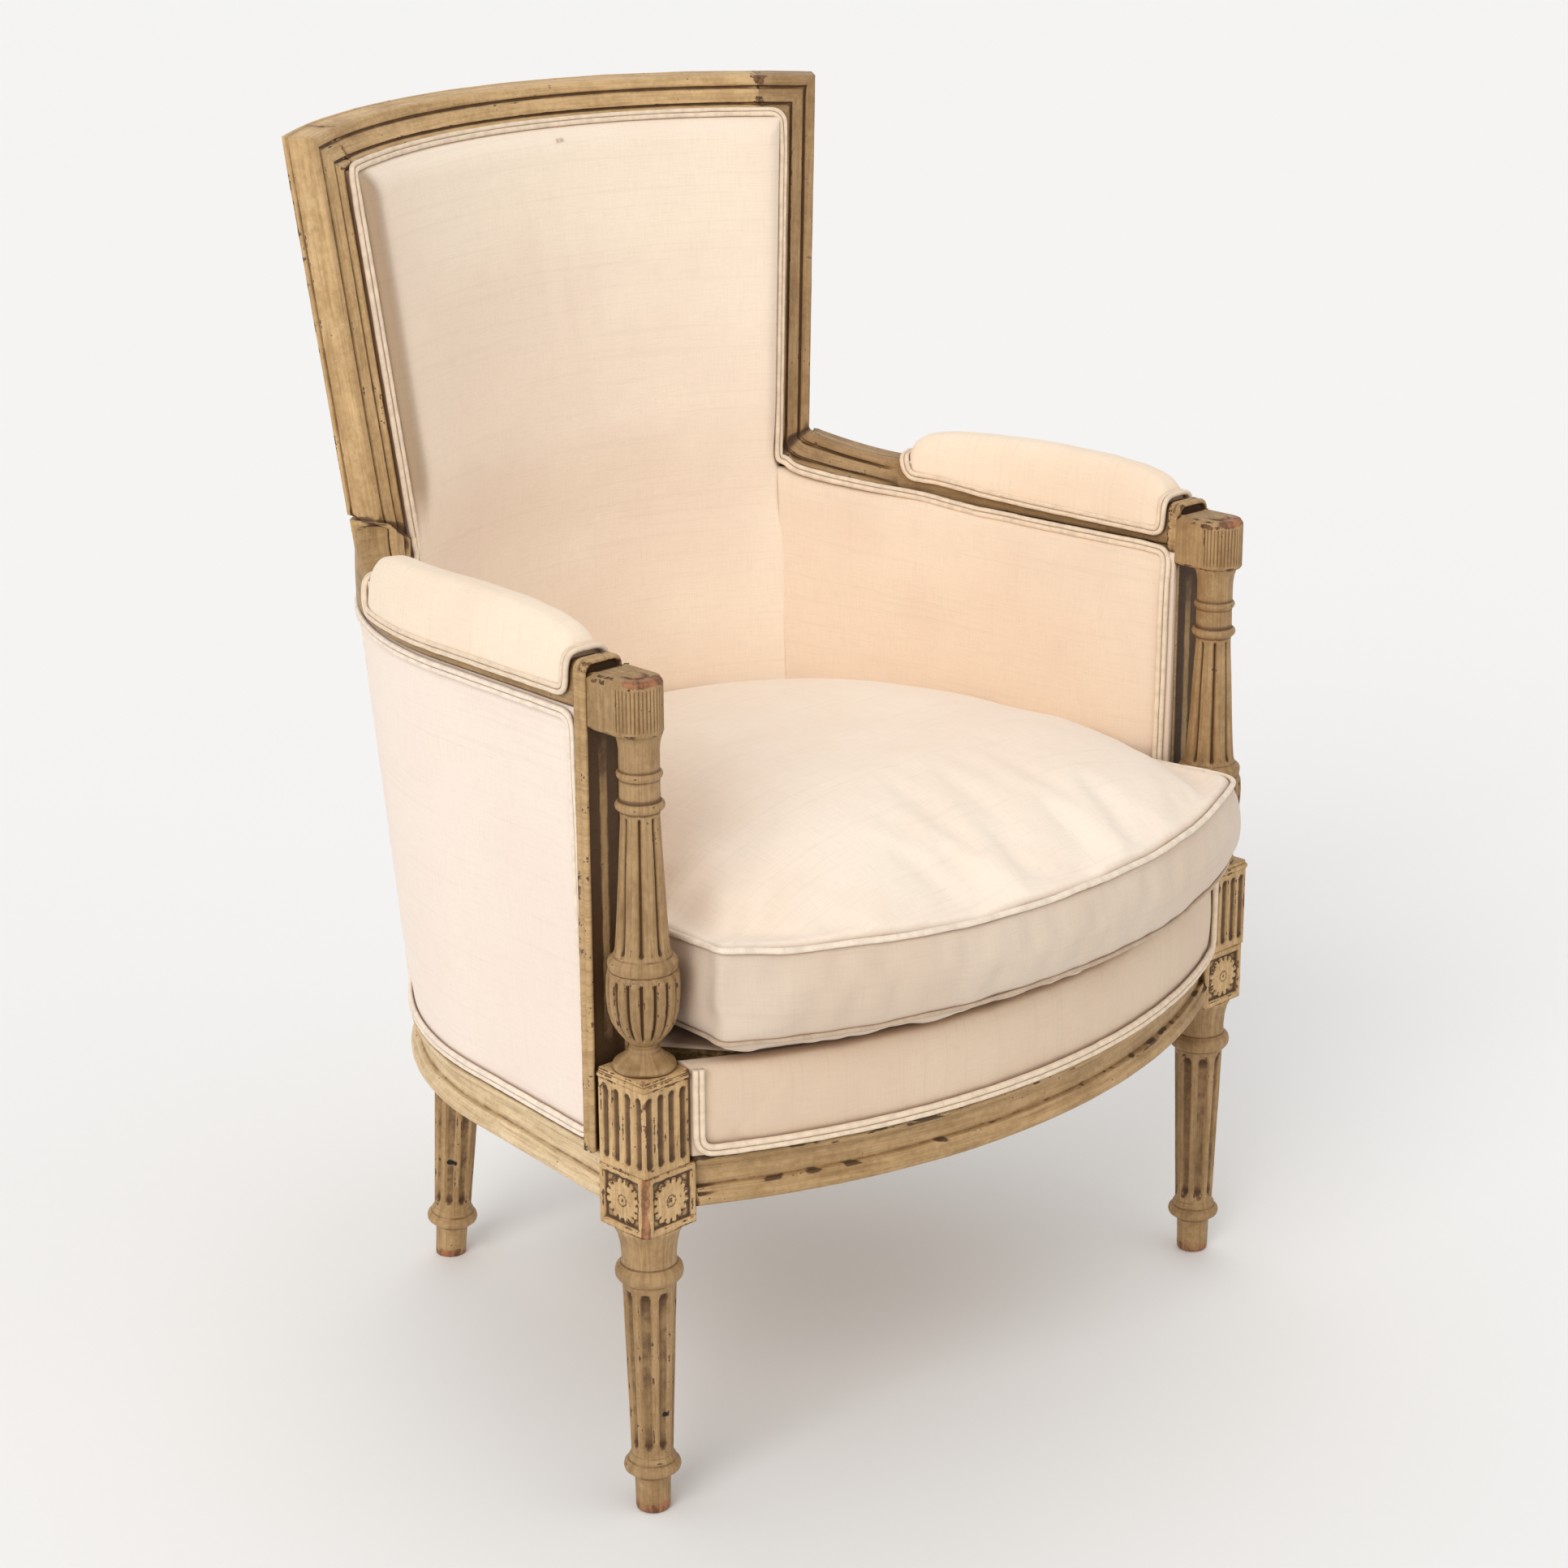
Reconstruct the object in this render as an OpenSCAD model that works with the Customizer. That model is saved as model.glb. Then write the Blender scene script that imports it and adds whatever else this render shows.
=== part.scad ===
// Painted closed armchair with a barrel plan, loose seat cushion and
// upholstered inside, outside and arm pads. Left is -X, the front is -Y.

/* [Seat frame] */
// Distance between the centres of the two front legs
leg_span = 624; // [620:1:628]
// Side of the square block at the top of each front leg
die_w = 50; // [48:1:51]
// Height of the underside of that block
die_z = 231; // [228:1:234]
// Height of the underside of the seat rails
rail_z = 242; // [240:1:244]
// Height of the moulded face of the seat rails
rail_face = 40; // [38:1:42]
// Thickness of the seat rails, front to back
rail_t = 40; // [36:1:40]
// How far the front rail bows forward of the leg blocks
front_bow = 76; // [70:1:80]

/* [Legs] */
// Number of flutes around each leg
leg_flutes = 8; // [6:1:10]
// Radius of a leg flute
flute_r = 3.4; // [2.5:0.1:4]
// Backward slope of the rear legs, degrees
rear_rake = 6; // [4:0.5:8]

/* [Arms] */
// Height of the top of the arm rails
arm_z = 645; // [642:1:648]
// Extra radius of the wall at arm height
arm_flare = 17; // [14:1:18]
// Flutes around each turned arm support
column_flutes = 10; // [8:1:10]
// Radius of the rounded arm terminal
cap_r = 22.5; // [20:0.5:23]

/* [Back] */
// Height of the middle of the top edge of the back
back_z = 966; // [950:1:975]
// Radius of the curved back at its top edge
back_r = 437; // [434:1:440]
// Half of the angle that the back frame spans, degrees
back_half = 37; // [36.5:0.1:37]
// Width of the moulded face of the back frame
frame_w = 31; // [29:1:32]
// Thickness of the back frame
frame_t = 25; // [23:1:26]

/* [Upholstery] */
// Height of the sprung platform under the loose cushion
deck_z = 352; // [350:1:353]
// Height of the lower piping of the cushion
pipe_lo = 374; // [372:1:376]
// Height of the upper piping of the cushion
pipe_hi = 438; // [434:1:440]
// Height of the crown of the cushion
crown_z = 464; // [456:1:466]
// Number of coil springs each way
springs_n = 3; // [2:1:3]

/* [Hidden] */
$fn = 64;

// shift that puts the middle of the depth on Y = 0
y_mid = 15.2;
lx = leg_span / 2;         // leg centre, across
ly = -178;                 // leg centre, front to back
seat_r = lx - 3;           // outer radius of the barrel plan at the seat rail
seat_c = -13;              // centre of that arc
rail_top = rail_z + rail_face;
frame_top = rail_top + 28; // top of the plain upper part of the rails
arm_lo = arm_z - 33;       // underside of the arm rails
side_front = -153;         // back of the leg blocks
front_hx = lx - die_w / 2; // half length of the front rail
front_r = (front_hx * front_hx + front_bow * front_bow) / (2 * front_bow);
front_c = -205.5 - front_bow + front_r;  // centre of the front bow
cone = 0.171;              // growth of the back radius with height
cone_a = atan(cone);
tilt = 3.5;                // forward lean of the axis of the back
block_z = 351;             // top of the fluted block over each leg block
plate_y = -149;            // front face of the arm post
plate_b = -137.5;          // back of its front plate
in_half = back_half - 4.15; // half angle of the opening in the back frame

wood = "#b9a077";
wood_in = "#a98d62";
linen = "#f0dcc3";
linen_side = "#f6e6d6";

// ---------- helpers ----------
function mix(a, b, t) = a + (b - a) * t;
function rev(v) = [for (i = [len(v) - 1:-1:0]) v[i]];
function unit(v) = v / norm(v);
// the barrel wall: radius, centre and forward splay of its straight part by height
function lev(z) = (z - 280) / 360;
function wall_r(z) = seat_r + arm_flare * lev(z);
function wall_c(z) = seat_c + 19 * lev(z);
function wall_f(z) = 7.5 - 4.5 * lev(z);
// point on the wall at height z, inset o, at angle a from the middle of the back
function wp(z, o, a) = [-(wall_r(z) - o) * sin(a), wall_c(z) + (wall_r(z) - o) * cos(a), z];
// point on its straight part at a given y
function ws(z, o, y) = let (f = wall_f(z), p = wp(z, o, 90 - f)) [p[0] - (p[1] - y) * tan(f), y, z];
function side_line(z, o, a0, y, n = 12) =
  concat([for (i = [0:n]) wp(z, o, mix(a0, 90 - wall_f(z), i / n))], [ws(z, o, y)]);
function side_ring(z, oo, oi, a0, y) = concat(side_line(z, oo, a0, y), rev(side_line(z, oi, a0, y)));
function back_ring(z, oo, oi, a0, n = 24) =
  concat([for (i = [0:n]) wp(z, oo, mix(-a0, a0, i / n))], [for (i = [0:n]) wp(z, oi, mix(a0, -a0, i / n))]);
// point on the curved back: w down from the top edge, angle t, d behind the face
function bp(w, t, d) = let (r = back_r + cone * w + d, y = r * cos(t) - back_r)
  [-r * sin(t), 314 + y * cos(tilt) - w * sin(tilt), back_z + y * sin(tilt) + w * cos(tilt)];
function cone_ring(w, do, di, t0, n = 24) =
  concat([for (i = [0:n]) bp(w, mix(-t0, t0, i / n), do)], [for (i = [0:n]) bp(w, mix(t0, -t0, i / n), di)]);

// band across the back at height z: middle at y = ym, ends at e and its mirror image, thickness t
function span_ring(z, ym, e, t, n = 24) = let (s = ym - e[1], r = (e[0] * e[0] + s * s) / (2 * s), a = asin(-e[0] / r))
  concat([for (i = [0:n]) let (b = mix(-a, a, i / n)) [-r * sin(b), ym - r + r * cos(b), z]],
    [for (i = [0:n]) let (b = mix(a, -a, i / n)) [-(r - t) * sin(b), ym - r + (r - t) * cos(b), z]]);

// closed solid through outlines of equal count, bottom to top
module loft(L, band = false) {
  m = len(L[0]);
  k = len(L);
  // a band is an outer line and an inner line of equal length, capped in strips between them
  cap = band ? [for (i = [0:m / 2 - 2]) each [[i, i + 1, m - 2 - i], [i, m - 2 - i, m - 1 - i]]] : [[for (i = [0:m - 1]) i]];
  polyhedron(points = [for (l = L) for (p = l) p],
    faces = concat(cap, [for (f = cap) [for (v = rev(f)) (k - 1) * m + v]],
      [for (j = [0:k - 2]) for (i = [0:m - 1]) [j * m + i, (j + 1) * m + i, (j + 1) * m + (i + 1) % m]],
      [for (j = [0:k - 2]) for (i = [0:m - 1]) [j * m + i, (j + 1) * m + (i + 1) % m, j * m + (i + 1) % m]]),
    convexity = 6);
}
// tube along a path P with surface normals N; half height h, half width w
module tube(P, N, h, w, m = 6, closed = false) {
  n = len(P);
  function tan_at(i) = closed ? unit(P[(i + 1) % n] - P[(i + n - 1) % n])
    : unit(P[min(i + 1, n - 1)] - P[max(i - 1, 0)]);
  pts = [for (i = [0:n - 1]) let (t = tan_at(i), b = unit(cross(t, N[i])), u = cross(b, t))
    for (j = [0:m - 1]) P[i] + h * cos(j * 360 / m) * u + w * sin(j * 360 / m) * b];
  last = closed ? n - 1 : n - 2;
  sides = [for (i = [0:last]) for (j = [0:m - 1]) let (a = i * m + j, b = i * m + (j + 1) % m,
      c = ((i + 1) % n) * m + (j + 1) % m, d = ((i + 1) % n) * m + j) each [[a, c, b], [a, d, c]]];
  caps = closed ? [] : [[for (j = [0:m - 1]) j], [for (j = [m - 1:-1:0]) (n - 1) * m + j]];
  polyhedron(points = pts, faces = concat(sides, caps), convexity = 6);
}
module place() { translate([0, -y_mid, 0]) children(); }
module right() { mirror([1, 0, 0]) children(); }
module back_frame() { translate([0, 314, back_z]) rotate([tilt, 0, 0]) translate([0, -back_r, 0]) children(); }

// ---------- round pegs that lock the frame joints ----------
module peg(p, dir, l, d = 9) {
  translate(p) rotate([0, 90, dir]) translate([0, 0, -l / 2]) cylinder(d = d, h = l, $fn = 32);
}
module left_pegs() {
  // front rail to leg
  for (z = [rail_z + 12, rail_z + 28]) peg([-front_hx, -184, z], -28, 44);
  // side rail to leg
  for (z = [rail_z + 12, rail_z + 28]) peg([-310, side_front, z], 83, 44);
  // side rail to back rail
  for (z = [rail_z + 12, rail_z + 50]) let (p = wp(282, 20, 36)) peg([p[0], p[1], z], 36, 38);
  // arm rail to stile and to post
  let (p = wp(arm_z, 16, 51.6)) peg([p[0], p[1], arm_lo + 15], 51.6, 36);
  peg([-318, plate_b, arm_lo + 16], 90, 18);
  // terminal to post
  peg([-lx - 4, plate_y, 620], 90, 18);
  // arm post into the side rail
  translate([-309, -122, frame_top - 16]) cylinder(d = 9, h = 32, $fn = 32);
  // crest rail to stile
  back_frame() rotate([0, 0, 90 + back_half - 6.4]) translate([back_r + 8, 0, -17]) rotate([90, 0, 0])
    translate([0, 0, -14]) cylinder(d = 9, h = 28, $fn = 32);
  // lower back rail to stile
  let (p = wp(350, 17.4, 43.5)) peg([p[0], p[1], 350], 43.5, 30, 8);
  // stile foot into the side rail
  let (p = wp(300, 18, 48)) translate([p[0], p[1], frame_top - 15]) cylinder(d = 9, h = 34, $fn = 32);
}
module pegs() { left_pegs(); right() left_pegs(); }
module joint_dowels() { color("#c9a876") place() pegs(); }

// ---------- turned legs ----------
leg_profile = [[0, 0], [11.5, 0], [12.4, 1.2], [13.3, 22], [13.6, 26], [16.5, 31], [19.8, 33.5], [20.6, 36],
  [20.2, 39.5], [18.6, 41.5], [19, 43], [18, 45], [15.4, 46.5], [15.1, 49], [19.6, 184], [20.2, 187],
  [22.6, 189], [24.3, 192.5], [24.3, 195.5], [22.6, 198.5], [20.6, 200], [20.2, 206], [21.2, 216],
  [23.4, 225], [24.4, 228], [24.4, 231], [0, 231]];
module flute(z0, z1, r0, r1, fr) {
  a = atan((r1 - r0) / (z1 - z0));
  translate([r0, 0, z0]) rotate([0, a, 0]) {
    cylinder(r = fr, h = (z1 - z0) / cos(a), $fn = 24);
    sphere(r = fr, $fn = 24);
    translate([0, 0, (z1 - z0) / cos(a)]) sphere(r = fr, $fn = 24);
  }
}
module turned_leg(h) {
  difference() {
    rotate_extrude($fn = 64) polygon([for (p = leg_profile) [p[0], p[1] * h / 231]]);
    for (i = [0:leg_flutes - 1]) rotate([0, 0, (i + 0.5) * 360 / leg_flutes]) flute(56, 176, 16.6, 20.6, flute_r);
  }
}
// carved flower: a ring of petals around a boss, on a disc
module rosette() {
  rotate_extrude($fn = 48) polygon([[0, 0], [13.5, 0], [13.5, 0.8], [12, 1.8], [9, 1.2], [5.6, 1.6], [5, 0.9],
    [4, 2.1], [1.6, 2.2], [0, 1.4]]);
}
module front_leg() {
  difference() {
    union() {
      translate([-lx, ly, 0]) turned_leg(die_z);
      translate([-lx - die_w / 2, ly - die_w / 2, die_z]) cube([die_w, die_w, 47]);
      // fluted block with its cap moulding
      translate([-lx - 24.5, ly - 24.5, die_z + 47]) cube([44, 49, block_z - 7 - die_z - 47]);
      translate([-lx - 25.5, ly - 25.5, block_z - 7]) cube([45.5, 50.5, 4]);
      translate([-lx - 24.5, ly - 24.5, block_z - 3]) cube([44, 49, 3]);
    }
    // sunk panels on the two outer faces of the lower block
    translate([-lx - 19, ly - die_w / 2 - 1, die_z + 5]) cube([38, 3.4, 37]);
    translate([-lx - die_w / 2 - 1, ly - 19, die_z + 5]) cube([3.4, 38, 37]);
    // flutes of the upper block
    for (i = [0:3]) {
      translate([-lx - 18.5 + i * 10.6, ly - 24.5, 0]) flute(287, 335, 0, 0, 2.7);
      translate([-lx - 24.5, ly - 17.5 + i * 11.6, 0]) flute(287, 335, 0, 0, 2.7);
    }
    // socket of the arm support
    translate([-lx - 1, ly, block_z - 20]) cylinder(d = 16, h = 30, $fn = 48);
    left_pegs();
  }
  translate([-lx, ly - die_w / 2 + 2.4, die_z + 23.5]) rotate([90, 0, 0]) rosette();
  translate([-lx - die_w / 2 + 2.4, ly, die_z + 23.5]) rotate([0, -90, 0]) rosette();
}
module front_leg_left() { color(wood) place() front_leg(); }
module front_leg_right() { color(wood) place() right() front_leg(); }

// rear leg: the same turning, raked back, with a round tenon in the back rail
module rear_tilt() {
  p = wp(282, 20, 29.5);
  translate([p[0], p[1], rail_z]) rotate([rear_rake, 0, 0]) children();
}
module rear_leg() {
  difference() {
    union() {
      intersection() {
        rear_tilt() translate([0, 0, -rail_z - 2]) rotate_extrude($fn = 64)
          polygon(concat([[0, -8], [11, -8]], [for (i = [2:13]) leg_profile[i]], [[19.4, 180], [19.8, 236], [19.8, 262], [0, 262]]));
        translate([-260, 120, 0]) cube([230, 240, rail_z]);
      }
      rear_tilt() translate([0, 0, -8]) cylinder(d = 22, h = 38, $fn = 48);
    }
    rear_tilt() translate([0, 0, -rail_z - 2]) for (i = [0:leg_flutes - 1]) rotate([0, 0, (i + 0.5) * 360 / leg_flutes])
      flute(56, 220, 16.8, 21, flute_r);
  }
}
module rear_tenon_hole() { rear_tilt() translate([0, 0, -8]) cylinder(d = 22, h = 38, $fn = 48); }
module rear_leg_left() { color(wood) place() rear_leg(); }
module rear_leg_right() { color(wood) place() right() rear_leg(); }

// ---------- seat rails ----------
// moulded section: beads at top and bottom, a hollow band between, a plain rebate above
function rail_section(r, top) = [[r - rail_t, rail_z], [r - 3, rail_z], [r - 0.8, rail_z + 1], [r, rail_z + 3],
  [r - 0.8, rail_z + 5.4], [r - 3, rail_z + 6.4], [r - 3.4, rail_z + 8], [r - 4, rail_z + 14],
  [r - 4, rail_z + 24], [r - 3.2, rail_z + 30], [r - 2.6, rail_z + 32], [r - 0.6, rail_z + 33.4],
  [r, rail_z + 36], [r - 0.6, rail_z + 38.6], [r - 2.6, rail_top], [r - 8, rail_top], [r - 8, top], [r - rail_t, top]];
module front_rail() {
  color(wood) place() difference() {
    intersection() {
      translate([0, front_c, 0]) rotate([0, 0, -130]) rotate_extrude(angle = 80, $fn = 180)
        polygon(rail_section(front_r, frame_top + 10));
      translate([-front_hx, -320, 0]) cube([2 * front_hx, 300, 500]);
    }
    for (s = [-1, 1]) translate([s * (lx - 4.6) - 25, ly - 25, rail_top - 6]) cube([50, 50, 100]);
    pegs();
    left_screws();
    right() left_screws();
    front_tacks();
  }
}
module side_rail() {
  f = 7.5;
  difference() {
    intersection() {
      // curved run and straight run, both starting where they meet
      translate([0, seat_c, 0]) rotate([0, 0, 180 - f]) union() {
        mirror([0, 1, 0]) rotate_extrude(angle = 54 - f, $fn = 180) polygon(rail_section(seat_r, frame_top));
        rotate([90, 0, 0]) translate([0, 0, -220]) linear_extrude(height = 220) polygon(rail_section(seat_r, frame_top));
      }
      translate([-400, side_front, 200]) cube([400, 500, 200]);
    }
    left_pegs();
    left_screws();
    rear_tacks();
  }
}
module side_rail_left() { color(wood) place() side_rail(); }
module side_rail_right() { color(wood) place() right() side_rail(); }
module back_rail() {
  color(wood) place() difference() {
    translate([0, seat_c, 0]) rotate([0, 0, 54]) rotate_extrude(angle = 72, $fn = 180)
      polygon(rail_section(seat_r, frame_top));
    rear_tenon_hole();
    right() rear_tenon_hole();
    pegs();
    left_screws();
    right() left_screws();
    rear_tacks();
  }
}
// glued and screwed blocks inside the corners
module front_block() {
  translate([0, 0, rail_z + 8]) linear_extrude(height = 46)
    polygon([[-281, -148], [-236, -170], [-226, -162], [-274, -96], [-282, -96]]);
}
module rear_block() {
  translate([0, seat_c, 0]) rotate([0, 0, 119]) rotate_extrude(angle = 14, $fn = 120)
    translate([seat_r - rail_t - 24, rail_z + 8]) square([23.8, 46]);
}
module block_screw(p, dir) {
  translate(p) rotate([0, 90, dir]) {
    cylinder(d = 4.4, h = 34, $fn = 24);
    cylinder(d1 = 9, d2 = 4.4, h = 3, $fn = 32);
    translate([0, 0, -0.6]) cylinder(d = 9, h = 0.7, $fn = 32);
  }
}
module left_screws() {
  for (z = [rail_z + 20, rail_z + 42]) {
    let (p = wp(282, rail_t + 23, 32.5)) block_screw([p[0], p[1], z], 122.5);
    let (p = wp(282, rail_t + 23, 39.5)) block_screw([p[0], p[1], z], 129.5);
    block_screw([-272, -106, z], 172);
    block_screw([-239, -163, z], 242);
  }
}
module corner_blocks() {
  color(wood_in) place() for (s = [0, 1]) mirror([s, 0, 0]) difference() {
    union() { front_block(); rear_block(); }
    left_screws();
    rear_tacks();
  }
}
module block_screws() { color("#7d7466") place() { left_screws(); right() left_screws(); } }

// ---------- back frame ----------
// section of the moulded frame: x across its width from the outer edge, y towards the sitter
frame_pts = [[0, -25], [0, -2], [0.8, -0.6], [2.4, 0], [6.5, 0.6], [8.4, 0.2], [9.6, -0.8], [10.2, -2.2], [11.4, -2.2],
  [12.2, 1.2], [17, 2.2], [22, 4], [22.6, 2], [24, 2], [24.6, 4.6], [25.8, 6.4], [27.8, 7.2], [29.6, 6.6],
  [30.6, 4.8], [31, 2], [31, -25]];
function fsec(k) = [for (p = frame_pts) [p[0] * frame_w / 31, p[1] < -24 ? -frame_t : p[1]]];
module crest_section() {
  // drawn with the width running down from the top edge
  translate([back_r, 0]) rotate(-cone_a) polygon([for (p = fsec(0)) [-p[1], -p[0]]]);
}
module crest_part(a0, a1) {
  back_frame() rotate([0, 0, 90 + a0]) rotate_extrude(angle = a1 - a0, $fn = 180) crest_section();
}
module crest_rail() {
  color(wood) place() difference() {
    crest_part(-(back_half - 6.4), back_half - 6.4);
    pegs();
  }
}
// stile: moulded upper part along the slope of the back, plain lower part to the rail
module stile() {
  difference() {
    union() {
      crest_part(back_half - 6.4, back_half);
      intersection() {
        back_frame() rotate([0, 0, 90 + back_half]) translate([back_r, 0, 0]) rotate([0, cone_a, 0])
          translate([0, 0, -345]) linear_extrude(height = 344.5) polygon([for (p = fsec(0)) [-p[1], -p[0]]]);
        translate([-400, 0, arm_z + 8]) cube([400, 500, 400]);
      }
      loft([
        concat([wp(frame_top, 8, 45), wp(frame_top, 8, 51)], [wp(frame_top, 25.4, 51), wp(frame_top, 25.4, 45)]),
        concat([wp(arm_lo, 5.4, 44.3), wp(arm_lo, 4.2, 50.3)], [wp(arm_lo, 25.4, 50.5), wp(arm_lo, 28, 44.9)]),
        concat([wp(arm_z + 8, 5.2, 44.2), wp(arm_z + 8, 1.6, 50.2)], [wp(arm_z + 8, 25.5, 50.4), wp(arm_z + 8, 28.5, 44.8)])]);
    }
    left_pegs();
  }
}
module stile_left() { color(wood) place() stile(); }
module stile_right() { color(wood) place() right() stile(); }
// hidden rail low in the back, for webbing and cloth
module lower_back_rail() {
  color(wood_in) place() difference() {
    translate([0, wall_c(350), 0]) rotate([0, 0, 90 - 43.5]) rotate_extrude(angle = 87, $fn = 180)
      translate([wall_r(350) - 23.4, 332]) square([11.4, 36]);
    pegs();
  }
}

// ---------- arms ----------
module arm_post() {
  difference() {
    union() {
      // front plate with a rounded top
      translate([-lx - 25, plate_y, rail_top]) cube([37, plate_b - plate_y, 640 - rail_top]);
      translate([-lx - 25 + 8, plate_y, 640]) rotate([-90, 0, 0]) cylinder(r = 8, h = plate_b - plate_y, $fn = 48);
      translate([-lx + 4, plate_y, 640]) rotate([-90, 0, 0]) cylinder(r = 8, h = plate_b - plate_y, $fn = 48);
      translate([-lx - 17, plate_y, 640]) cube([21, plate_b - plate_y, 8]);
      // tongue behind it
      translate([-318, plate_b - 1, frame_top]) cube([13, 25, arm_lo - frame_top]);
    }
    // seat of the side rail
    translate([-lx - 26, -154, 0]) cube([45, 20, rail_top + 0.01]);
    intersection() {
      translate([-400, -154, rail_top - 1]) cube([200, 30, frame_top - rail_top + 1]);
      translate([-seat_r * cos(7.5), seat_c + seat_r * sin(7.5), 0]) rotate([0, 0, -7.5])
        translate([8, -220, 0]) cube([rail_t - 8, 300, 400]);
    }
    left_pegs();
  }
}
module arm_post_left() { color(wood) place() arm_post(); }
module arm_post_right() { color(wood) place() right() arm_post(); }

// arm rail: curved run, straight run and the rise to the stile
function arm_section(r) = [[r - 30, arm_lo], [r - 1.5, arm_lo], [r, arm_lo + 1.5], [r, arm_z - 7], [r - 1.6, arm_z - 4],
  [r - 2, arm_z - 2.4], [r - 5, arm_z], [r - 25, arm_z], [r - 28, arm_z - 2.4], [r - 28.4, arm_z - 4],
  [r - 30, arm_z - 7]];
module arm_rail() {
  r = wall_r(640);
  c = wall_c(640);
  f = 3;
  difference() {
    union() {
      translate([0, c, 0]) rotate([0, 0, 90 + 50.9]) rotate_extrude(angle = 39.1 - f, $fn = 180) polygon(arm_section(r));
      intersection() {
        translate([-r * cos(f), c + r * sin(f), 0]) rotate([0, 0, -f])
          rotate([90, 0, 180]) translate([0, 0, -200]) linear_extrude(height = 200)
            polygon([for (p = arm_section(0)) [p[0], p[1]]]);
        translate([-400, plate_b, 0]) cube([300, 300, 900]);
      }
      // concave rise against the stile
      difference() {
        translate([0, c, 0]) rotate([0, 0, 90 + 50.9]) rotate_extrude(angle = 12, $fn = 180)
          translate([r - 28, arm_z - 5]) square([26, 24]);
        translate([0, c, 0]) rotate([0, 0, 90 + 62.9]) translate([r - 60, 0, arm_z + 100]) rotate([0, 90, 0])
          cylinder(r = 100, h = 120, $fn = 180);
      }
    }
    left_pegs();
  }
}
module arm_rail_left() { color(wood) place() arm_rail(); }
module arm_rail_right() { color(wood) place() right() arm_rail(); }

// turned arm support: foot disc, gadrooned bulb, fluted column, collar
baluster_profile = [[0, 333], [8, 333], [8, 351], [22.6, 351], [23.2, 353], [23, 356.5], [20, 359], [17.5, 361.5], [13.4, 367], [11.8, 371],
  [12.2, 374], [17, 379.5], [22.6, 386], [25.6, 393], [26.6, 401], [26.4, 412], [25.4, 421], [24.9, 428.6], [22.4, 430.6],
  [20.8, 436], [20.4, 440], [19.2, 452], [16.6, 490], [16.2, 536], [16.4, 540], [17.4, 543], [17.6, 546], [16.8, 549],
  [15.4, 551], [15.3, 564], [16.6, 567], [17.4, 570], [16.6, 573], [15.8, 575], [15.6, 584], [17.6, 591], [17.6, 592], [8, 592], [8, 606], [0, 606]];
module baluster() {
  translate([-lx - 1, ly, 0]) difference() {
    rotate_extrude($fn = 64) polygon(baluster_profile);
    for (i = [0:column_flutes - 1]) rotate([0, 0, (i + 0.5) * 360 / column_flutes]) flute(452, 530, 19.4, 16.4, 2.7);
    for (i = [0:13]) rotate([0, 0, (i + 0.5) * 360 / 14]) translate([27.6, 0, 388]) cylinder(r = 2.4, h = 34, $fn = 24);
  }
}
module baluster_left() { color(wood) place() baluster(); }
module baluster_right() { color(wood) place() right() baluster(); }

// reeded terminal that caps the support and meets the arm post
module arm_terminal() {
  cx = -lx - 3;
  difference() {
    union() {
      translate([cx, ly - 1, 592]) cylinder(r = cap_r, h = 45.5, $fn = 96);
      translate([cx - cap_r, ly - 1, 592]) cube([2 * cap_r, plate_y - ly + 1, 45.5]);
      translate([cx, ly - 1, 637.5]) cylinder(r = cap_r - 1.2, h = 2.5, $fn = 96);
      translate([cx - cap_r + 1.2, ly - 1, 637.5]) cube([2 * cap_r - 2.4, plate_y - ly + 1, 2.5]);
      translate([cx, ly - 1, 640]) cylinder(r = 9, h = 1.2, $fn = 64);
    }
    for (i = [-7:7]) translate([cx, ly - 1, 596]) rotate([0, 0, -90 + i * 13]) translate([cap_r + 0.6, 0, 0])
      cylinder(r = 1.9, h = 38, $fn = 24);
    translate([-lx - 1, ly, 591]) cylinder(d = 16, h = 15, $fn = 48);
    left_pegs();
  }
}
module arm_terminal_left() { color(wood) place() arm_terminal(); }
module arm_terminal_right() { color(wood) place() right() arm_terminal(); }

// ---------- springing and support under the cushion ----------
// outline of the platform between the inside pads, inset by o
function deck_line(z, o) = let (n = 16, m = 16, r = front_r - 15)
  concat([for (i = [0:n]) wp(z, 48 + o, mix(0, 90 - wall_f(z), i / n))], [ws(z, 48 + o, -152)],
    [for (i = [1:m]) let (a = mix(-asin(250 / r), 0, i / m)) [(r - o) * sin(a), front_c - (r - o) * cos(a), z]]);
function deck_ring(z, o) = let (l = deck_line(z, o), k = len(l))
  concat(l, [for (i = [k - 2:-1:1]) [-l[i][0], l[i][1], z]]);
module seat_webbing() {
  color("#b08d57") place() difference() {
    seat_strips();
    front_tacks();
    rear_tacks();
  }
}
module seat_strips() {
  union() {
    for (i = [-2:2]) translate([i * 92 - 26, i == 0 ? -262 : abs(i) == 1 ? -254 : -222, rail_z - 3.4])
      cube([52, i == 0 ? 530 : abs(i) == 1 ? 506 : 404, 1.4]);
    for (i = [0:3]) let (w = [560, 560, 520, 472][i]) translate([-w / 2, -152 + i * 92, rail_z - 1.7])
      cube([w, 52, 1.5]);
  }
}
module tack(x, y, z) { translate([x, y, z - 1]) cylinder(d = 9, h = 1, $fn = 24); translate([x, y, z]) cylinder(d = 2, h = 12, $fn = 16); }
module tack_row(x, y) { for (d = [-18, -6, 6, 18]) tack(x + d, y, rail_z - 3.4); }
module front_tacks() { for (i = [-2:2]) tack_row(i * 92, i == 0 ? -254 : abs(i) == 1 ? -246 : -214); }
module rear_tacks() { for (i = [-2:2]) tack_row(i * 92, i == 0 ? 260 : abs(i) == 1 ? 244 : 174); }
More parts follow.
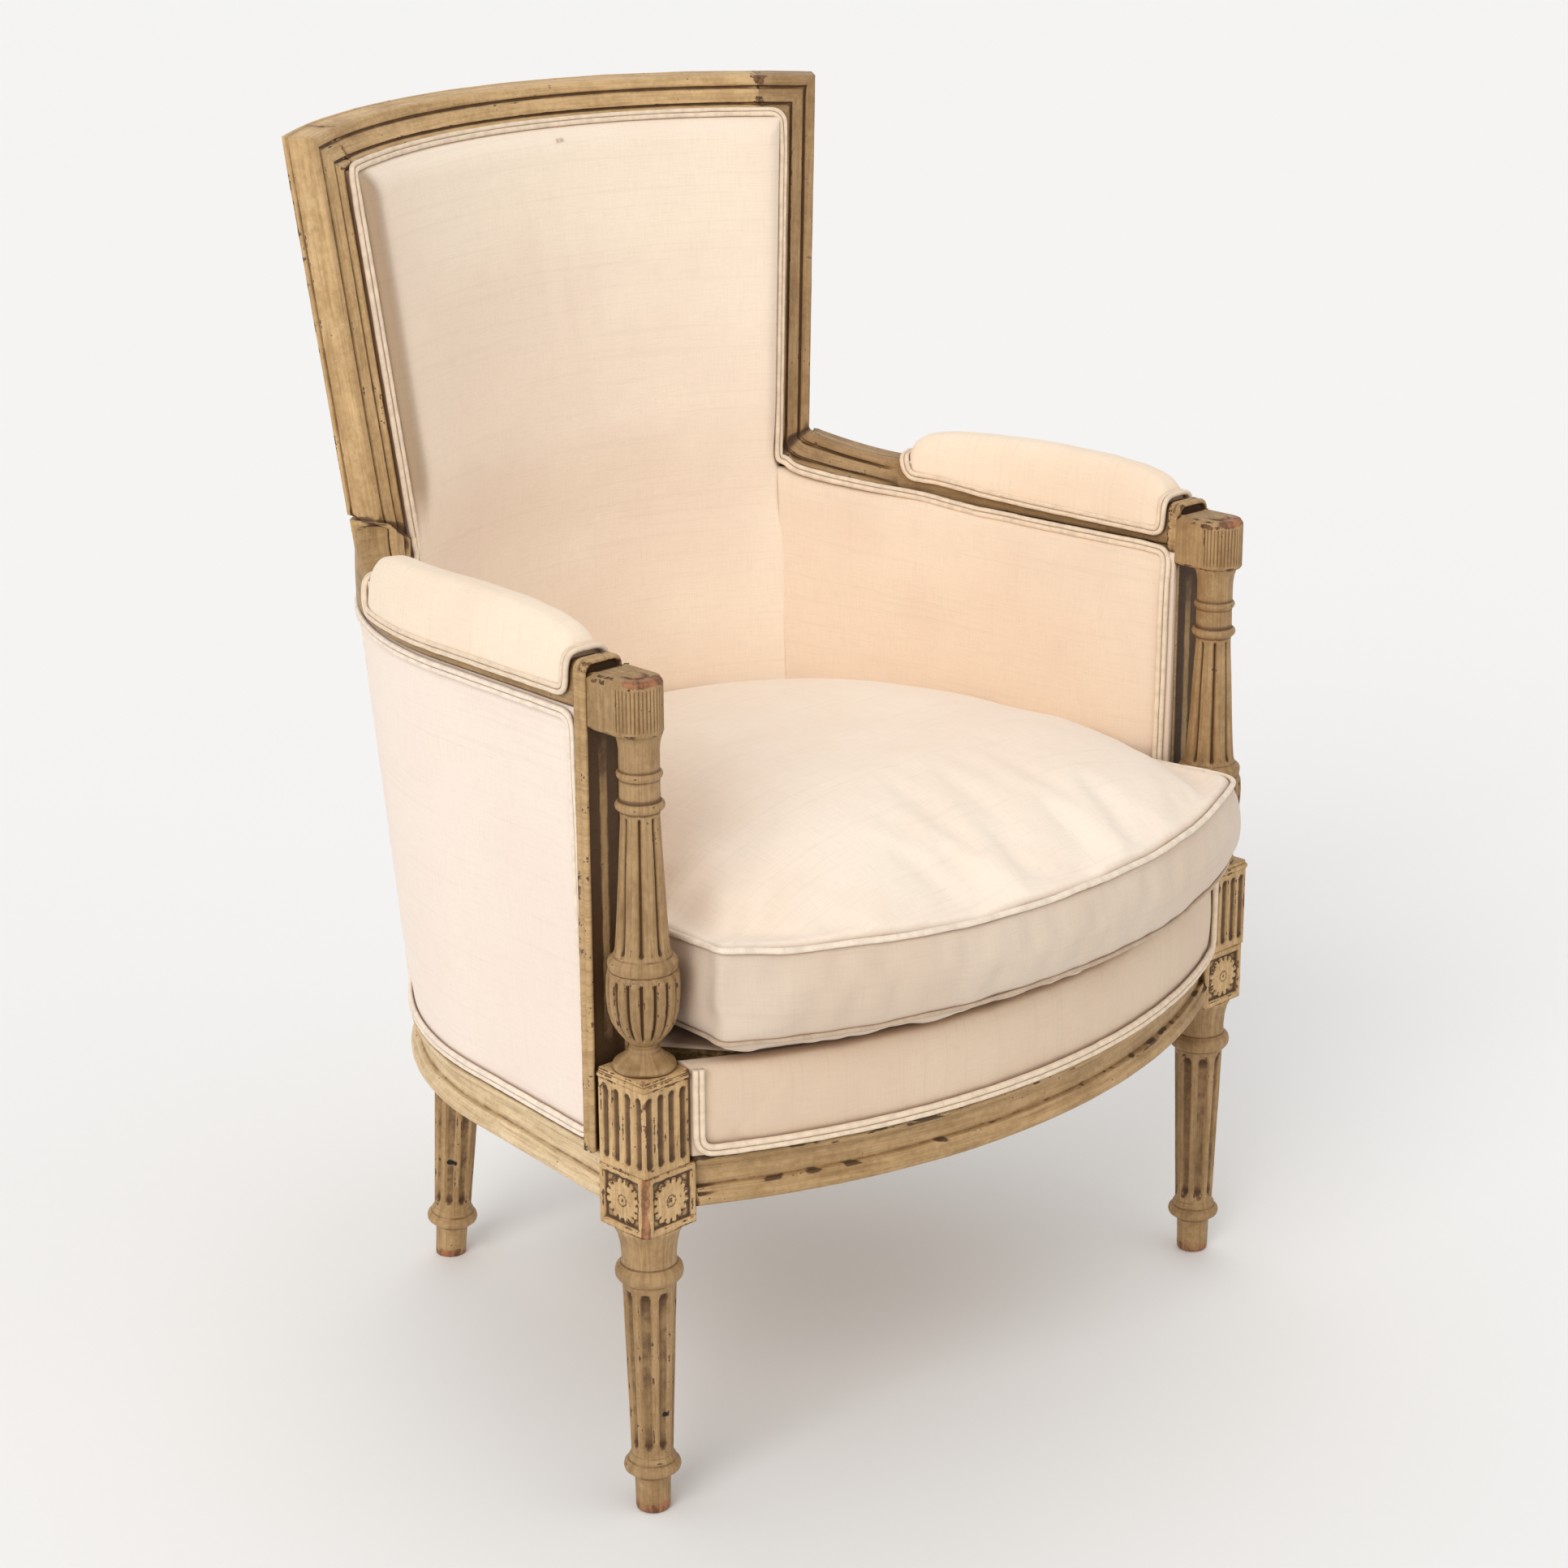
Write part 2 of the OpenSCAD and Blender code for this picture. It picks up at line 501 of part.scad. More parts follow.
module webbing_tacks() { color("#4a443c") place() { front_tacks(); rear_tacks(); } }
// double-cone compression spring
module spring(h, r0, r1, turns) {
  n = turns * 14;
  P = [for (i = [0:n]) let (t = i / n, r = mix(r0, r1, 4 * (t - 0.5) * (t - 0.5)), a = 360 * turns * t)
    [r * cos(a), r * sin(a), t * h]];
  N = [for (i = [0:n]) let (a = 360 * turns * i / n) [cos(a), sin(a), 0]];
  tube(P, N, 1.7, 1.7, 5);
}
module coil_springs() {
  color("#8a8478") place() for (i = [0:springs_n - 1]) for (j = [0:springs_n - 1])
    translate([(i - (springs_n - 1) / 2) * 150, -20 + (j - (springs_n - 1) / 2) * 130, rail_z + 2.2]) spring(74, 24, 36, 4);
}
module spring_hessian() { color("#b79a68") place() loft([deck_ring(320.4, 6), deck_ring(321.8, 6)]); }
module seat_stuffing() { color("#9a7f55") place() loft([deck_ring(322, 4), deck_ring(deck_z - 2.4, 2)]); }
module deck_cover() { color(linen) place() loft([deck_ring(deck_z - 2.2, 1), deck_ring(deck_z, 1.5)]); }

// upholstered band across the front, over the rebate of the front rail
module front_border() {
  r = front_r - 8;
  color(linen) place() difference() {
    intersection() {
      translate([0, front_c, 0]) rotate([0, 0, -130]) rotate_extrude(angle = 80, $fn = 180)
        polygon([[r + 0.2, rail_top + 0.5], [r + 7.2, rail_top + 0.5], [r + 7.6, deck_z - 10], [r + 6.4, deck_z - 4],
          [r + 3, deck_z - 0.8], [r - 2, deck_z], [r - 6, deck_z], [r - 6, deck_z - 13.8], [r + 0.2, deck_z - 13.8]]);
      translate([-front_hx - 3, -320, 0]) cube([2 * front_hx + 6, 300, 500]);
    }
    for (s = [-1, 1]) translate([s * (lx - 3.8) - 25, ly - 40, 200]) cube([50, 100, 200]);
  }
}
// double piping on the band: down one side, along the bottom, up the other
module front_border_welt() {
  r = front_r + 3.2;
  a1 = asin((front_hx - 9) / r);
  n = 24;
  zb = rail_top + 5.2;
  half = concat([[a1, deck_z - 6], [a1, deck_z - 30], [a1, zb + 16], [a1 - 0.15, zb + 6], [a1 - 0.6, zb + 1.2], [a1 - 1.2, zb]],
    [for (i = [1:n]) [mix(a1 - 1.2, 0, i / n), zb]]);
  path = concat(half, [for (i = [len(half) - 2:-1:0]) [-half[i][0], half[i][1]]]);
  color(linen) place() tube([for (p = path) [-r * sin(p[0]), front_c - r * cos(p[0]), p[1]]],
    [for (p = path) [-sin(p[0]), -cos(p[0]), 0]], 2.4, 4.4);
}

// ---------- inside upholstery ----------
function strip_low(z, o, u) = [for (q = [[-1.5, 4.5], [0, 4.5], [0, -4.5], [-1.5, -4.5]]) wp(z, o + q[0], 43.4 * u + q[1])];
function strip_high(w, t, d, u) = [for (q = [[1.5, 3.3], [0, 3.3], [0, -3.3], [1.5, -3.3]]) bp(w, t * u + q[1], d + q[0])];
module back_webbing() {
  color("#b08d57") place() for (i = [-2:2]) let (u = i * 0.35, a = strip_low(360, 26.6, u), b = strip_high(-354, 29.3, 15.2, u))
    loft([strip_low(334, 25.6, u), a, (a + b) / 2 + [for (k = [0:3]) 2 * [-sin(36 * u), cos(36 * u), 0]], b,
      strip_high(-305, 32.2, 16.2, u), strip_high(-60, 32.2, 16.2, u), strip_high(-37, 32.3, 16, u)]);
}
module inside_back_pad() {
  a = 43.4;
  color(linen) place() loft([
    back_ring(frame_top + 2, 26, 43, a),
    back_ring(360, 28, 44.5, a),
    cone_ring(-354, 14, -6, 29.3),
    cone_ring(-305, 15, -8, in_half - 0.6),
    cone_ring(-60, 15, -12, in_half - 0.6),
    cone_ring(-34, 14, -2, in_half - 0.5)], true);
}
module inside_arm_pad() {
  a = 44;
  function lay(z, oo, oi, e) = concat(side_line(z, oo, a, -104), [[-e, -111, z], [-e, -145, z]],
    [ws(z, oi, -145), ws(z, oi, -125)], rev(side_line(z, oi, a, -104)));
  loft([lay(frame_top + 2, 26, 42, 298.5), lay(360, 26.7, 43.6, 298.5), lay(590, 30.6, 43.6, 298.5), lay(arm_lo - 2, 30.6, 37, 298.5)], true);
}
module inside_arm_pad_left() { color(linen) place() inside_arm_pad(); }
module inside_arm_pad_right() { color(linen) place() right() inside_arm_pad(); }
// double piping round the inside: up the post, along the arm, round the back opening
module inside_welt() {
  zt = arm_lo - 7;
  half = concat(
    [for (z = [360, 430, 500, 560, 590]) let (p = ws(z, 46.6, -141)) [p, [1, 0, 0]]],
    [let (p = ws(zt - 4, 45.4, -139)) [p, [1, 0, 0.2]], let (p = ws(zt, 44.6, -134)) [p, [1, 0, 0.2]]],
    [for (i = [0:14]) let (a = mix(87, 47, i / 14)) [wp(zt, 43.6, a), [sin(a), -cos(a), 0.2]]],
    [let (p = bp(-350, 30.2, -12)) [p, [sin(30.2), -cos(30.2), 0]]],
    [for (w = [-330, -250, -170, -100, -62, -50]) [bp(w, in_half - 0.9, w == -62 ? -15.2 : w < -62 ? -14.6 : -12.8), [sin(33), -cos(33), 0]]],
    [[bp(-42, in_half - 1.2, -11.4), [sin(33), -cos(33), 0]], [bp(-39.5, in_half - 2, -10.6), [sin(32), -cos(32), 0]]],
    [for (i = [1:12]) let (t = mix(in_half - 2, 0, i / 12)) [bp(-39, t, -10.4), [sin(t), -cos(t), 0]]]);
  path = concat(half, [for (i = [len(half) - 2:-1:0]) let (h = half[i])
    [[-h[0][0], h[0][1], h[0][2]], [-h[1][0], h[1][1], h[1][2]]]]);
  color(linen) place() tube([for (h = path) h[0]], [for (h = path) h[1]], 2.4, 4.2);
}

// ---------- outside covers ----------
module outside_back_cover() {
  e0 = wp(arm_lo, 0.8, 43.6);
  e1 = bp(-305, in_half - 0.6, 24.6);
  color(linen_side) place() loft([
    back_ring(rail_top + 0.6, 4.5, 7.6, 44.2),
    span_ring(arm_lo, 314, e0, 3),
    span_ring(e1[2], 317, e1, 3),
    cone_ring(-35.6, 24.6, 21.6, in_half - 0.6)], true);
}
module outside_side_cover() {
  loft([side_ring(rail_top + 0.6, 4.5, 7.6, 45, plate_b + 0.4), side_ring(arm_lo - 0.6, 0.6, 3.6, 45, plate_b + 0.4)], true);
}
module outside_side_cover_left() { color(linen_side) place() outside_side_cover(); }
module outside_side_cover_right() { color(linen_side) place() right() outside_side_cover(); }
function cover_o(z) = mix(4.5, 0.7, (z - 282) / 330);
module side_welt() {
  z0 = rail_top + 5.4;
  z1 = arm_lo - 5.6;
  yf = plate_b + 5.2;
  a0 = 46.2;
  function n_at(a) = [-sin(a), cos(a), 0];
  path = concat(
    [for (i = [0:16]) let (a = mix(a0 + 1.2, 90 - wall_f(z0), i / 16)) [wp(z0, cover_o(z0) - 2.8, a), n_at(a)]],
    [for (y = [-40, -90, yf + 6]) [ws(z0, cover_o(z0) - 2.8, y), [-1, 0, 0]]],
    [[ws(z0 + 1.4, cover_o(z0) - 2.8, yf + 1.2), [-1, 0, 0]]],
    [for (z = [z0 + 6, 400, 500, z1 - 6]) [ws(z, cover_o(z) - 2.8, yf), [-1, 0, 0]]],
    [[ws(z1 - 1.4, cover_o(z1) - 2.8, yf + 1.2), [-1, 0, 0]]],
    [for (y = [yf + 6, -90, -40]) [ws(z1, cover_o(z1) - 2.8, y), [-1, 0, 0]]],
    [for (i = [16:-1:0]) let (a = mix(a0 + 1.2, 90 - wall_f(z1), i / 16)) [wp(z1, cover_o(z1) - 2.8, a), n_at(a)]],
    [for (z = [z1 - 6, 500, 400, z0 + 6]) [wp(z, cover_o(z) - 2.8, a0), n_at(a0)]]);
  tube([for (h = path) h[0]], [for (h = path) h[1]], 2.3, 4.2, 6, true);
}
module outside_side_welts() { color(linen_side) place() { side_welt(); right() side_welt(); } }
module outside_back_welt() {
  z0 = rail_top + 5.4;
  half = concat(
    [for (i = [0:12]) let (a = mix(0, 42, i / 12)) [wp(z0, cover_o(z0) - 2.9, a), [-sin(a), cos(a), 0]]],
    [for (z = [z0 + 6, 400, 500, 600]) [wp(z, cover_o(z) - 3, 42.8), [-sin(43), cos(43), 0]]],
    [for (w = [-300, -200, -100, -46]) [bp(w, in_half - 1.4, 27.7), [-sin(33), cos(33), 0]]],
    [for (i = [0:12]) let (t = mix(in_half - 2.4, 0, i / 12)) [bp(-40, t, 27.7), [-sin(t), cos(t), 0]]]);
  path = concat(half, [for (i = [len(half) - 2:-1:1]) let (h = half[i])
    [[-h[0][0], h[0][1], h[0][2]], [-h[1][0], h[1][1], h[1][2]]]]);
  color(linen_side) place() tube([for (h = path) h[0]], [for (h = path) h[1]], 2.3, 4.2, 6, true);
}

// ---------- arm pads ----------
// section across the arm at a station: height profile over the rail top
pad_a0 = 64.2; // angle of the rear end of the pad
function arm_at(s, o, z) = // s from 0 at the rear end to 1 at the front end
  let (r = wall_r(640), c = wall_c(640), f = 3, la = (90 - f - pad_a0) * PI / 180 * r, ls = c + r * sin(f) + 133,
    l = s * (la + ls))
  l < la ? let (a = pad_a0 + (90 - f - pad_a0) * l / la) [-(r - o) * sin(a), c + (r - o) * cos(a), z]
    : [-(r - o) * cos(f) - (l - la) * sin(f), c + (r - o) * sin(f) - (l - la) * cos(f), z];
module arm_pad() {
  st = [[0, 9, 6], [0.015, 11, 11], [0.05, 13.6, 17], [0.12, 15, 22.5], [0.3, 16, 26], [0.55, 16, 28], [0.8, 16, 26], [0.91, 15.6, 21],
    [0.96, 14.6, 14], [0.974, 12.6, 7]];
  // rings across the arm, low edge at the rail sides, crown above
  function ring(s, w, h) = [for (i = [0:11]) let (t = i * 30, x = w * cos(t), y = sin(t) > 0 ? h * sin(t) : 0.3 + 0 * sin(t))
    let (o = 15 - x) arm_at(s, o, arm_z + 0.4 + max(0, y) + (sin(t) < 0 ? 0.1 * sin(t) : 0))];
  n = len(st);
  pts = [for (q = st) each ring(q[0], q[1], q[2])];
  m = 12;
  polyhedron(points = pts, faces = concat([[for (i = [m - 1:-1:0]) i]], [[for (i = [0:m - 1]) (n - 1) * m + i]],
      [for (j = [0:n - 2]) for (i = [0:m - 1]) each [[j * m + i, (j + 1) * m + (i + 1) % m, (j + 1) * m + i],
        [j * m + i, j * m + (i + 1) % m, (j + 1) * m + (i + 1) % m]]]), convexity = 4);
}
module arm_pad_left() { color(linen) place() arm_pad(); }
module arm_pad_right() { color(linen) place() right() arm_pad(); }
// double piping round the foot of each arm pad, down over the sides of the rail
module arm_pad_welt() {
  z = arm_z - 22;
  ss = [for (i = [0:20]) mix(0.02, 0.97, i / 20)];
  out = function (s, o) unit(arm_at(s, o - 10, z) - arm_at(s, o, z));
  up = [0, 0, 1];
  path = concat([for (s = ss) [arm_at(s, -2.8, z), out(s, -2.8)]],
    [[arm_at(0.982, -2.6, z + 4), out(1, 0)], [arm_at(0.985, -2.6, arm_z - 5), out(1, 0)], [arm_at(0.988, -0.8, arm_z + 0.4), out(1, 0) + up]],
    [for (o = [4, 15, 26]) [arm_at(0.99, o, arm_z + 2.9), up]],
    [[arm_at(0.988, 30.8, arm_z + 0.4), up - out(1, 0)], [arm_at(0.985, 32.6, arm_z - 5), -out(1, 0)], [arm_at(0.982, 32.6, z + 4), -out(1, 0)]],
    [for (s = rev(ss)) [arm_at(s, 32.8, z), -out(s, 0)]],
    [[arm_at(0.004, 32.6, z + 4), -out(0, 0)], [arm_at(-0.01, 32.6, arm_z - 5), -out(0, 0)], [arm_at(-0.014, 30.8, arm_z + 0.4), up - out(0, 0)]],
    [for (o = [26, 15, 4]) [arm_at(-0.02, o, arm_z + 2.9), up]],
    [[arm_at(-0.014, -0.8, arm_z + 0.4), out(0, 0) + up], [arm_at(-0.01, -2.6, arm_z - 5), out(0, 0)], [arm_at(0.004, -2.6, z + 4), out(0, 0)]]);
  tube([for (h = path) h[0]], [for (h = path) h[1]], 2.2, 4, 6, true);
}
module arm_pad_welts() { color(linen) place() { arm_pad_welt(); right() arm_pad_welt(); } }

// ---------- loose seat cushion ----------
function cushion_line() = let (z = 400, o = 57, r = 569, c = 266)
  concat([for (i = [0:16]) let (p = wp(z, o, mix(0, 90 - wall_f(z), i / 16))) [p[0], p[1]]],
    [[-272.5, -150], [-274, -180], [-274.5, -208], [-271, -223], [-262.5, -233.5], [-250, -241]],
    [for (i = [1:14]) let (a = mix(-asin(252 / r), 0, i / 14)) [r * sin(a), c - r * cos(a)]]);
function cushion_loop() = let (l = cushion_line(), k = len(l)) concat(l, [for (i = [k - 2:-1:1]) [-l[i][0], l[i][1]]]);
function cushion_ring(z, o) = [for (p = cushion_loop()) [p[0] * (1 - o / 268), -20 + (p[1] + 20) * (1 - o / 268), z]];
function cushion_layers(g) = [cushion_ring(deck_z + 0.4 + g, 18 + g), cushion_ring(deck_z + 9 + g * 0.6, 6 + g), cushion_ring(pipe_lo, g),
  cushion_ring((pipe_lo + pipe_hi) / 2, 1.6 + g), cushion_ring(pipe_hi, g), cushion_ring(pipe_hi + 10 - g * 0.6, 16 + g),
  cushion_ring(pipe_hi + 19 - g, 50), cushion_ring(crown_z - g, 110)];
module cushion_cover() { color(linen) place() difference() { loft(cushion_layers(0)); loft(cushion_layers(2)); } }
module cushion_filling() { color("#ece4d4") place() loft(cushion_layers(2.2)); }
module cushion_piping() {
  color(linen) place() for (z = [pipe_lo, pipe_hi]) let (l = cushion_ring(z, -3.4))
    tube(l, [for (p = l) unit([p[0], p[1] + 20, 0])], 2.6, 2.6, 6, true);
}

front_leg_left();
front_leg_right();
rear_leg_left();
rear_leg_right();
front_rail();
side_rail_left();
side_rail_right();
back_rail();
corner_blocks();
block_screws();
joint_dowels();
stile_left();
stile_right();
crest_rail();
lower_back_rail();
arm_rail_left();
arm_rail_right();
arm_post_left();
arm_post_right();
baluster_left();
baluster_right();
arm_terminal_left();
arm_terminal_right();
seat_webbing();
webbing_tacks();
coil_springs();
spring_hessian();
seat_stuffing();
deck_cover();
front_border();
front_border_welt();
back_webbing();
inside_back_pad();
inside_arm_pad_left();
inside_arm_pad_right();
inside_welt();
outside_back_cover();
outside_side_cover_left();
outside_side_cover_right();
outside_back_welt();
outside_side_welts();
arm_pad_left();
arm_pad_right();
arm_pad_welts();
cushion_cover();
cushion_filling();
cushion_piping();
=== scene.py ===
import math

import bpy
import numpy as np
from mathutils import Matrix, Vector
from mathutils.geometry import delaunay_2d_cdt


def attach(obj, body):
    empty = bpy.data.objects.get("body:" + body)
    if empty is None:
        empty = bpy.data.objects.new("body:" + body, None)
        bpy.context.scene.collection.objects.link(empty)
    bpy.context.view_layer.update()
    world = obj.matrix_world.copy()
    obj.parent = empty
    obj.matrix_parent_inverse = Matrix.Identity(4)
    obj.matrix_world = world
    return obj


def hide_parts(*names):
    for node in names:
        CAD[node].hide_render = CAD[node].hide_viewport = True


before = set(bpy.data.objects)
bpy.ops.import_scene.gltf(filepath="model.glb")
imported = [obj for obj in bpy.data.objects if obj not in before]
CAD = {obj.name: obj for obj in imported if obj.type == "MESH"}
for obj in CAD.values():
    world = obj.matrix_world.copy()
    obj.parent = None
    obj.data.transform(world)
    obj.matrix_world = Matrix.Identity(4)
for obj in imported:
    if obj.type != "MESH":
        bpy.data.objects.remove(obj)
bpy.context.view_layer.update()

scene = bpy.context.scene

# Every shape below is worked out in millimetres in the chair's own drawing frame,
# whose Y is YM forward of the final frame, and is turned to metres when a mesh is made.
YM = 15.2
RAD = math.pi / 180

# ------------------------------------------------------------------ camera
az, el, roll = -44.37 * RAD, 18.13 * RAD, -0.27 * RAD
c_back = Vector((math.sin(az) * math.cos(el), -math.cos(az) * math.cos(el), math.sin(el)))
c_right = Vector((math.cos(az), math.sin(az), 0))
c_up = c_back.cross(c_right)
r2 = c_right * math.cos(roll) + c_up * math.sin(roll)
u2 = c_up * math.cos(roll) - c_right * math.sin(roll)
cam = bpy.data.objects.new("camera", bpy.data.cameras.new("camera"))
scene.collection.objects.link(cam)
cam.matrix_world = Matrix((
    (r2.x, u2.x, c_back.x, -1.86795),
    (r2.y, u2.y, c_back.y, -1.92523),
    (r2.z, u2.z, c_back.z, 1.32271),
    (0, 0, 0, 1)))
cam.data.sensor_width = 36
cam.data.lens = 81.44
cam.data.clip_start, cam.data.clip_end = 0.05, 200
scene.camera = cam


# ------------------------------------------------------------------ numbers
def mix(a, b, t):
    return a + (b - a) * t


def sstep(a, b, x):
    t = np.clip((np.asarray(x, float) - a) / (b - a), 0, 1)
    return t * t * (3 - 2 * t)


def sind(a):
    return np.sin(np.asarray(a, float) * RAD)


def cosd(a):
    return np.cos(np.asarray(a, float) * RAD)


def _hash(i, j, k):
    n = (i * 374761393 + j * 668265263 + k * 1442695041) & 0xFFFFFFFF
    n = ((n ^ (n >> 13)) * 1274126177) & 0xFFFFFFFF
    n = ((n ^ (n >> 16)) * 2246822519) & 0xFFFFFFFF
    return ((n ^ (n >> 15)) & 0xFFFFFF) / float(0xFFFFFF) * 2 - 1


def vnoise(P, size, seed=0):
    """Smooth value noise from -1 to 1 at points P in mm, with features about size mm."""
    Q = np.asarray(P, float) / size + 31.7 * seed + 1000.0
    I = np.floor(Q).astype(np.int64)
    f = Q - I
    f = f * f * f * (f * (f * 6 - 15) + 10)
    out = 0
    for dx in (0, 1):
        for dy in (0, 1):
            for dz in (0, 1):
                w = ((f[..., 0] if dx else 1 - f[..., 0]) * (f[..., 1] if dy else 1 - f[..., 1])
                     * (f[..., 2] if dz else 1 - f[..., 2]))
                out = out + w * _hash(I[..., 0] + dx, I[..., 1] + dy, I[..., 2] + dz)
    return out


def fbm(P, size, seed=0, octaves=3):
    out, amp, tot = 0, 1.0, 0
    for o in range(octaves):
        out = out + amp * vnoise(P, size / 2 ** o, seed + o * 7)
        tot += amp
        amp *= 0.5
    return out / tot


def pts(x, y, z):
    x, y, z = np.broadcast_arrays(np.asarray(x, float), np.asarray(y, float), np.asarray(z, float))
    return np.stack([x, y, z], -1)


# the barrel wall of the chair
def lev(z):
    return (np.asarray(z, float) - 280) / 360


def wall_r(z):
    return 309 + 17 * lev(z)


def wall_c(z):
    return -13 + 19 * lev(z)


def wall_f(z):
    return 7.5 - 4.5 * lev(z)


def wp(z, o, a):
    """Point on the left wall at height z, inset o, at angle a from the middle of the back."""
    r = wall_r(z) - o
    return pts(-r * sind(a), wall_c(z) + r * cosd(a), z)


def wall_path(z, o, s):
    """Point on the left wall, s mm of arc from the middle of the back, running straight past the splay angle."""
    z, o, s = np.broadcast_arrays(np.asarray(z, float), np.asarray(o, float), np.asarray(s, float))
    R = wall_r(z)
    f = wall_f(z)
    a_end = 90 - f
    s_end = a_end * RAD * R
    a = np.minimum(s, s_end) / R / RAD
    over = np.maximum(s - s_end, 0)
    p = wp(z, o, a)
    return p + pts(-over * sind(f), -over * cosd(f), 0 * over)


def wall_s_of_y(z, y):
    """Arc length at which the wall surface reaches that y on its straight part."""
    R, f = wall_r(z), wall_f(z)
    s_end = (90 - f) * RAD * R
    y_end = wall_c(z) + R * sind(f)
    return s_end + (y_end - y) / cosd(f)


def bp(w, t, d):
    """Point on the curved back: w down from the top edge, angle t, d behind the face."""
    w, t, d = np.broadcast_arrays(np.asarray(w, float), np.asarray(t, float), np.asarray(d, float))
    r = 437 + 0.171 * w + d
    y = r * cosd(t) - 437
    ct, st = math.cos(3.5 * RAD), math.sin(3.5 * RAD)
    return pts(-r * sind(t), 314 + y * ct - w * st, 966 + y * st + w * ct)


# ------------------------------------------------------------------ meshes
def dense(P, step=1.0, long_step=None, rounds=1, closed=False):
    """A polyline resampled to even steps, with its corners eased."""
    P = [np.asarray(p, float) for p in P]
    if closed:
        P = P + [P[0]]
    out = [P[0]]
    for a, b in zip(P, P[1:]):
        L = np.linalg.norm(b - a)
        st = step if (long_step is None or L < 12) else long_step
        n = max(1, int(math.ceil(L / st)))
        for i in range(1, n + 1):
            out.append(a + (b - a) * i / n)
    Q = np.array(out)
    if closed:
        Q = Q[:-1]
    for _ in range(rounds):
        if closed:
            Q = 0.25 * np.roll(Q, 1, 0) + 0.5 * Q + 0.25 * np.roll(Q, -1, 0)
        else:
            M = Q.copy()
            M[1:-1] = 0.25 * Q[:-2] + 0.5 * Q[1:-1] + 0.25 * Q[2:]
            Q = M
    return Q


def resample(P, step, closed=False, rounds=0):
    """Even arc-length resampling of a polyline (columns may hold extra values after x, y, z)."""
    P = np.asarray(P, float)
    if closed:
        P = np.vstack([P, P[:1]])
    seg = np.linalg.norm(np.diff(P[:, :3], axis=0), axis=1)
    s = np.concatenate([[0], np.cumsum(seg)])
    n = max(3, int(round(s[-1] / step)))
    t = np.linspace(0, s[-1], n + 1)
    Q = np.stack([np.interp(t, s, P[:, k]) for k in range(P.shape[1])], 1)
    if closed:
        Q = Q[:-1]
    for _ in range(rounds):
        if closed:
            Q = 0.25 * np.roll(Q, 1, 0) + 0.5 * Q + 0.25 * np.roll(Q, -1, 0)
        else:
            M = Q.copy()
            M[1:-1] = 0.25 * Q[:-2] + 0.5 * Q[1:-1] + 0.25 * Q[2:]
            Q = M
    return Q


class Shape:
    """Collects grids into one mesh, in mm, with UVs in metres and per-vertex values."""

    def __init__(self):
        self.P, self.F, self.U, self.A = [], [], [], []
        self.n = 0

    def add(self, P, faces, uvs, **attrs):
        P = np.asarray(P, float).reshape(-1, 3)
        base = self.n
        self.P.append(P)
        self.F += [tuple(int(v) + base for v in f) for f in faces]
        self.U += uvs
        self.A.append({k: np.broadcast_to(np.asarray(v, float).reshape(-1) if np.ndim(v) else v, (len(P),)) for k, v in attrs.items()})
        self.n += len(P)
        return base

    def grid(self, G, close_u=False, close_v=False, cap0=False, cap1=False, uv=None, flip=False, **attrs):
        """G[nv, nu, 3]: v runs along the piece, u around it."""
        nv, nu = G.shape[:2]
        du = np.linalg.norm(np.diff(G, axis=1, append=G[:, :1]), axis=2).mean(0)
        dv = np.linalg.norm(np.diff(G, axis=0, append=G[:1]), axis=2).mean(1)
        cu = np.concatenate([[0], np.cumsum(du)]) / 1000
        cv = np.concatenate([[0], np.cumsum(dv)]) / 1000
        faces, uvs = [], []
        ju = nu if close_u else nu - 1
        jv = nv if close_v else nv - 1
        for j in range(jv):
            j2 = (j + 1) % nv
            for i in range(ju):
                i2 = (i + 1) % nu
                f = (j * nu + i, j * nu + i2, j2 * nu + i2, j2 * nu + i)
                if uv is None:
                    q = [(cu[i], cv[j]), (cu[i + 1], cv[j]), (cu[i + 1], cv[j + 1]), (cu[i], cv[j + 1])]
                else:
                    q = [tuple(uv[j, i]), tuple(uv[j, i2]), tuple(uv[j2, i2]), tuple(uv[j2, i])]
                if flip:
                    f, q = f[::-1], q[::-1]
                faces.append(f)
                uvs.append(q)
        P = G.reshape(-1, 3)
        vals = dict(attrs)
        extra = []
        for on, row in ((cap0, 0), (cap1, nv - 1)):
            if on:
                c = G[row].mean(0)
                k = len(P) + len(extra)
                extra.append(c)
                for i in range(ju):
                    i2 = (i + 1) % nu
                    a, b = row * nu + i, row * nu + i2
                    f = (b, a, k) if row == 0 else (a, b, k)
                    pa, pb = G[row, i], G[row, i2]
                    q = [(float(p[0] - c[0]) / 1000, float(p[1] - c[1] + p[2] - c[2]) / 1000) for p in ((pb, pa, c) if row == 0 else (pa, pb, c))]
                    if flip:
                        f, q = f[::-1], q[::-1]
                    faces.append(f)
                    uvs.append(q)
        if extra:
            P = np.vstack([P, np.array(extra)])
            for k, v in vals.items():
                v = np.asarray(v, float)
                if v.ndim:
                    v = v.reshape(-1)
                    vals[k] = np.concatenate([v, np.zeros(len(extra))])
        return self.add(P, faces, uvs, **vals)

    def mirror(self):
        """The same shape on the other side of the middle plane."""
        m = Shape()
        m.n = self.n
        m.P = [p * np.array([-1, 1, 1]) for p in self.P]
        m.F = [f[::-1] for f in self.F]
        m.U = [u[::-1] for u in self.U]
        m.A = [dict(a) for a in self.A]
        return m

    def join(self, other):
        base = self.n
        self.P += other.P
        self.F += [tuple(v + base for v in f) for f in other.F]
        self.U += other.U
        self.A += other.A
        self.n += other.n

    def points(self):
        return np.vstack(self.P)


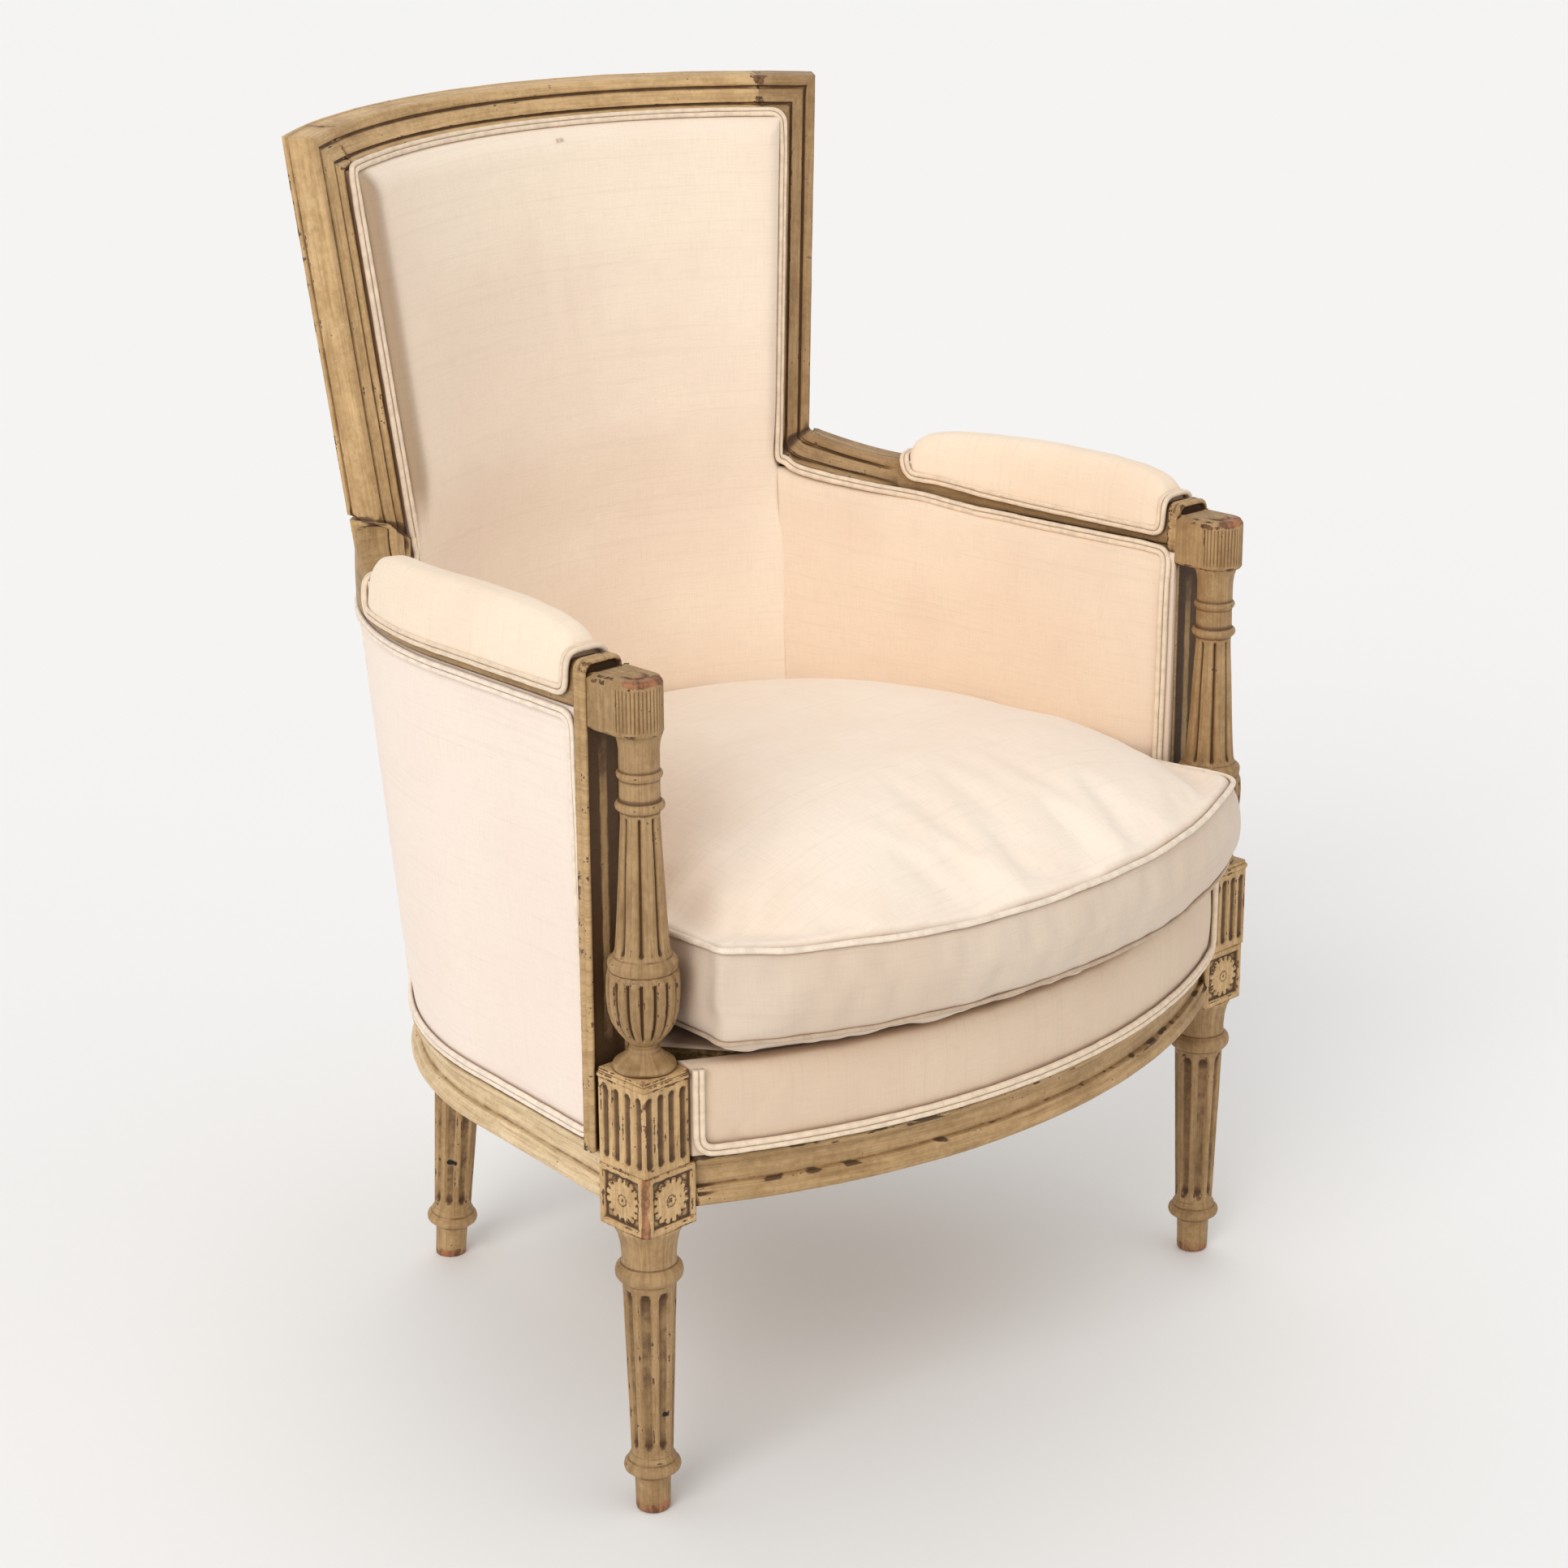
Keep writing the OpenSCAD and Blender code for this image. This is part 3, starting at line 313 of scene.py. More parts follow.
def orient(P, F):
    """True if the closed mesh's faces look outward."""
    vol = 0.0
    tri = np.array([(f[0], f[k], f[k + 1]) for f in F for k in range(1, len(f) - 1)])
    a, b, c = P[tri[:, 0]], P[tri[:, 1]], P[tri[:, 2]]
    vol = (a * np.cross(b, c)).sum()
    return vol > 0


def normals(P, F):
    tri = np.array([(f[0], f[k], f[k + 1]) for f in F for k in range(1, len(f) - 1)])
    n = np.cross(P[tri[:, 1]] - P[tri[:, 0]], P[tri[:, 2]] - P[tri[:, 0]])
    N = np.zeros_like(P)
    for k in range(3):
        for c in range(3):
            N[:, c] += np.bincount(tri[:, k], n[:, c], len(P))
    return N / np.maximum(np.linalg.norm(N, axis=1, keepdims=True), 1e-12)


def wear_of(P, F, fine=5, broad=36):
    """How hollow and how sharp each point is, from how far it moves when the surface is smoothed."""
    E = set()
    for f in F:
        for a, b in zip(f, f[1:] + f[:1]):
            E.add((a, b) if a < b else (b, a))
    E = np.array(sorted(E))
    n = len(P)
    deg = np.maximum(np.bincount(E[:, 0], minlength=n) + np.bincount(E[:, 1], minlength=n), 1)[:, None]
    el = np.linalg.norm(P[E[:, 0]] - P[E[:, 1]], axis=1)
    mean = (np.bincount(E[:, 0], el, n) + np.bincount(E[:, 1], el, n)) / deg[:, 0]
    size = np.maximum(mean / 1.1, 1.0) ** 1.3

    def relax(Q):
        S = np.stack([np.bincount(E[:, 0], Q[E[:, 1], k], n) + np.bincount(E[:, 1], Q[E[:, 0], k], n) for k in range(3)], 1)
        return 0.5 * Q + 0.5 * S / deg

    N = normals(P, F)
    Q = P
    for _ in range(fine):
        Q = relax(Q)
    d1 = ((Q - P) * N).sum(1)
    for _ in range(broad - fine):
        Q = relax(Q)
    d2 = ((Q - P) * N).sum(1)
    return d1 / size, d2 / size


def build(name, shape, mat, body="chair", replaces=(), wear=False, smooth=True, sharp=None):
    P = shape.points()
    F = shape.F
    me = bpy.data.meshes.new(name)
    if shape.A and any(shape.A):
        keys = sorted({k for a in shape.A for k in a})
    else:
        keys = []
    vals = {k: np.concatenate([np.broadcast_to(a.get(k, 0.0), (len(p),)) for a, p in zip(shape.A, shape.P)]) for k in keys}
    if wear:
        d1, d2 = wear_of(P, F)
        vals["cav"] = np.clip(d1 / 0.35, 0, 1) * 0.6 + np.clip(d2 / 1.1, 0, 1) * 0.7
        vals["edge"] = np.clip((-d1 - 0.03) / 0.22, 0, 1)
    V = (P - np.array([0, YM, 0])) * 0.001
    me.from_pydata([tuple(v) for v in V], [], F)
    if shape.U:
        lay = me.uv_layers.new(name="UVMap")
        flat = np.array([c for f in shape.U for c in f], np.float32).reshape(-1)
        lay.data.foreach_set("uv", flat)
    for k, v in vals.items():
        at = me.attributes.new(k, "FLOAT", "POINT")
        at.data.foreach_set("value", np.asarray(v, np.float32))
    me.update()
    me.validate()
    ob = bpy.data.objects.new(name, me)
    scene.collection.objects.link(ob)
    if mat is not None:
        me.materials.append(mat)
    if smooth:
        me.polygons.foreach_set("use_smooth", [True] * len(me.polygons))
        if sharp:
            me.set_sharp_from_angle(angle=sharp * RAD)
    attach(ob, body)
    if replaces:
        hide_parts(*replaces)
    return ob


def fix(shape):
    """Turns a closed shape's faces outward."""
    P = shape.points()
    if not orient(P, shape.F):
        shape.F = [f[::-1] for f in shape.F]
        shape.U = [u[::-1] for u in shape.U]
    return shape


# ------------------------------------------------------------------ materials
def lin(r, g, b):
    f = lambda v: (v / 255 / 12.92) if v / 255 <= 0.04045 else ((v / 255 + 0.055) / 1.055) ** 2.4
    return (f(r), f(g), f(b), 1.0)


class Mat:
    def __init__(self, name):
        self.m = bpy.data.materials.new(name)
        self.m.use_nodes = True
        self.t = self.m.node_tree
        self.t.nodes.clear()
        self.out = self.t.nodes.new("ShaderNodeOutputMaterial")
        self.b = self.t.nodes.new("ShaderNodeBsdfPrincipled")
        self.t.links.new(self.b.outputs[0], self.out.inputs[0])
        self.tc = self.t.nodes.new("ShaderNodeTexCoord")

    def put(self, node, key, v):
        s = node.inputs[key]
        if isinstance(v, bpy.types.NodeSocket):
            self.t.links.new(v, s)
        else:
            s.default_value = v

    def vec(self, src, sx, sy, sz):
        n = self.t.nodes.new("ShaderNodeVectorMath")
        n.operation = "MULTIPLY"
        self.put(n, 0, src)
        n.inputs[1].default_value = (sx, sy, sz)
        return n.outputs[0]

    @property
    def obj(self):
        return self.tc.outputs["Object"]

    @property
    def uv(self):
        return self.tc.outputs["UV"]

    def noise(self, vec, scale, detail=2.0, rough=0.5, dist=0.0):
        n = self.t.nodes.new("ShaderNodeTexNoise")
        self.put(n, "Vector", vec)
        n.inputs["Scale"].default_value = scale
        n.inputs["Detail"].default_value = detail
        n.inputs["Roughness"].default_value = rough
        n.inputs["Distortion"].default_value = dist
        return n.outputs[0]

    def voronoi(self, vec, scale, rand=1.0):
        n = self.t.nodes.new("ShaderNodeTexVoronoi")
        self.put(n, "Vector", vec)
        n.inputs["Scale"].default_value = scale
        n.inputs["Randomness"].default_value = rand
        return n.outputs["Distance"]

    def wave(self, vec, scale, direction="X", dist=0.0, detail=1.0):
        n = self.t.nodes.new("ShaderNodeTexWave")
        n.bands_direction = direction
        self.put(n, "Vector", vec)
        n.inputs["Scale"].default_value = scale
        n.inputs["Distortion"].default_value = dist
        n.inputs["Detail"].default_value = detail
        return n.outputs[1]

    def attr(self, name):
        n = self.t.nodes.new("ShaderNodeAttribute")
        n.attribute_name = name
        return n.outputs["Fac"]

    def do(self, op, a, b=0.0, clamp=False):
        n = self.t.nodes.new("ShaderNodeMath")
        n.operation = op
        n.use_clamp = clamp
        self.put(n, 0, a)
        self.put(n, 1, b)
        return n.outputs[0]

    def add(self, *a):
        r = a[0]
        for x in a[1:]:
            r = self.do("ADD", r, x)
        return r

    def mul(self, a, b):
        return self.do("MULTIPLY", a, b)

    def rng(self, v, lo, hi, a=0.0, b=1.0, smooth=True):
        n = self.t.nodes.new("ShaderNodeMapRange")
        n.interpolation_type = "SMOOTHSTEP" if smooth else "LINEAR"
        self.put(n, "Value", v)
        n.inputs["From Min"].default_value = lo
        n.inputs["From Max"].default_value = hi
        n.inputs["To Min"].default_value = a
        n.inputs["To Max"].default_value = b
        return n.outputs[0]

    def mix(self, f, a, b, blend="MIX"):
        n = self.t.nodes.new("ShaderNodeMix")
        n.data_type = "RGBA"
        n.blend_type = blend
        n.clamp_factor = True
        self.put(n, 0, f)
        self.put(n, 6, a)
        self.put(n, 7, b)
        return n.outputs[2]

    def ao(self, dist, samples=6):
        n = self.t.nodes.new("ShaderNodeAmbientOcclusion")
        n.samples = samples
        n.inputs["Distance"].default_value = dist
        return n.outputs["AO"]

    def near(self, point, r0, r1):
        """1 on a line through the object along Y, falling to 0 between the radii r0 and r1."""
        n = self.t.nodes.new("ShaderNodeVectorMath")
        n.operation = "DISTANCE"
        self.put(n, 0, self.vec(self.obj, 1, 0, 1))
        n.inputs[1].default_value = (point[0], 0, point[2])
        return self.rng(n.outputs["Value"], r0, r1, 1.0, 0.0)

    def bump(self, h, strength, distance, normal=None):
        n = self.t.nodes.new("ShaderNodeBump")
        n.inputs["Strength"].default_value = strength
        n.inputs["Distance"].default_value = distance
        self.put(n, "Height", h)
        if normal is not None:
            self.put(n, "Normal", normal)
        return n.outputs[0]

    def set(self, **kw):
        for k, v in kw.items():
            self.put(self.b, {"color": "Base Color", "rough": "Roughness", "spec": "Specular IOR Level", "metal": "Metallic",
                              "normal": "Normal", "sheen": "Sheen Weight", "sheen_rough": "Sheen Roughness", "sheen_tint": "Sheen Tint",
                              "coat": "Coat Weight", "sss": "Subsurface Weight"}[k], v)
        return self.m


def painted(name, uvs=True, light=(217, 181, 131), mid=(178, 143, 95)):
    """Old rubbed paint over a brown ground: dark in the hollows, worn to the wood on the edges."""
    g = Mat(name)
    base = g.uv if uvs else g.obj
    cav, edge, bare, dark, tone = g.attr("cav"), g.attr("edge"), g.attr("bare"), g.attr("dark"), g.attr("tone")
    streak = g.noise(g.vec(base, 520, 22, 22 if uvs else 60), 1.0, 3, 0.6, 0.3)
    streak2 = g.noise(g.vec(base, 140, 7, 7 if uvs else 20), 1.0, 3, 0.55, 0.4)
    cloud = g.noise(g.obj, 22, 4, 0.6)
    cloud2 = g.noise(g.obj, 75, 4, 0.65)
    cloud3 = g.noise(g.obj, 210, 4, 0.65)
    fine = g.noise(g.obj, 900, 2, 0.6)
    mottle = g.add(g.mul(streak2, 0.30), g.mul(cloud, 0.40), g.mul(cloud3, 0.30))
    col = g.mix(g.rng(mottle, 0.36, 0.62), lin(*mid), lin(*light))
    # brushed glaze left in the grain of the paint
    glaze = g.mul(g.rng(streak, 0.42, 0.68), 0.34)
    col = g.mix(glaze, col, lin(136, 103, 63))
    rub = g.mul(g.rng(cloud2, 0.54, 0.74), 0.40)
    col = g.mix(rub, col, lin(220, 190, 146))
    # pieces darkened all over: painted shade, set per piece by how much shade it stands in
    col = g.mix(g.mul(tone, g.rng(cloud2, 0.2, 0.8, 1.0, 0.75)), col, (0.47, 0.425, 0.385, 1), "MULTIPLY")
    # grime in the hollows
    occl = g.ao(0.010)
    hollow = g.add(g.mul(cav, 1.25), g.rng(occl, 0.84, 0.28, 0.0, 0.75), g.mul(g.rng(cloud2, 0.35, 0.7), 0.22), -0.14)
    h1 = g.rng(hollow, 0.10, 0.58)
    col = g.mix(g.mul(h1, 0.82), col, lin(98, 66, 35))
    h2 = g.rng(hollow, 0.55, 1.05)
    col = g.mix(g.mul(h2, 0.72), col, lin(60, 38, 21))
    # paint gone from the edges in short runs
    chip = g.add(g.mul(cloud2, 0.6), g.mul(cloud3, 0.4))
    e = g.add(g.mul(edge, 0.68), g.mul(g.rng(chip, 0.44, 0.66), 0.85), g.mul(g.rng(cloud, 0.40, 0.62), 0.25), -0.90)
    worn = g.rng(e, 0.10, 0.26)
    wood = g.mix(g.rng(g.noise(g.obj, 260, 3, 0.6), 0.42, 0.6), lin(58, 35, 21), lin(112, 72, 44))
    col = g.mix(g.mul(worn, 0.88), col, wood)
    # bare places
    bm = g.rng(g.add(bare, g.mul(g.add(chip, -0.5), 1.5)), 0.45, 0.62)
    bw = g.mix(g.rng(g.add(streak2, g.mul(g.add(cloud3, -0.5), 0.7)), 0.36, 0.62), lin(100, 60, 38), lin(166, 106, 70))
    col = g.mix(g.mul(bm, 0.85), col, bw)
    # dark places: worn brown along the front rail's chips, glaze in the flutes of the turnings, and painted shadow on
    # the recessed front faces of the arm posts
    chip_glaze_shadow_mask = g.rng(g.add(dark, g.mul(g.add(cloud2, -0.5), 0.5)), 0.3, 0.7)
    col = g.mix(g.mul(chip_glaze_shadow_mask, 0.93), col, lin(72, 48, 26))
    # specks and small losses
    spot = g.rng(g.voronoi(g.obj, 130), 0.11, 0.06)
    pick = g.rng(cloud, 0.50, 0.58)
    speck = g.mul(g.mul(spot, pick), 0.8)
    col = g.mix(speck, col, lin(70, 44, 26))
    # two worm holes in the legs
    worm = g.add(g.near((-0.3119, -0.2097, 0.0810), 0.0016, 0.0024), g.near((-0.1537, 0.2245, 0.0916), 0.0019, 0.0029))
    col = g.mix(worm, col, lin(24, 14, 9))
    height = g.add(g.mul(streak, 0.30), g.mul(cloud2, 0.45), g.mul(cloud3, 0.4), g.mul(fine, 0.12), g.mul(worn, -0.8), g.mul(bm, -0.5), g.mul(speck, -0.9))
    rough = g.rng(g.add(streak, g.mul(worn, 0.3)), 0.2, 0.9, 0.46, 0.72, False)
    g.set(color=col, rough=rough, spec=0.38, normal=g.bump(height, 0.6, 0.0007))
    return g.m


def linen(name, tint=(246, 230, 208), pink=(240, 216, 196), bumpy=1.0, uvs=True, mark=None):
    """Plain linen: slubbed threads both ways, soft blotches, painted shade in the seams and where parts meet."""
    g = Mat(name)
    base = g.uv if uvs else g.obj
    slub_u = g.noise(g.vec(base, 55, 950, 55), 1.0, 2, 0.6)
    slub_v = g.noise(g.vec(base, 950, 55, 950), 1.0, 2, 0.6)
    drift_u = g.noise(g.vec(base, 5, 210, 5), 1.0, 2, 0.5)
    drift_v = g.noise(g.vec(base, 210, 5, 210), 1.0, 2, 0.5)
    threads = g.add(g.mul(slub_u, 0.5), g.mul(slub_v, 0.5))
    drift = g.add(g.mul(drift_u, 0.5), g.mul(drift_v, 0.5))
    blot = g.noise(g.obj, 6.5, 3, 0.55)
    col = g.mix(g.rng(blot, 0.34, 0.68), lin(*tint), lin(*pink))
    dark = tuple(int(c * 0.86) for c in tint)
    col = g.mix(g.mul(g.rng(threads, 0.44, 0.66), 0.20), col, lin(*dark))
    col = g.mix(g.mul(g.rng(drift_u, 0.55, 0.68), 0.11), col, lin(*dark))
    col = g.mix(g.mul(g.rng(drift_v, 0.58, 0.68), 0.05), col, lin(*dark))
    # painted shade: the band along the left edge of the inside back, and the cushion's boxing and underside
    col = g.mix(g.attr("tone"), col, (0.47, 0.39, 0.31, 1), "MULTIPLY")
    if mark:
        blur = g.mul(g.add(g.noise(g.obj, 420, 2, 0.6), -0.5), 1.2)
        spotm = g.add(g.near((mark[0] - 0.002, mark[1], mark[2]), 0.0002, 0.0042), g.near((mark[0] + 0.0025, mark[1], mark[2] + 0.0004), 0.0002, 0.0036))
        col = g.mix(g.rng(g.add(spotm, blur), 0.2, 1.1, 0.0, 0.55), col, lin(150, 100, 64))
    # painted shade: darker brown close to other surfaces, in the seams and where parts meet
    occl = g.ao(0.020)
    col = g.mix(g.rng(occl, 0.80, 0.22, 0.0, 0.62), col, lin(150, 110, 76))
    wu = g.wave(g.vec(base, 1, 1, 1), 190, "X", 0.6, 1)
    wv = g.wave(g.vec(base, 1, 1, 1), 190, "Y", 0.6, 1)
    weave = g.mul(wu, wv)
    rumple = g.noise(g.obj, 38, 3, 0.5)
    n1 = g.bump(g.add(g.mul(rumple, 1.0)), 0.18 * bumpy, 0.004)
    n2 = g.bump(g.add(g.mul(threads, 1.0), g.mul(drift, 0.8), g.mul(weave, 0.30)), 0.35 * bumpy, 0.0005, n1)
    g.set(color=col, rough=0.88, spec=0.18, sheen=0.22, sheen_rough=0.45, normal=n2)
    return g.m


def piping(name, tint=(240, 219, 193)):
    """Linen cut on the bias round a cord."""
    g = Mat(name)
    twist = g.wave(g.uv, 40, "DIAGONAL", 4.0, 2)
    pucker = g.noise(g.vec(g.uv, 40, 120, 1), 1.0, 3, 0.6)
    col = g.mix(g.rng(pucker, 0.36, 0.68), lin(*tint), lin(*[int(c * 0.93) for c in tint]))
    # painted shade: the cushion's lower cord is darkened
    col = g.mix(g.attr("tone"), col, (0.62, 0.56, 0.50, 1), "MULTIPLY")
    # painted shade: darker brown close to other surfaces, in the gaps beside the cords
    occl = g.ao(0.006)
    col = g.mix(g.rng(occl, 0.78, 0.15, 0.0, 0.75), col, lin(128, 92, 62))
    g.set(color=col, rough=0.86, spec=0.18, sheen=0.2, sheen_rough=0.45,
          normal=g.bump(g.add(g.mul(twist, 0.22), g.mul(pucker, 0.7)), 0.35, 0.0006))
    return g.m


def beech(name, a=(196, 160, 112), b=(150, 112, 70)):
    """Bare old beech with fine flecks."""
    g = Mat(name)
    grain = g.noise(g.vec(g.obj, 30, 30, 260), 1.0, 4, 0.6, 0.5)
    fleck = g.noise(g.vec(g.obj, 900, 900, 90), 1.0, 2, 0.6)
    col = g.mix(g.rng(grain, 0.36, 0.66), lin(*a), lin(*b))
    col = g.mix(g.mul(g.rng(fleck, 0.58, 0.70), 0.5), col, lin(110, 76, 44))
    col = g.mix(g.rng(g.ao(0.02), 0.8, 0.2, 0.0, 0.6), col, lin(70, 48, 28))
    g.set(color=col, rough=0.72, spec=0.3, normal=g.bump(g.add(grain, g.mul(fleck, 0.4)), 0.35, 0.0006))
    return g.m


def jute(name, a=(190, 152, 96), b=(140, 104, 58), scale=260.0):
    g = Mat(name)
    wx = g.wave(g.obj, scale / 3, "X", 1.2, 2)
    wy = g.wave(g.obj, scale / 3, "Y", 1.2, 2)
    n = g.noise(g.obj, 420, 3, 0.65)
    w = g.add(g.mul(g.mul(wx, wy), 0.8), g.mul(n, 0.6))
    col = g.mix(g.rng(w, 0.25, 0.85), lin(*b), lin(*a))
    g.set(color=col, rough=0.92, spec=0.12, sheen=0.15, sheen_rough=0.5, normal=g.bump(w, 0.8, 0.0012))
    return g.m


def fibre(name, a=(160, 128, 84), b=(96, 72, 42)):
    g = Mat(name)
    n = g.noise(g.vec(g.obj, 60, 60, 340), 1.0, 5, 0.7, 1.2)
    n2 = g.noise(g.vec(g.obj, 420, 120, 120), 1.0, 4, 0.7, 1.0)
    col = g.mix(g.rng(g.add(g.mul(n, 0.6), g.mul(n2, 0.4)), 0.36, 0.64), lin(*b), lin(*a))
    g.set(color=col, rough=0.95, spec=0.1, normal=g.bump(g.add(n, n2), 0.9, 0.003))
    return g.m


def steel(name, a=(120, 112, 100), rust=(104, 62, 36), amount=0.5, rough=0.42):
    g = Mat(name)
    n = g.noise(g.obj, 120, 4, 0.65)
    f = g.noise(g.obj, 900, 2, 0.6)
    r = g.rng(n, 0.62 - 0.2 * amount, 0.74 - 0.2 * amount)
    col = g.mix(r, lin(*a), lin(*rust))
    g.set(color=col, metal=g.rng(r, 0, 1, 1.0, 0.15), rough=g.rng(r, 0, 1, rough, 0.85), normal=g.bump(g.add(n, f), 0.3, 0.0005))
    return g.m


M_WOOD = painted("painted_wood")
# a paler copy of the paint for the side rails: painted light, where the key light falls on them
M_WOOD_SIDE_LIT = painted("painted_wood_side_lit", light=(236, 211, 171), mid=(208, 180, 138))
M_BEECH = beech("plain_beech")
# copies of one linen in tints set by the light on each face: linen_border_shaded and linen_inside_arm_shaded are darker
# copies that paint shade, linen_inside a lighter copy that paints light
M_LINEN = linen("linen", (247, 230, 207), (240, 217, 196))
M_LINEN_IN_LIT = linen("linen_inside", (250, 233, 212), (246, 226, 206), mark=(0.0270, 0.2766, 0.9246))
M_LINEN_OUT = linen("linen_outside", (249, 233, 219), (246, 228, 214), 0.7)
M_LINEN_ARM = linen("linen_arm", (250, 231, 208), (244, 221, 196), 0.9)
M_CUSHION = linen("linen_cushion", (252, 237, 220), (249, 230, 211))
M_BORDER_SHADED = linen("linen_border_shaded", (225, 202, 177), (221, 196, 171))
M_LINEN_SIDE_SHADED = linen("linen_inside_arm_shaded", (242, 221, 197), (238, 213, 191))
M_PIPE = piping("piping_linen")
M_PIPE_OUT = piping("piping_outside", (250, 233, 214))
M_PIPE_CUSHION = piping("piping_cushion", (246, 229, 209))
M_JUTE = jute("jute_webbing")
M_HESSIAN = jute("hessian", (196, 164, 110), (150, 118, 70), 420.0)
M_STUFF = fibre("stuffing")
M_FILL = fibre("filling", (240, 232, 216), (216, 204, 184))
M_SPRING = steel("spring_steel", (92, 84, 74), (96, 58, 34), 0.6, 0.45)
M_FIX = steel("fixing_steel", (140, 132, 120), (84, 54, 34), 0.45, 0.38)


def grime_mask(P, size=30, seed=3):
    return fbm(P, size, seed)


# ------------------------------------------------------------------ turned work
def lathe(profile, n, centre, carve=None, step=0.8, long_step=2.6, rounds=1, tilt=None, bare=None, soot=0.0):
    prof = dense(profile, step, long_step, rounds)
    th = np.arange(n) / n * 2 * math.pi
    r = prof[:, 0][:, None] * np.ones(n)[None]
    z = prof[:, 1][:, None] * np.ones(n)[None]
    T = np.broadcast_to(th[None], r.shape)
    dark = np.zeros(r.shape)
    if carve is not None:
        cut = carve(T, z, r)
        r = r - cut
        dark = soot * np.clip(cut / 2.6, 0, 1)
    G = np.stack([r * np.cos(T), r * np.sin(T), z], -1)
    # the small unevenness of old turning
    wob = fbm(G + np.array([centre[0], centre[1], 0]), 26, 5) * 0.14 + fbm(G + np.array([centre[0], centre[1], 0]), 5, 9, 2) * 0.06
    k = (np.maximum(r, 0.01) + wob) / np.maximum(r, 0.01)
    G[..., 0] *= k
    G[..., 1] *= k
    b = np.zeros(r.shape) if bare is None else bare(T, z, r)
    if tilt is not None:
        G = tilt(G)
    else:
        G = G + np.array([centre[0], centre[1], 0])
    s = Shape()
    s.grid(G, close_u=True, cap0=True, cap1=True, bare=b, dark=dark)
    return fix(s)


def capsule_cut(T, z, r, count, z0, z1, half, depth, offset=0.5, power=1.0):
    """Depth of round-ended grooves round a turning."""
    pitch = 2 * math.pi / count
    a = (T / pitch - offset + 0.5) % 1.0 - 0.5
    x = a * pitch * r
    dz = np.maximum(0, np.maximum(z0 - z, z - z1))
    q = (x / half) ** 2 + (dz / half) ** 2
    return depth * np.clip(1 - q, 0, 1) ** (0.62 * power)


LEG = [[0.02, 0], [10.6, 0], [12.2, 0.9], [12.8, 2.4], [13.2, 22], [13.4, 29], [14.6, 30.6], [18.0, 31.8], [20.4, 33.4], [21.2, 36],
       [20.6, 38.8], [18.4, 40.4], [17.4, 41.6], [17.6, 43.4], [16.6, 45], [15.6, 46.5], [15.5, 49], [19.7, 184], [20.0, 186.4],
       [22.6, 187.4], [24.6, 190.2], [25.0, 193.6], [24.2, 197], [22.2, 199], [20.4, 200.2], [20.0, 206], [20.8, 216],
       [22.6, 224], [23.6, 226.6], [24.4, 227.6], [24.4, 231.2], [0.02, 231.2]]


def leg_carve(T, z, r):
    s = np.clip(r / 20, 0.72, 1.1)
    return capsule_cut(T, z, r, 8, 57, 176, 4.9 * s, 3.7 * s, 0.83, 0.62)


def foot_bare(T, z, r):
    return sstep(17, 5, z) * 0.62 + 0.40 * np.exp(-((z - 34) / 3.5) ** 2) + 0.36 * np.exp(-((z - 188.5) / 3.0) ** 2)


def rounded_rect(x0, x1, y0, y1, ch, step=1.0):
    """Outline of a block; ch holds the cut of each corner: (x0y0, x1y0, x1y1, x0y1)."""
    P = [[x0 + ch[0], y0], [x1 - ch[1], y0], [x1, y0 + ch[1]], [x1, y1 - ch[2]], [x1 - ch[2], y1], [x0 + ch[3], y1], [x0, y1 - ch[3]], [x0, y0 + ch[0]]]
    return dense(P, step, None, 1, closed=True)


def block(x0, x1, y0, y1, z0, z1, ch, carve=None, step=1.0, zstep=1.0, ease=0.9, bare=None, cx=0.0, cy=0.0):
    """A squared block with eased edges; carve(u, z, side) gives the cut on its -Y (side 0) and -X (side 1) faces."""
    L = rounded_rect(x0, x1, y0, y1, ch, step)
    nz = max(2, int(round((z1 - z0) / zstep)))
    zs = list(np.linspace(z0 + ease, z1 - ease, nz))
    rows = [(z0, ease), (z0 + 0.3 * ease, 0.3 * ease)] + [(z, 0) for z in zs] + [(z1 - 0.3 * ease, 0.3 * ease), (z1, ease)]
    mx, my = (x0 + x1) / 2, (y0 + y1) / 2
    G, B = [], []
    for z, ins in rows:
        q = L.copy()
        q[:, 0] -= np.sign(q[:, 0] - mx) * np.minimum(ins, np.abs(q[:, 0] - mx))
        q[:, 1] -= np.sign(q[:, 1] - my) * np.minimum(ins, np.abs(q[:, 1] - my))
        row = np.column_stack([q, np.full(len(q), z)])
        if carve is not None:
            f = np.abs(L[:, 1] - y0) < 0.3
            row[f, 1] += carve(L[f, 0], np.full(f.sum(), z), 0)
            f = np.abs(L[:, 0] - x0) < 0.3
            row[f, 0] += carve(L[f, 1], np.full(f.sum(), z), 1)
        G.append(row)
        corner = np.exp(-(((L[:, 0] - x0) ** 2 + (L[:, 1] - y0) ** 2) / 5.0 ** 2))
        B.append(corner)
    G = np.array(G)
    wob = fbm(G, 18, 11) * 0.16
    N = G - np.array([mx, my, 0])
    N[..., 2] = 0
    N /= np.maximum(np.linalg.norm(N, axis=-1, keepdims=True), 1)
    G = G + N * wob[..., None]
    s = Shape()
    s.grid(G, close_u=True, cap0=True, cap1=True, bare=np.array(B) * (bare or 0.0))
    return fix(s)


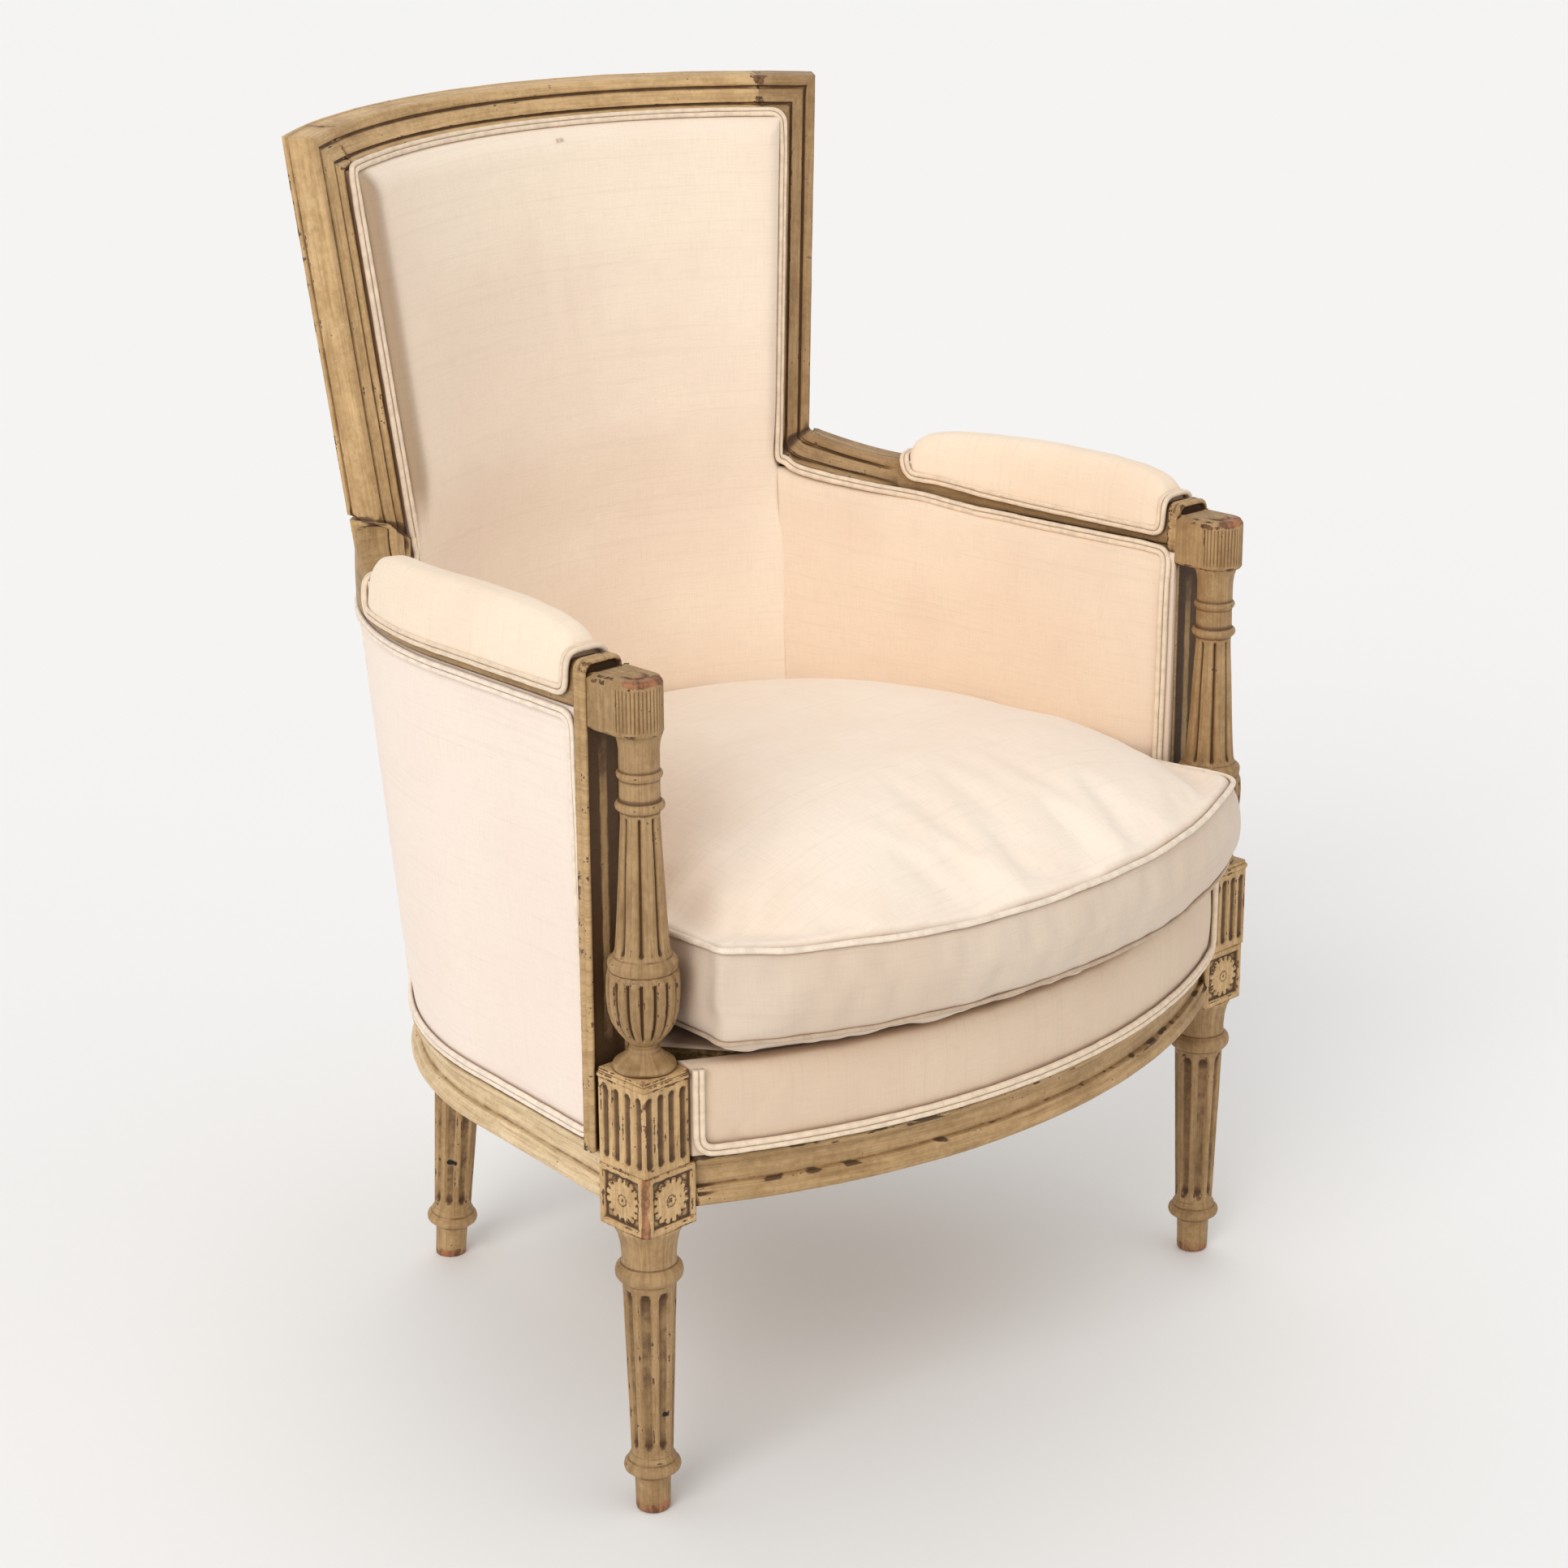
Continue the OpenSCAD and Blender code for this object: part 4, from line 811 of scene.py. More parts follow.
def rosette_cut(u, z, side):
    """Sunk panel filled by a flower with a scalloped rim, a ring of drilled dots and a dimpled boss."""
    x, y = u - (0.8 if side == 0 else 0.8), z - 254.5
    e = np.maximum(np.abs(x - 0.6) - 18.2, np.abs(y) - 18.4)
    sunk = 2.7 * sstep(0.5, -0.6, e)
    rr = np.hypot(x, y)
    th = np.arctan2(y, x) + 0.2
    rim = 16.9 + 0.8 * np.cos(16 * th)
    disc = sstep(rim + 0.7, rim - 0.7, rr)
    petal = np.abs(np.cos(4 * th)) ** 0.6
    h = disc * (1.75 + 0.42 * petal * np.exp(-((rr - 9.8) / 3.8) ** 2))
    h += disc * 0.35 * np.abs(np.cos(4 * th + 1.57)) * np.exp(-((rr - 5.4) / 1.8) ** 2)
    h += 0.5 * np.exp(-(rr / 3.2) ** 4) - 1.3 * np.exp(-(rr / 1.2) ** 2)
    dots = np.clip(np.cos(16 * th + 3.14), 0, 1) ** 1.5 * np.exp(-((rr - 15.0) / 1.3) ** 2)
    h -= 1.9 * dots * disc
    h -= 0.45 * np.exp(-((rr - 4.2) / 0.6) ** 2)
    return sunk - h * sstep(0.3, -1.2, e)


def flutes_cut(centres, zlo, zhi, half, depth):
    def cut(u, z, side):
        d = np.zeros(len(u))
        for c in centres[side]:
            dz = np.maximum(0, np.maximum(zlo - z, z - zhi))
            q = ((u - c) / half) ** 2 + (dz / half) ** 2
            d = np.maximum(d, depth * np.clip(1 - q, 0, 1) ** 0.6)
        return d
    return cut


def shift(shape, dx, dy, dz=0):
    shape.P = [p + np.array([dx, dy, dz]) for p in shape.P]
    return shape


def front_leg():
    s = lathe(LEG, 152, (-312, -178), leg_carve, bare=foot_bare, soot=0.47)
    d = shift(block(-25, 25, -25, 25, 231, 278, (4.4, 1.3, 1.0, 1.3), rosette_cut, 0.85, 0.85, 0.9, bare=1.15), -312, -178)
    s.join(d)
    cut = flutes_cut({0: [-18.5, -7.9, 2.7, 13.3], 1: [-17.5, -5.9, 5.7, 17.3]}, 286.5, 335.8, 3.5, 2.7)
    f = shift(block(-24.5, 19.5, -24.5, 24.5, 277.8, 344.2, (1.2, 1.0, 1.0, 1.0), cut, 0.8, 1.1, 0.8, bare=0.42), -312, -178)
    s.join(f)
    s.join(shift(block(-25.5, 20, -25.5, 25, 344, 348.1, (1.2, 1.0, 1.0, 1.0), None, 1.2, 0.9, 1.1, bare=0.55), -312, -178))
    s.join(shift(block(-24.3, 19.4, -24.3, 24.4, 347.6, 351, (1.2, 1.0, 1.0, 1.0), None, 1.2, 0.9, 1.0, bare=0.5), -312, -178))
    return s


def rear_leg():
    rl = [list(p) for p in LEG[:17]]
    prof = [[0.02, -6], [11.0, -6]] + rl[3:] + [[19.4, 180], [19.8, 236], [19.8, 252], [0.02, 252]]
    p = wp(282, 20, 29.5)
    t = 6 * RAD

    def tilt(G):
        z = G[..., 2] - 242 - 2
        y = G[..., 1]
        out = np.stack([G[..., 0] + p[0], y * math.cos(t) - z * math.sin(t) + p[1], y * math.sin(t) + z * math.cos(t) + 242], -1)
        out[..., 2] = np.clip(out[..., 2], 0.0, 242.0)
        return out

    def carve(T, z, r):
        s = np.clip(r / 20, 0.72, 1.1)
        return capsule_cut(T, z, r, 8, 57, 218, 4.9 * s, 3.7 * s, 0.83, 0.62)

    s = lathe(prof, 136, (0, 0), carve, tilt=tilt, bare=foot_bare, soot=0.47)
    return s


BAL = [[0.02, 350.6], [20.3, 350.6], [22.2, 351.2], [22.9, 353.2], [22.0, 355.0], [19.0, 356.6], [14.6, 359.2], [11.6, 362], [10.6, 364.6],
       [11.2, 366.8], [14.8, 370], [19.6, 375], [23.2, 381.5], [25.4, 389], [26.4, 398], [26.6, 406], [26.2, 413], [25.5, 416.8],
       [24.6, 418.2], [24.9, 420], [25.2, 423], [24.7, 425], [23.0, 426.4], [20.9, 428.4], [19.9, 433], [18.9, 446], [17.4, 470],
       [15.9, 500], [14.6, 524], [14.2, 533], [14.4, 535.4], [15.6, 536.3], [17.2, 537.6], [17.8, 539.8], [17.0, 541.9], [15.2, 543],
       [14.5, 544], [14.3, 556], [14.5, 558.2], [15.6, 559.3], [16.6, 561.3], [15.9, 563.2], [14.7, 564.3], [14.4, 566], [14.4, 584],
       [15.2, 592], [16.6, 598], [17.2, 600.4], [0.02, 600.4]]


BAL_Z = [351, 356, 364, 375, 417, 540, 563, 600]
BAL_UP = [0, 1.5, 3.5, 5.5, 8.5, 7.5, 8.5, 0]


def bal_carve(T, z, r):
    z = np.interp(z, np.array(BAL_Z) + np.array(BAL_UP), BAL_Z)
    # eight rounded reeds parted by narrow grooves, deepening downward
    pitch = 2 * math.pi / 8
    a = (T / pitch + 0.5) % 1.0 - 0.5
    x = np.abs(a) * pitch * r
    on = sstep(429.5, 433.5, z) * sstep(533.5, 530.5, z)
    low = sstep(500, 440, z)
    w = 1.15 + 0.75 * low
    d = on * ((2.1 + 0.9 * low) * np.exp(-(x / w) ** 2) + 0.75 * (1 - np.clip(2 * np.abs(a), 0, 1)) ** 2.2)
    b = (T / pitch) % 1.0 - 0.5
    d = d + on * 0.35 * np.exp(-(b * pitch * r / 0.7) ** 2)
    # swelling lobes with a cut between each pair, arched at the top
    p2 = 2 * math.pi / 16
    a2 = (T / p2 + 0.5) % 1.0 - 0.5
    x2 = np.abs(a2) * p2 * np.maximum(r, 12)
    half = p2 * np.maximum(r, 12) / 2
    lobe = 1 - np.clip(x2 / half, 0, 1)
    on2 = sstep(369, 376, z)
    top = 416.3 - 3.6 * lobe ** 2 * 1.2
    inside = sstep(top + 0.8, top - 0.8, z)
    d = d + on2 * inside * (2.9 * np.exp(-(x2 / 1.15) ** 2) + 0.85 * lobe ** 2) + sstep(top - 0.8, top + 0.9, z) * sstep(419, 417.4, z) * 1.1
    return d


def baluster():
    prof = [[r, z + float(np.interp(z, BAL_Z, BAL_UP))] for r, z in BAL]
    return lathe(prof, 224, (-313, -178), bal_carve, step=0.8, long_step=1.9)


def terminal():
    cx, cy, R = -315.4, -178.5, 19.0
    back = -149
    th = np.linspace(-180, 0, 181) * RAD
    # outline from the back left corner round the front to the back right corner
    arc = [[cx + R * math.cos(t), cy + R * math.sin(t)] for t in th]
    L = [[cx - R, back], [cx - R, back + (cy - back) * 0.5]] + arc + [[cx + R, back + (cy - back) * 0.5], [cx + R, back]]
    L = dense(L + [], 0.42, None, 0, closed=True)
    ang = np.arctan2(L[:, 1] - cy, L[:, 0] - cx) / RAD
    on_front = (L[:, 1] < cy + 0.4)
    on_side = (L[:, 1] >= cy + 0.4) & (L[:, 1] < back - 0.5)
    cen = np.array([cx, cy])
    rows = [(599.6, -2.6), (600.0, -1.2), (601.0, -0.3), (602.0, 0.1), (603.0, 0.0)] + [(z, 0.0) for z in np.linspace(604.0, 633.4, 32)] + [
        (634.6, 0.0), (636.2, -0.1), (637.6, -0.8), (638.4, -1.6), (639.4, -2.0), (640.0, -3.4), (640.1, -6.0), (639.7, -9.0), (639.7, -12.4), (640.6, -13.4), (641.1, -14.4), (641.2, -17.0)]
    G, B = [], []
    for z, off in rows:
        q = L.copy()
        reed = np.zeros(len(L))
        on = float(sstep(602.4, 604.6, z) * sstep(635.6, 633.0, z))
        reed[on_front] = 0.85 * (0.5 + 0.5 * np.cos(2 * math.pi * (ang[on_front] + 180) / 9.0)) ** 1.6 * on
        reed[on_side] = 0.32 * (0.5 - 0.5 * np.cos(2 * math.pi * (L[on_side, 1] - cy) / 4.6)) * on
        amt = off - reed
        v = q - cen
        f = on_front
        n = np.zeros_like(q)
        n[f] = v[f] / np.linalg.norm(v[f], axis=1, keepdims=True)
        n[~f, 0] = np.sign(v[~f, 0])
        bk = np.abs(L[:, 1] - back) < 0.3
        n[bk] = [0, 1]
        lim = np.where(f, np.linalg.norm(v, axis=1) - 1, np.where(bk, 22.0, R - 1))
        q = q + n * np.maximum(amt, -lim)[:, None]
        if off < -4:
            # the top disc
            k = (R + off) / R
            q = np.where(L[:, 1:2] < cy, cen + (L - cen) * k, np.column_stack([cen[0] + (L[:, 0] - cen[0]) * k, cy + (L[:, 1] - cy) * (0.92 if off > -12 else k)]))
        G.append(np.column_stack([q, np.full(len(q), z)]))
        rim = float(sstep(634.5, 637.5, z) * (1 if off > -8 else 0.55))
        B.append(rim * (0.30 + 0.62 * sstep(-178, -150, ang) * sstep(-20, -50, ang) * on_front))
    s = Shape()
    G = np.array(G)
    s.grid(G, close_u=True, cap0=True, cap1=True, bare=np.array(B))
    return fix(s)


def box_shape(x0, x1, y0, y1, z0, z1, ease=0.6, step=6.0):
    return block(x0, x1, y0, y1, z0, z1, (ease,) * 4, None, step, 8.0, ease)


def arm_post():
    x0, x1, zt, r = -337.0, -300.0, 648.0, 8.0

    def ring(ins, y, sink=0.0):
        a0, a1, top, rr = x0 + ins, x1 - ins, zt - ins, max(r - ins * 0.6, 2.5)
        P = [[a0, 282.0 + ins]]
        n = 70
        for i in range(n + 1):
            P.append([a0, mix(282.0 + ins, top - rr, i / n)])
        for i in range(1, 12):
            t = math.pi - i / 12 * math.pi / 2
            P.append([a0 + rr + rr * math.cos(t), top - rr + rr * math.sin(t)])
        for i in range(0, 9):
            P.append([mix(a0 + rr, a1 - rr, i / 8), top])
        for i in range(1, 12):
            t = math.pi / 2 - i / 12 * math.pi / 2
            P.append([a1 - rr + rr * math.cos(t), top - rr + rr * math.sin(t)])
        for i in range(n + 1):
            P.append([a1, mix(top - rr, 282.0 + ins, i / n)])
        for i in range(1, 6):
            P.append([mix(a1, a0, i / 6), 282.0 + ins])
        P = np.array(P[1:])
        return np.column_stack([P[:, 0], np.full(len(P), y), P[:, 1]])

    lay = [(1.2, -137.5), (0.3, -137.9), (0, -139), (0, -141), (0.9, -142.2), (0.9, -143.2), (0, -144.4), (0, -146.4), (0.4, -147.8), (1.2, -148.8), (2.2, -149.0), (3.2, -148.7),
           (3.8, -147.9), (4.1, -146.7), (5.0, -146.4), (8.5, -146.3), (12.5, -146.3)]
    G = np.array([ring(i, y) for i, y in lay])
    # the recessed front face behind the baluster is painted dark brown: painted shadow of the terminal and the baluster
    recess_shadow = np.zeros(G.shape[:2])
    recess_shadow[13:] = 1.0
    wob = fbm(G, 22, 17) * 0.15
    G[..., 0] += wob
    s = Shape()
    s.grid(G, close_u=True, cap0=True, cap1=True, dark=recess_shadow)
    fix(s)
    s.join(box_shape(-317.8, -305.2, -138.5, -113.7, 311, 611.8))
    return s


# ------------------------------------------------------------------ rails
def rail_sec(r, top):
    z = 242
    out = [[r - 40, z], [r - 3.5, z], [r - 1.2, z + 1.2], [r, z + 3.6], [r, z + 6.4], [r - 1.2, z + 9.0], [r - 3.4, z + 10.6],
           [r - 3.6, z + 11.6], [r - 3.8, z + 14.2], [r - 7.8, z + 14.8], [r - 8.0, z + 18], [r - 7.8, z + 30.6], [r - 4.0, z + 31.2],
           [r - 3.8, z + 32.4], [r - 1.4, z + 33.6], [r - .3, z + 36], [r - .8, z + 38.2], [r - 2.6, z + 39.6], [r - 4, z + 40], [r - 8, z + 40]]
    a = dense(out[1:], 0.8, None, 1)
    b = dense([[r - 8, z + 40], [r - 8, top], [r - 40, top], [r - 40, z], [r - 3, z]], 6.0, None, 0)
    return np.vstack([a, b[1:-1]])


def sweep(sec, place, n, ends=True, rough=0.22, seed=0, **attrs):
    """sec [m, 2] swept through n stations; place(k, sec) gives the points of station k."""
    G = np.array([place(k / (n - 1), sec) for k in range(n)])
    if rough:
        N = np.zeros_like(G)
        du = np.roll(G, -1, 1) - np.roll(G, 1, 1)
        dv = np.gradient(G, axis=0)
        N = np.cross(du, dv)
        N /= np.maximum(np.linalg.norm(N, axis=-1, keepdims=True), 1e-9)
        G = G + N * (fbm(G, 34, 21 + seed) * rough + fbm(G, 7, 23 + seed, 2) * rough * 0.35)[..., None]
    s = Shape()
    s.grid(G, close_u=True, cap0=ends, cap1=ends, **attrs)
    return fix(s)


def side_rail():
    R, C, f = 309.0, -13.0, 7.5
    a0 = 36.0
    arc = (90 - f - a0) * RAD * R
    y_end = C + R * math.sin(f * RAD)
    straight = (y_end + 153.2) / math.cos(f * RAD)
    L = arc + straight

    def place(t, sec):
        s = t * L
        r, z = sec[:, 0], sec[:, 1]
        if s < arc:
            a = a0 + s / R / RAD
            return pts(-r * sind(a), C + r * cosd(a), z)
        o = s - arc
        a = 90 - f
        return pts(-r * sind(a) - o * math.sin(f * RAD), C + r * cosd(a) - o * math.cos(f * RAD), z)

    return sweep(rail_sec(R, 310), place, 120, seed=1)


def back_rail():
    def place(t, sec):
        a = mix(-36, 36, t)
        return pts(-sec[:, 0] * sind(a), -13 + sec[:, 0] * cosd(a), sec[:, 1])
    return sweep(rail_sec(309.0, 310), place, 110, seed=2)


def front_rail():
    r = (287 ** 2 + 76 ** 2) / 152
    c = -205.5 - 76 + r

    def place(t, sec):
        # each line of the section runs to the flat joint with the leg blocks
        a = np.arcsin(np.clip(287.0 / sec[:, 0], -1, 1)) / RAD * (2 * t - 1)
        return pts(sec[:, 0] * sind(a), c - sec[:, 0] * cosd(a), sec[:, 1])
    return sweep(rail_sec(r, 319.8), place, 170, seed=3)


# ------------------------------------------------------------------ back frame
FRAME = [[0.4, -25], [0, -24.4], [0, -22.6], [1.2, -21.8], [1.4, -20.8], [0, -19.8], [0, -2.4], [0.8, -0.6], [2.4, 0], [5.6, 0.8], [7.2, 0.6], [8.2, -0.2], [8.8, -1.8], [10.2, -1.8],
         [11.0, 1.8], [15.5, 3.0], [20.5, 6.0], [21.1, 4.0], [22.5, 4.2], [23.1, 7.2], [24.4, 9.2], [26.6, 10.2], [28.8, 9.8], [30.2, 8.2], [31, 5], [31, -25]]


def frame_sec():
    a = dense(FRAME, 0.85, None, 1)
    b = dense([[31, -25], [0.4, -25]], 5.0, None, 0)
    return np.vstack([a, b[1:-1]])


def frame_pt(w, q, p):
    """Point of the back frame: w below the top edge, q in from the outer edge of the stile, p towards the sitter."""
    w, q, p = np.broadcast_arrays(np.asarray(w, float), np.asarray(q, float), np.asarray(p, float))
    r = 437 - 0.171 * w
    t = 37 - q / r / RAD
    return bp(-w, t, -p)


def crest():
    sec = frame_sec()

    def place(t, s):
        a = mix(-30.6, 30.6, t)
        return bp(-s[:, 0], np.full(len(s), a), -s[:, 1])
    return sweep(sec, place, 160, seed=4, rough=0.26)


def arm_rise(a):
    """How far the top of the arm rail has climbed towards the stile at angle a."""
    return 19.5 * np.clip((66.0 - np.asarray(a, float)) / 15.6, 0, 1) ** 1.65


def arm_low(a):
    """Height of the piping along the inside of the arm."""
    return np.interp(a, [43.5, 46, 50, 54, 58, 62, 66, 70, 75, 80, 87], [640, 638, 632, 627.5, 624, 621, 619, 617, 613, 610.5, 610])


def stile():
    sec = frame_sec()
    q, p = sec[:, 0], sec[:, 1]
    G = []

    def lerp(O, I, nrm, k, deep):
        f = np.clip(q / 31, 0, 1)[:, None]
        pp = np.where(p < -3, np.maximum(p, deep), p * k)
        return O + (I - O) * f + nrm * pp[:, None]

    # the moulding leaves the arm rail, turns the corner and climbs the stile
    for a in np.linspace(66.4, 51.0, 30):
        t = float(sstep(65.8, 59.0, a))
        o = mix(29.7, 33.0, t)
        O = wp(640, o, a)
        I = wp(640, o, a)
        O[2] = 645.3 + float(arm_rise(a))
        I[2] = float(arm_low(a)) + mix(-4.0, 1.5, t)
        nrm = np.array([math.sin(a * RAD), -math.cos(a * RAD), 0])
        G.append(lerp(O, I, nrm, t, -6.0))

    def stile_pt(z, qq):
        w = (966 - z) / math.cos(3.5 * RAD)
        for _ in range(4):
            w = w + (frame_pt(w, qq, 0)[2] - z) / math.cos(3.5 * RAD)
        return frame_pt(w, qq, 0)
    Is = [wp(640, 33, 49.5), wp(640, 33, 48.0), wp(640, 33, 46.8), wp(640, 32.8, 45.8), wp(640, 32.6, 45.1)]
    for v, z in zip(Is, (634.0, 636.2, 638.4, 641.0, 644.4)):
        v[2] = z
    Is += [stile_pt(649, 31), stile_pt(654, 31), stile_pt(660, 31)]
    Os = [wp(640, 31.8, 50.8), wp(640, 30.8, 50.6), wp(640, 29.8, 50.4), wp(640, 29.0, 50.2), wp(640, 28.2, 50.0)]
    for v, z in zip(Os, (664.2, 664.5, 664.8, 665.2, 665.8)):
        v[2] = z
    Os += [stile_pt(666.6, 0), stile_pt(667.6, 0), stile_pt(669, 0)]
    m = len(Is)
    for i in range(m):
        t = (i + 1) / m
        aa = mix(51.0, 35.0, t)
        nrm = np.array([math.sin(aa * RAD), -math.cos(aa * RAD), 0])
        G.append(lerp(Os[i], Is[i], nrm, 1.0, mix(-6.0, -16.0, t)))
    # the sloped part, from above the arm to the mitre
    n = 116
    zb = 672.0
    w_low = np.full(len(q), (966 - zb) / math.cos(3.5 * RAD))
    for _ in range(4):
        w_low = w_low + (frame_pt(w_low, q, p)[:, 2] - zb) / math.cos(3.5 * RAD)
    for k in range(n):
        G.append(frame_pt(mix(w_low, q, k / (n - 1)), q, p))
    # round the corner and along the top edge to the joint with the crest rail
    m = 18
    for k in range(1, m):
        end = (37 - 30.6) * RAD * (437 - 0.171 * q)
        G.append(frame_pt(q, mix(q, end, k / (m - 1)), p))
    G = np.array(G)
    du = np.roll(G, -1, 1) - np.roll(G, 1, 1)
    dv = np.gradient(G, axis=0)
    N = np.cross(du, dv)
    N /= np.maximum(np.linalg.norm(N, axis=-1, keepdims=True), 1e-9)
    G = G + N * (fbm(G, 34, 41) * 0.26 + fbm(G, 7, 43, 2) * 0.09)[..., None]
    s = Shape()
    s.grid(G, close_u=True, cap0=True, cap1=True)
    fix(s)
    # the outer edge of the stile runs straight down behind the bend
    low = []
    for z in (650.0, 652.0, 658.0, 664.0, 670.0, 674.0):
        w = (966 - z) / math.cos(3.5 * RAD)
        c = [frame_pt(w, 0.1, -24.9), frame_pt(w, 0.1, -2.6), frame_pt(w, 20.0, -4.0), frame_pt(w, 30.0, -8.0), frame_pt(w, 30.0, -24.9)]
        low.append(dense(c, 3.0, None, 1, closed=True))
    k = min(len(r) for r in low)
    pr = Shape()
    pr.grid(np.array([r[np.linspace(0, len(r) - 1, k).astype(int)] for r in low]), close_u=True, cap0=True, cap1=True)
    s.join(fix(pr))
    # plain foot between the arm and the seat rail
    rows = [(310, (8, 45), (8, 51), (25.4, 51), (25.4, 45)),
            (612, (5.4, 44.3), (4.2, 50.3), (25.4, 50.5), (28, 44.9)),
            (654, (5.2, 44.2), (1.6, 50.2), (25.5, 50.4), (28.5, 44.8))]
    R = []
    for z, *q in rows:
        R.append(dense([wp(z, o, a) for o, a in q], 4.0, None, 1, closed=True))
    m = min(len(r) for r in R)
    R = [r[np.linspace(0, len(r) - 1, m).astype(int)] for r in R]
    out = []
    for i in range(2):
        k = [34, 8][i]
        for j in range(k + (i == 1)):
            out.append(R[i] + (R[i + 1] - R[i]) * j / k)
    f = Shape()
    f.grid(np.array(out), close_u=True, cap0=True, cap1=True)
    s.join(fix(f))
    return s


def arm_rail():
    R, C, f = 326.0, 6.0, 3.0
    z0, zt = 612.0, 645.0
    sec = dense([[R - 30, z0], [R - 1.5, z0], [R, z0 + 1.5], [R, zt - 7], [R - 1.6, zt - 4], [R - 2, zt - 2.4], [R - 5, zt], [R - 25, zt],
                 [R - 28, zt - 2.4], [R - 28.4, zt - 4], [R - 30, zt - 7]], 1.6, None, 1, closed=True)
    a0 = 50.1
    arc = (90 - f - a0) * RAD * R
    y_end = C + R * math.sin(f * RAD)
    straight = (y_end + 137.5) / math.cos(f * RAD)
    L = arc + straight

    def place(t, s2):
        s = t * L
        r, z = s2[:, 0], s2[:, 1].copy()
        z = z + float(arm_rise(a0 + s / R / RAD)) * sstep(zt - 9, zt - 4, z)
        if s < arc:
            a = a0 + s / R / RAD
            return pts(-r * sind(a), C + r * cosd(a), z)
        o = s - arc
        a = 90 - f
        return pts(-r * sind(a) - o * math.sin(f * RAD), C + r * cosd(a) - o * math.cos(f * RAD), z)

    return sweep(sec, place, 130, seed=6, rough=0.15)


def both(name, fn, mat, wear=True, slot="painted_wood", sharp=50):
    left = fn()
    right = left.mirror()
    for side, s in (("left", left), ("right", right)):
        if side == "right":
            fix(s)
        build(f"{name}_{side}", s, mat, replaces=[f"{name}_{side}"], wear=wear, sharp=sharp)


def piece_name(n):
    return n + "_worn"


def rubbed(ob, k):
    """More of the paint worn off the piece's edges."""
    at = ob.data.attributes["edge"]
    v = np.empty(len(ob.data.vertices), np.float32)
    at.data.foreach_get("value", v)
    at.data.foreach_set("value", np.clip(v * k, 0, 1).astype(np.float32))


def wood_pieces():
    for node, fn in (("front_leg", front_leg), ("rear_leg", rear_leg), ("baluster", baluster), ("arm_terminal", terminal),
                     ("arm_post", arm_post), ("side_rail", side_rail), ("stile", stile), ("arm_rail", arm_rail)):
        left = fn()
        for side in ("left", "right"):
            s = left if side == "left" else left.mirror()
            # painted shade: each piece's darkening is set by the shade it stands in, so the right stile is much darker
            # than the mirrored left one, and the legs, balusters, terminals, arm rails and posts are darkened too
            tone = {"front_leg": 0.78, "rear_leg": 0.5, "baluster": 0.78, "arm_terminal": 0.74, "arm_rail": 0.7, "arm_post": 0.35, "stile": 0.0 if side == "left" else 0.84}.get(node, 0.0)
            ob = build(piece_name(f"{node}_{side}"), s, M_WOOD_SIDE_LIT if node == "side_rail" else M_WOOD, replaces=[f"{node}_{side}"], wear=True, sharp=None)
            at = ob.data.attributes.new("tone", "FLOAT", "POINT")
            if node == "stile":
                rubbed(ob, 1.7)
            z = np.concatenate([p[:, 2] for p in s.P])
            v = tone * (1 - 0.97 * sstep(225, 235, z)) if node == "front_leg" else np.full(len(z), tone)
            at.data.foreach_set("value", v.astype(np.float32))
    for node, fn in (("front_rail", front_rail), ("back_rail", back_rail), ("crest_rail", crest)):
        s = fn()
        ob = build(piece_name(node), s, M_WOOD, replaces=[node], wear=True)
        if node == "front_rail":
            P = np.vstack(s.P)
            # old brown showing along the bead and the step
            chip = sstep(0.02, 0.34, fbm(P * np.array([1.0, 1.0, 2.2]), 15, 311, 3)) * (np.exp(-((P[:, 2] - 279) / 3.0) ** 2) + 0.8 * np.exp(-((P[:, 2] - 256) / 2.5) ** 2))
            # painted shade: the whole front rail is darkened for the shade under the front border
            at = ob.data.attributes.new("tone", "FLOAT", "POINT")
            at.data.foreach_set("value", np.full(len(P), 0.48, np.float32))
            at = ob.data.attributes.new("dark", "FLOAT", "POINT")
            at.data.foreach_set("value", np.clip(1.1 * chip, 0, 1).astype(np.float32))
        if node == "crest_rail":
            rubbed(ob, 1.9)


wood_pieces()


# ------------------------------------------------------------------ cords
def tube_shape(path, radius, sides=10, closed=False, wob=0.05, seed=0):
    P = path
    if closed:
        T = np.roll(P, -1, 0) - np.roll(P, 1, 0)
    else:
        T = np.gradient(P, axis=0)
    T /= np.maximum(np.linalg.norm(T, axis=1, keepdims=True), 1e-9)
    # frames carried along the path
    U = np.zeros_like(P)
    u = np.cross(T[0], [0.13, 0.21, 0.97])
    u /= np.linalg.norm(u)
    for i in range(len(P)):
        u = u - T[i] * (u @ T[i])
        u /= max(np.linalg.norm(u), 1e-9)
        U[i] = u
    B = np.cross(T, U)
    th = np.arange(sides) / sides * 2 * math.pi
    R = radius * (1 + wob * vnoise(P, 5.5, 71 + seed) + 0.6 * wob * vnoise(P, 2.4, 72 + seed))
    G = P[:, None] + R[:, None, None] * (np.cos(th)[None, :, None] * U[:, None] + np.sin(th)[None, :, None] * B[:, None])
    s = Shape()
    s.grid(G, close_u=True, close_v=closed, cap0=not closed, cap1=not closed)
    return fix(s)


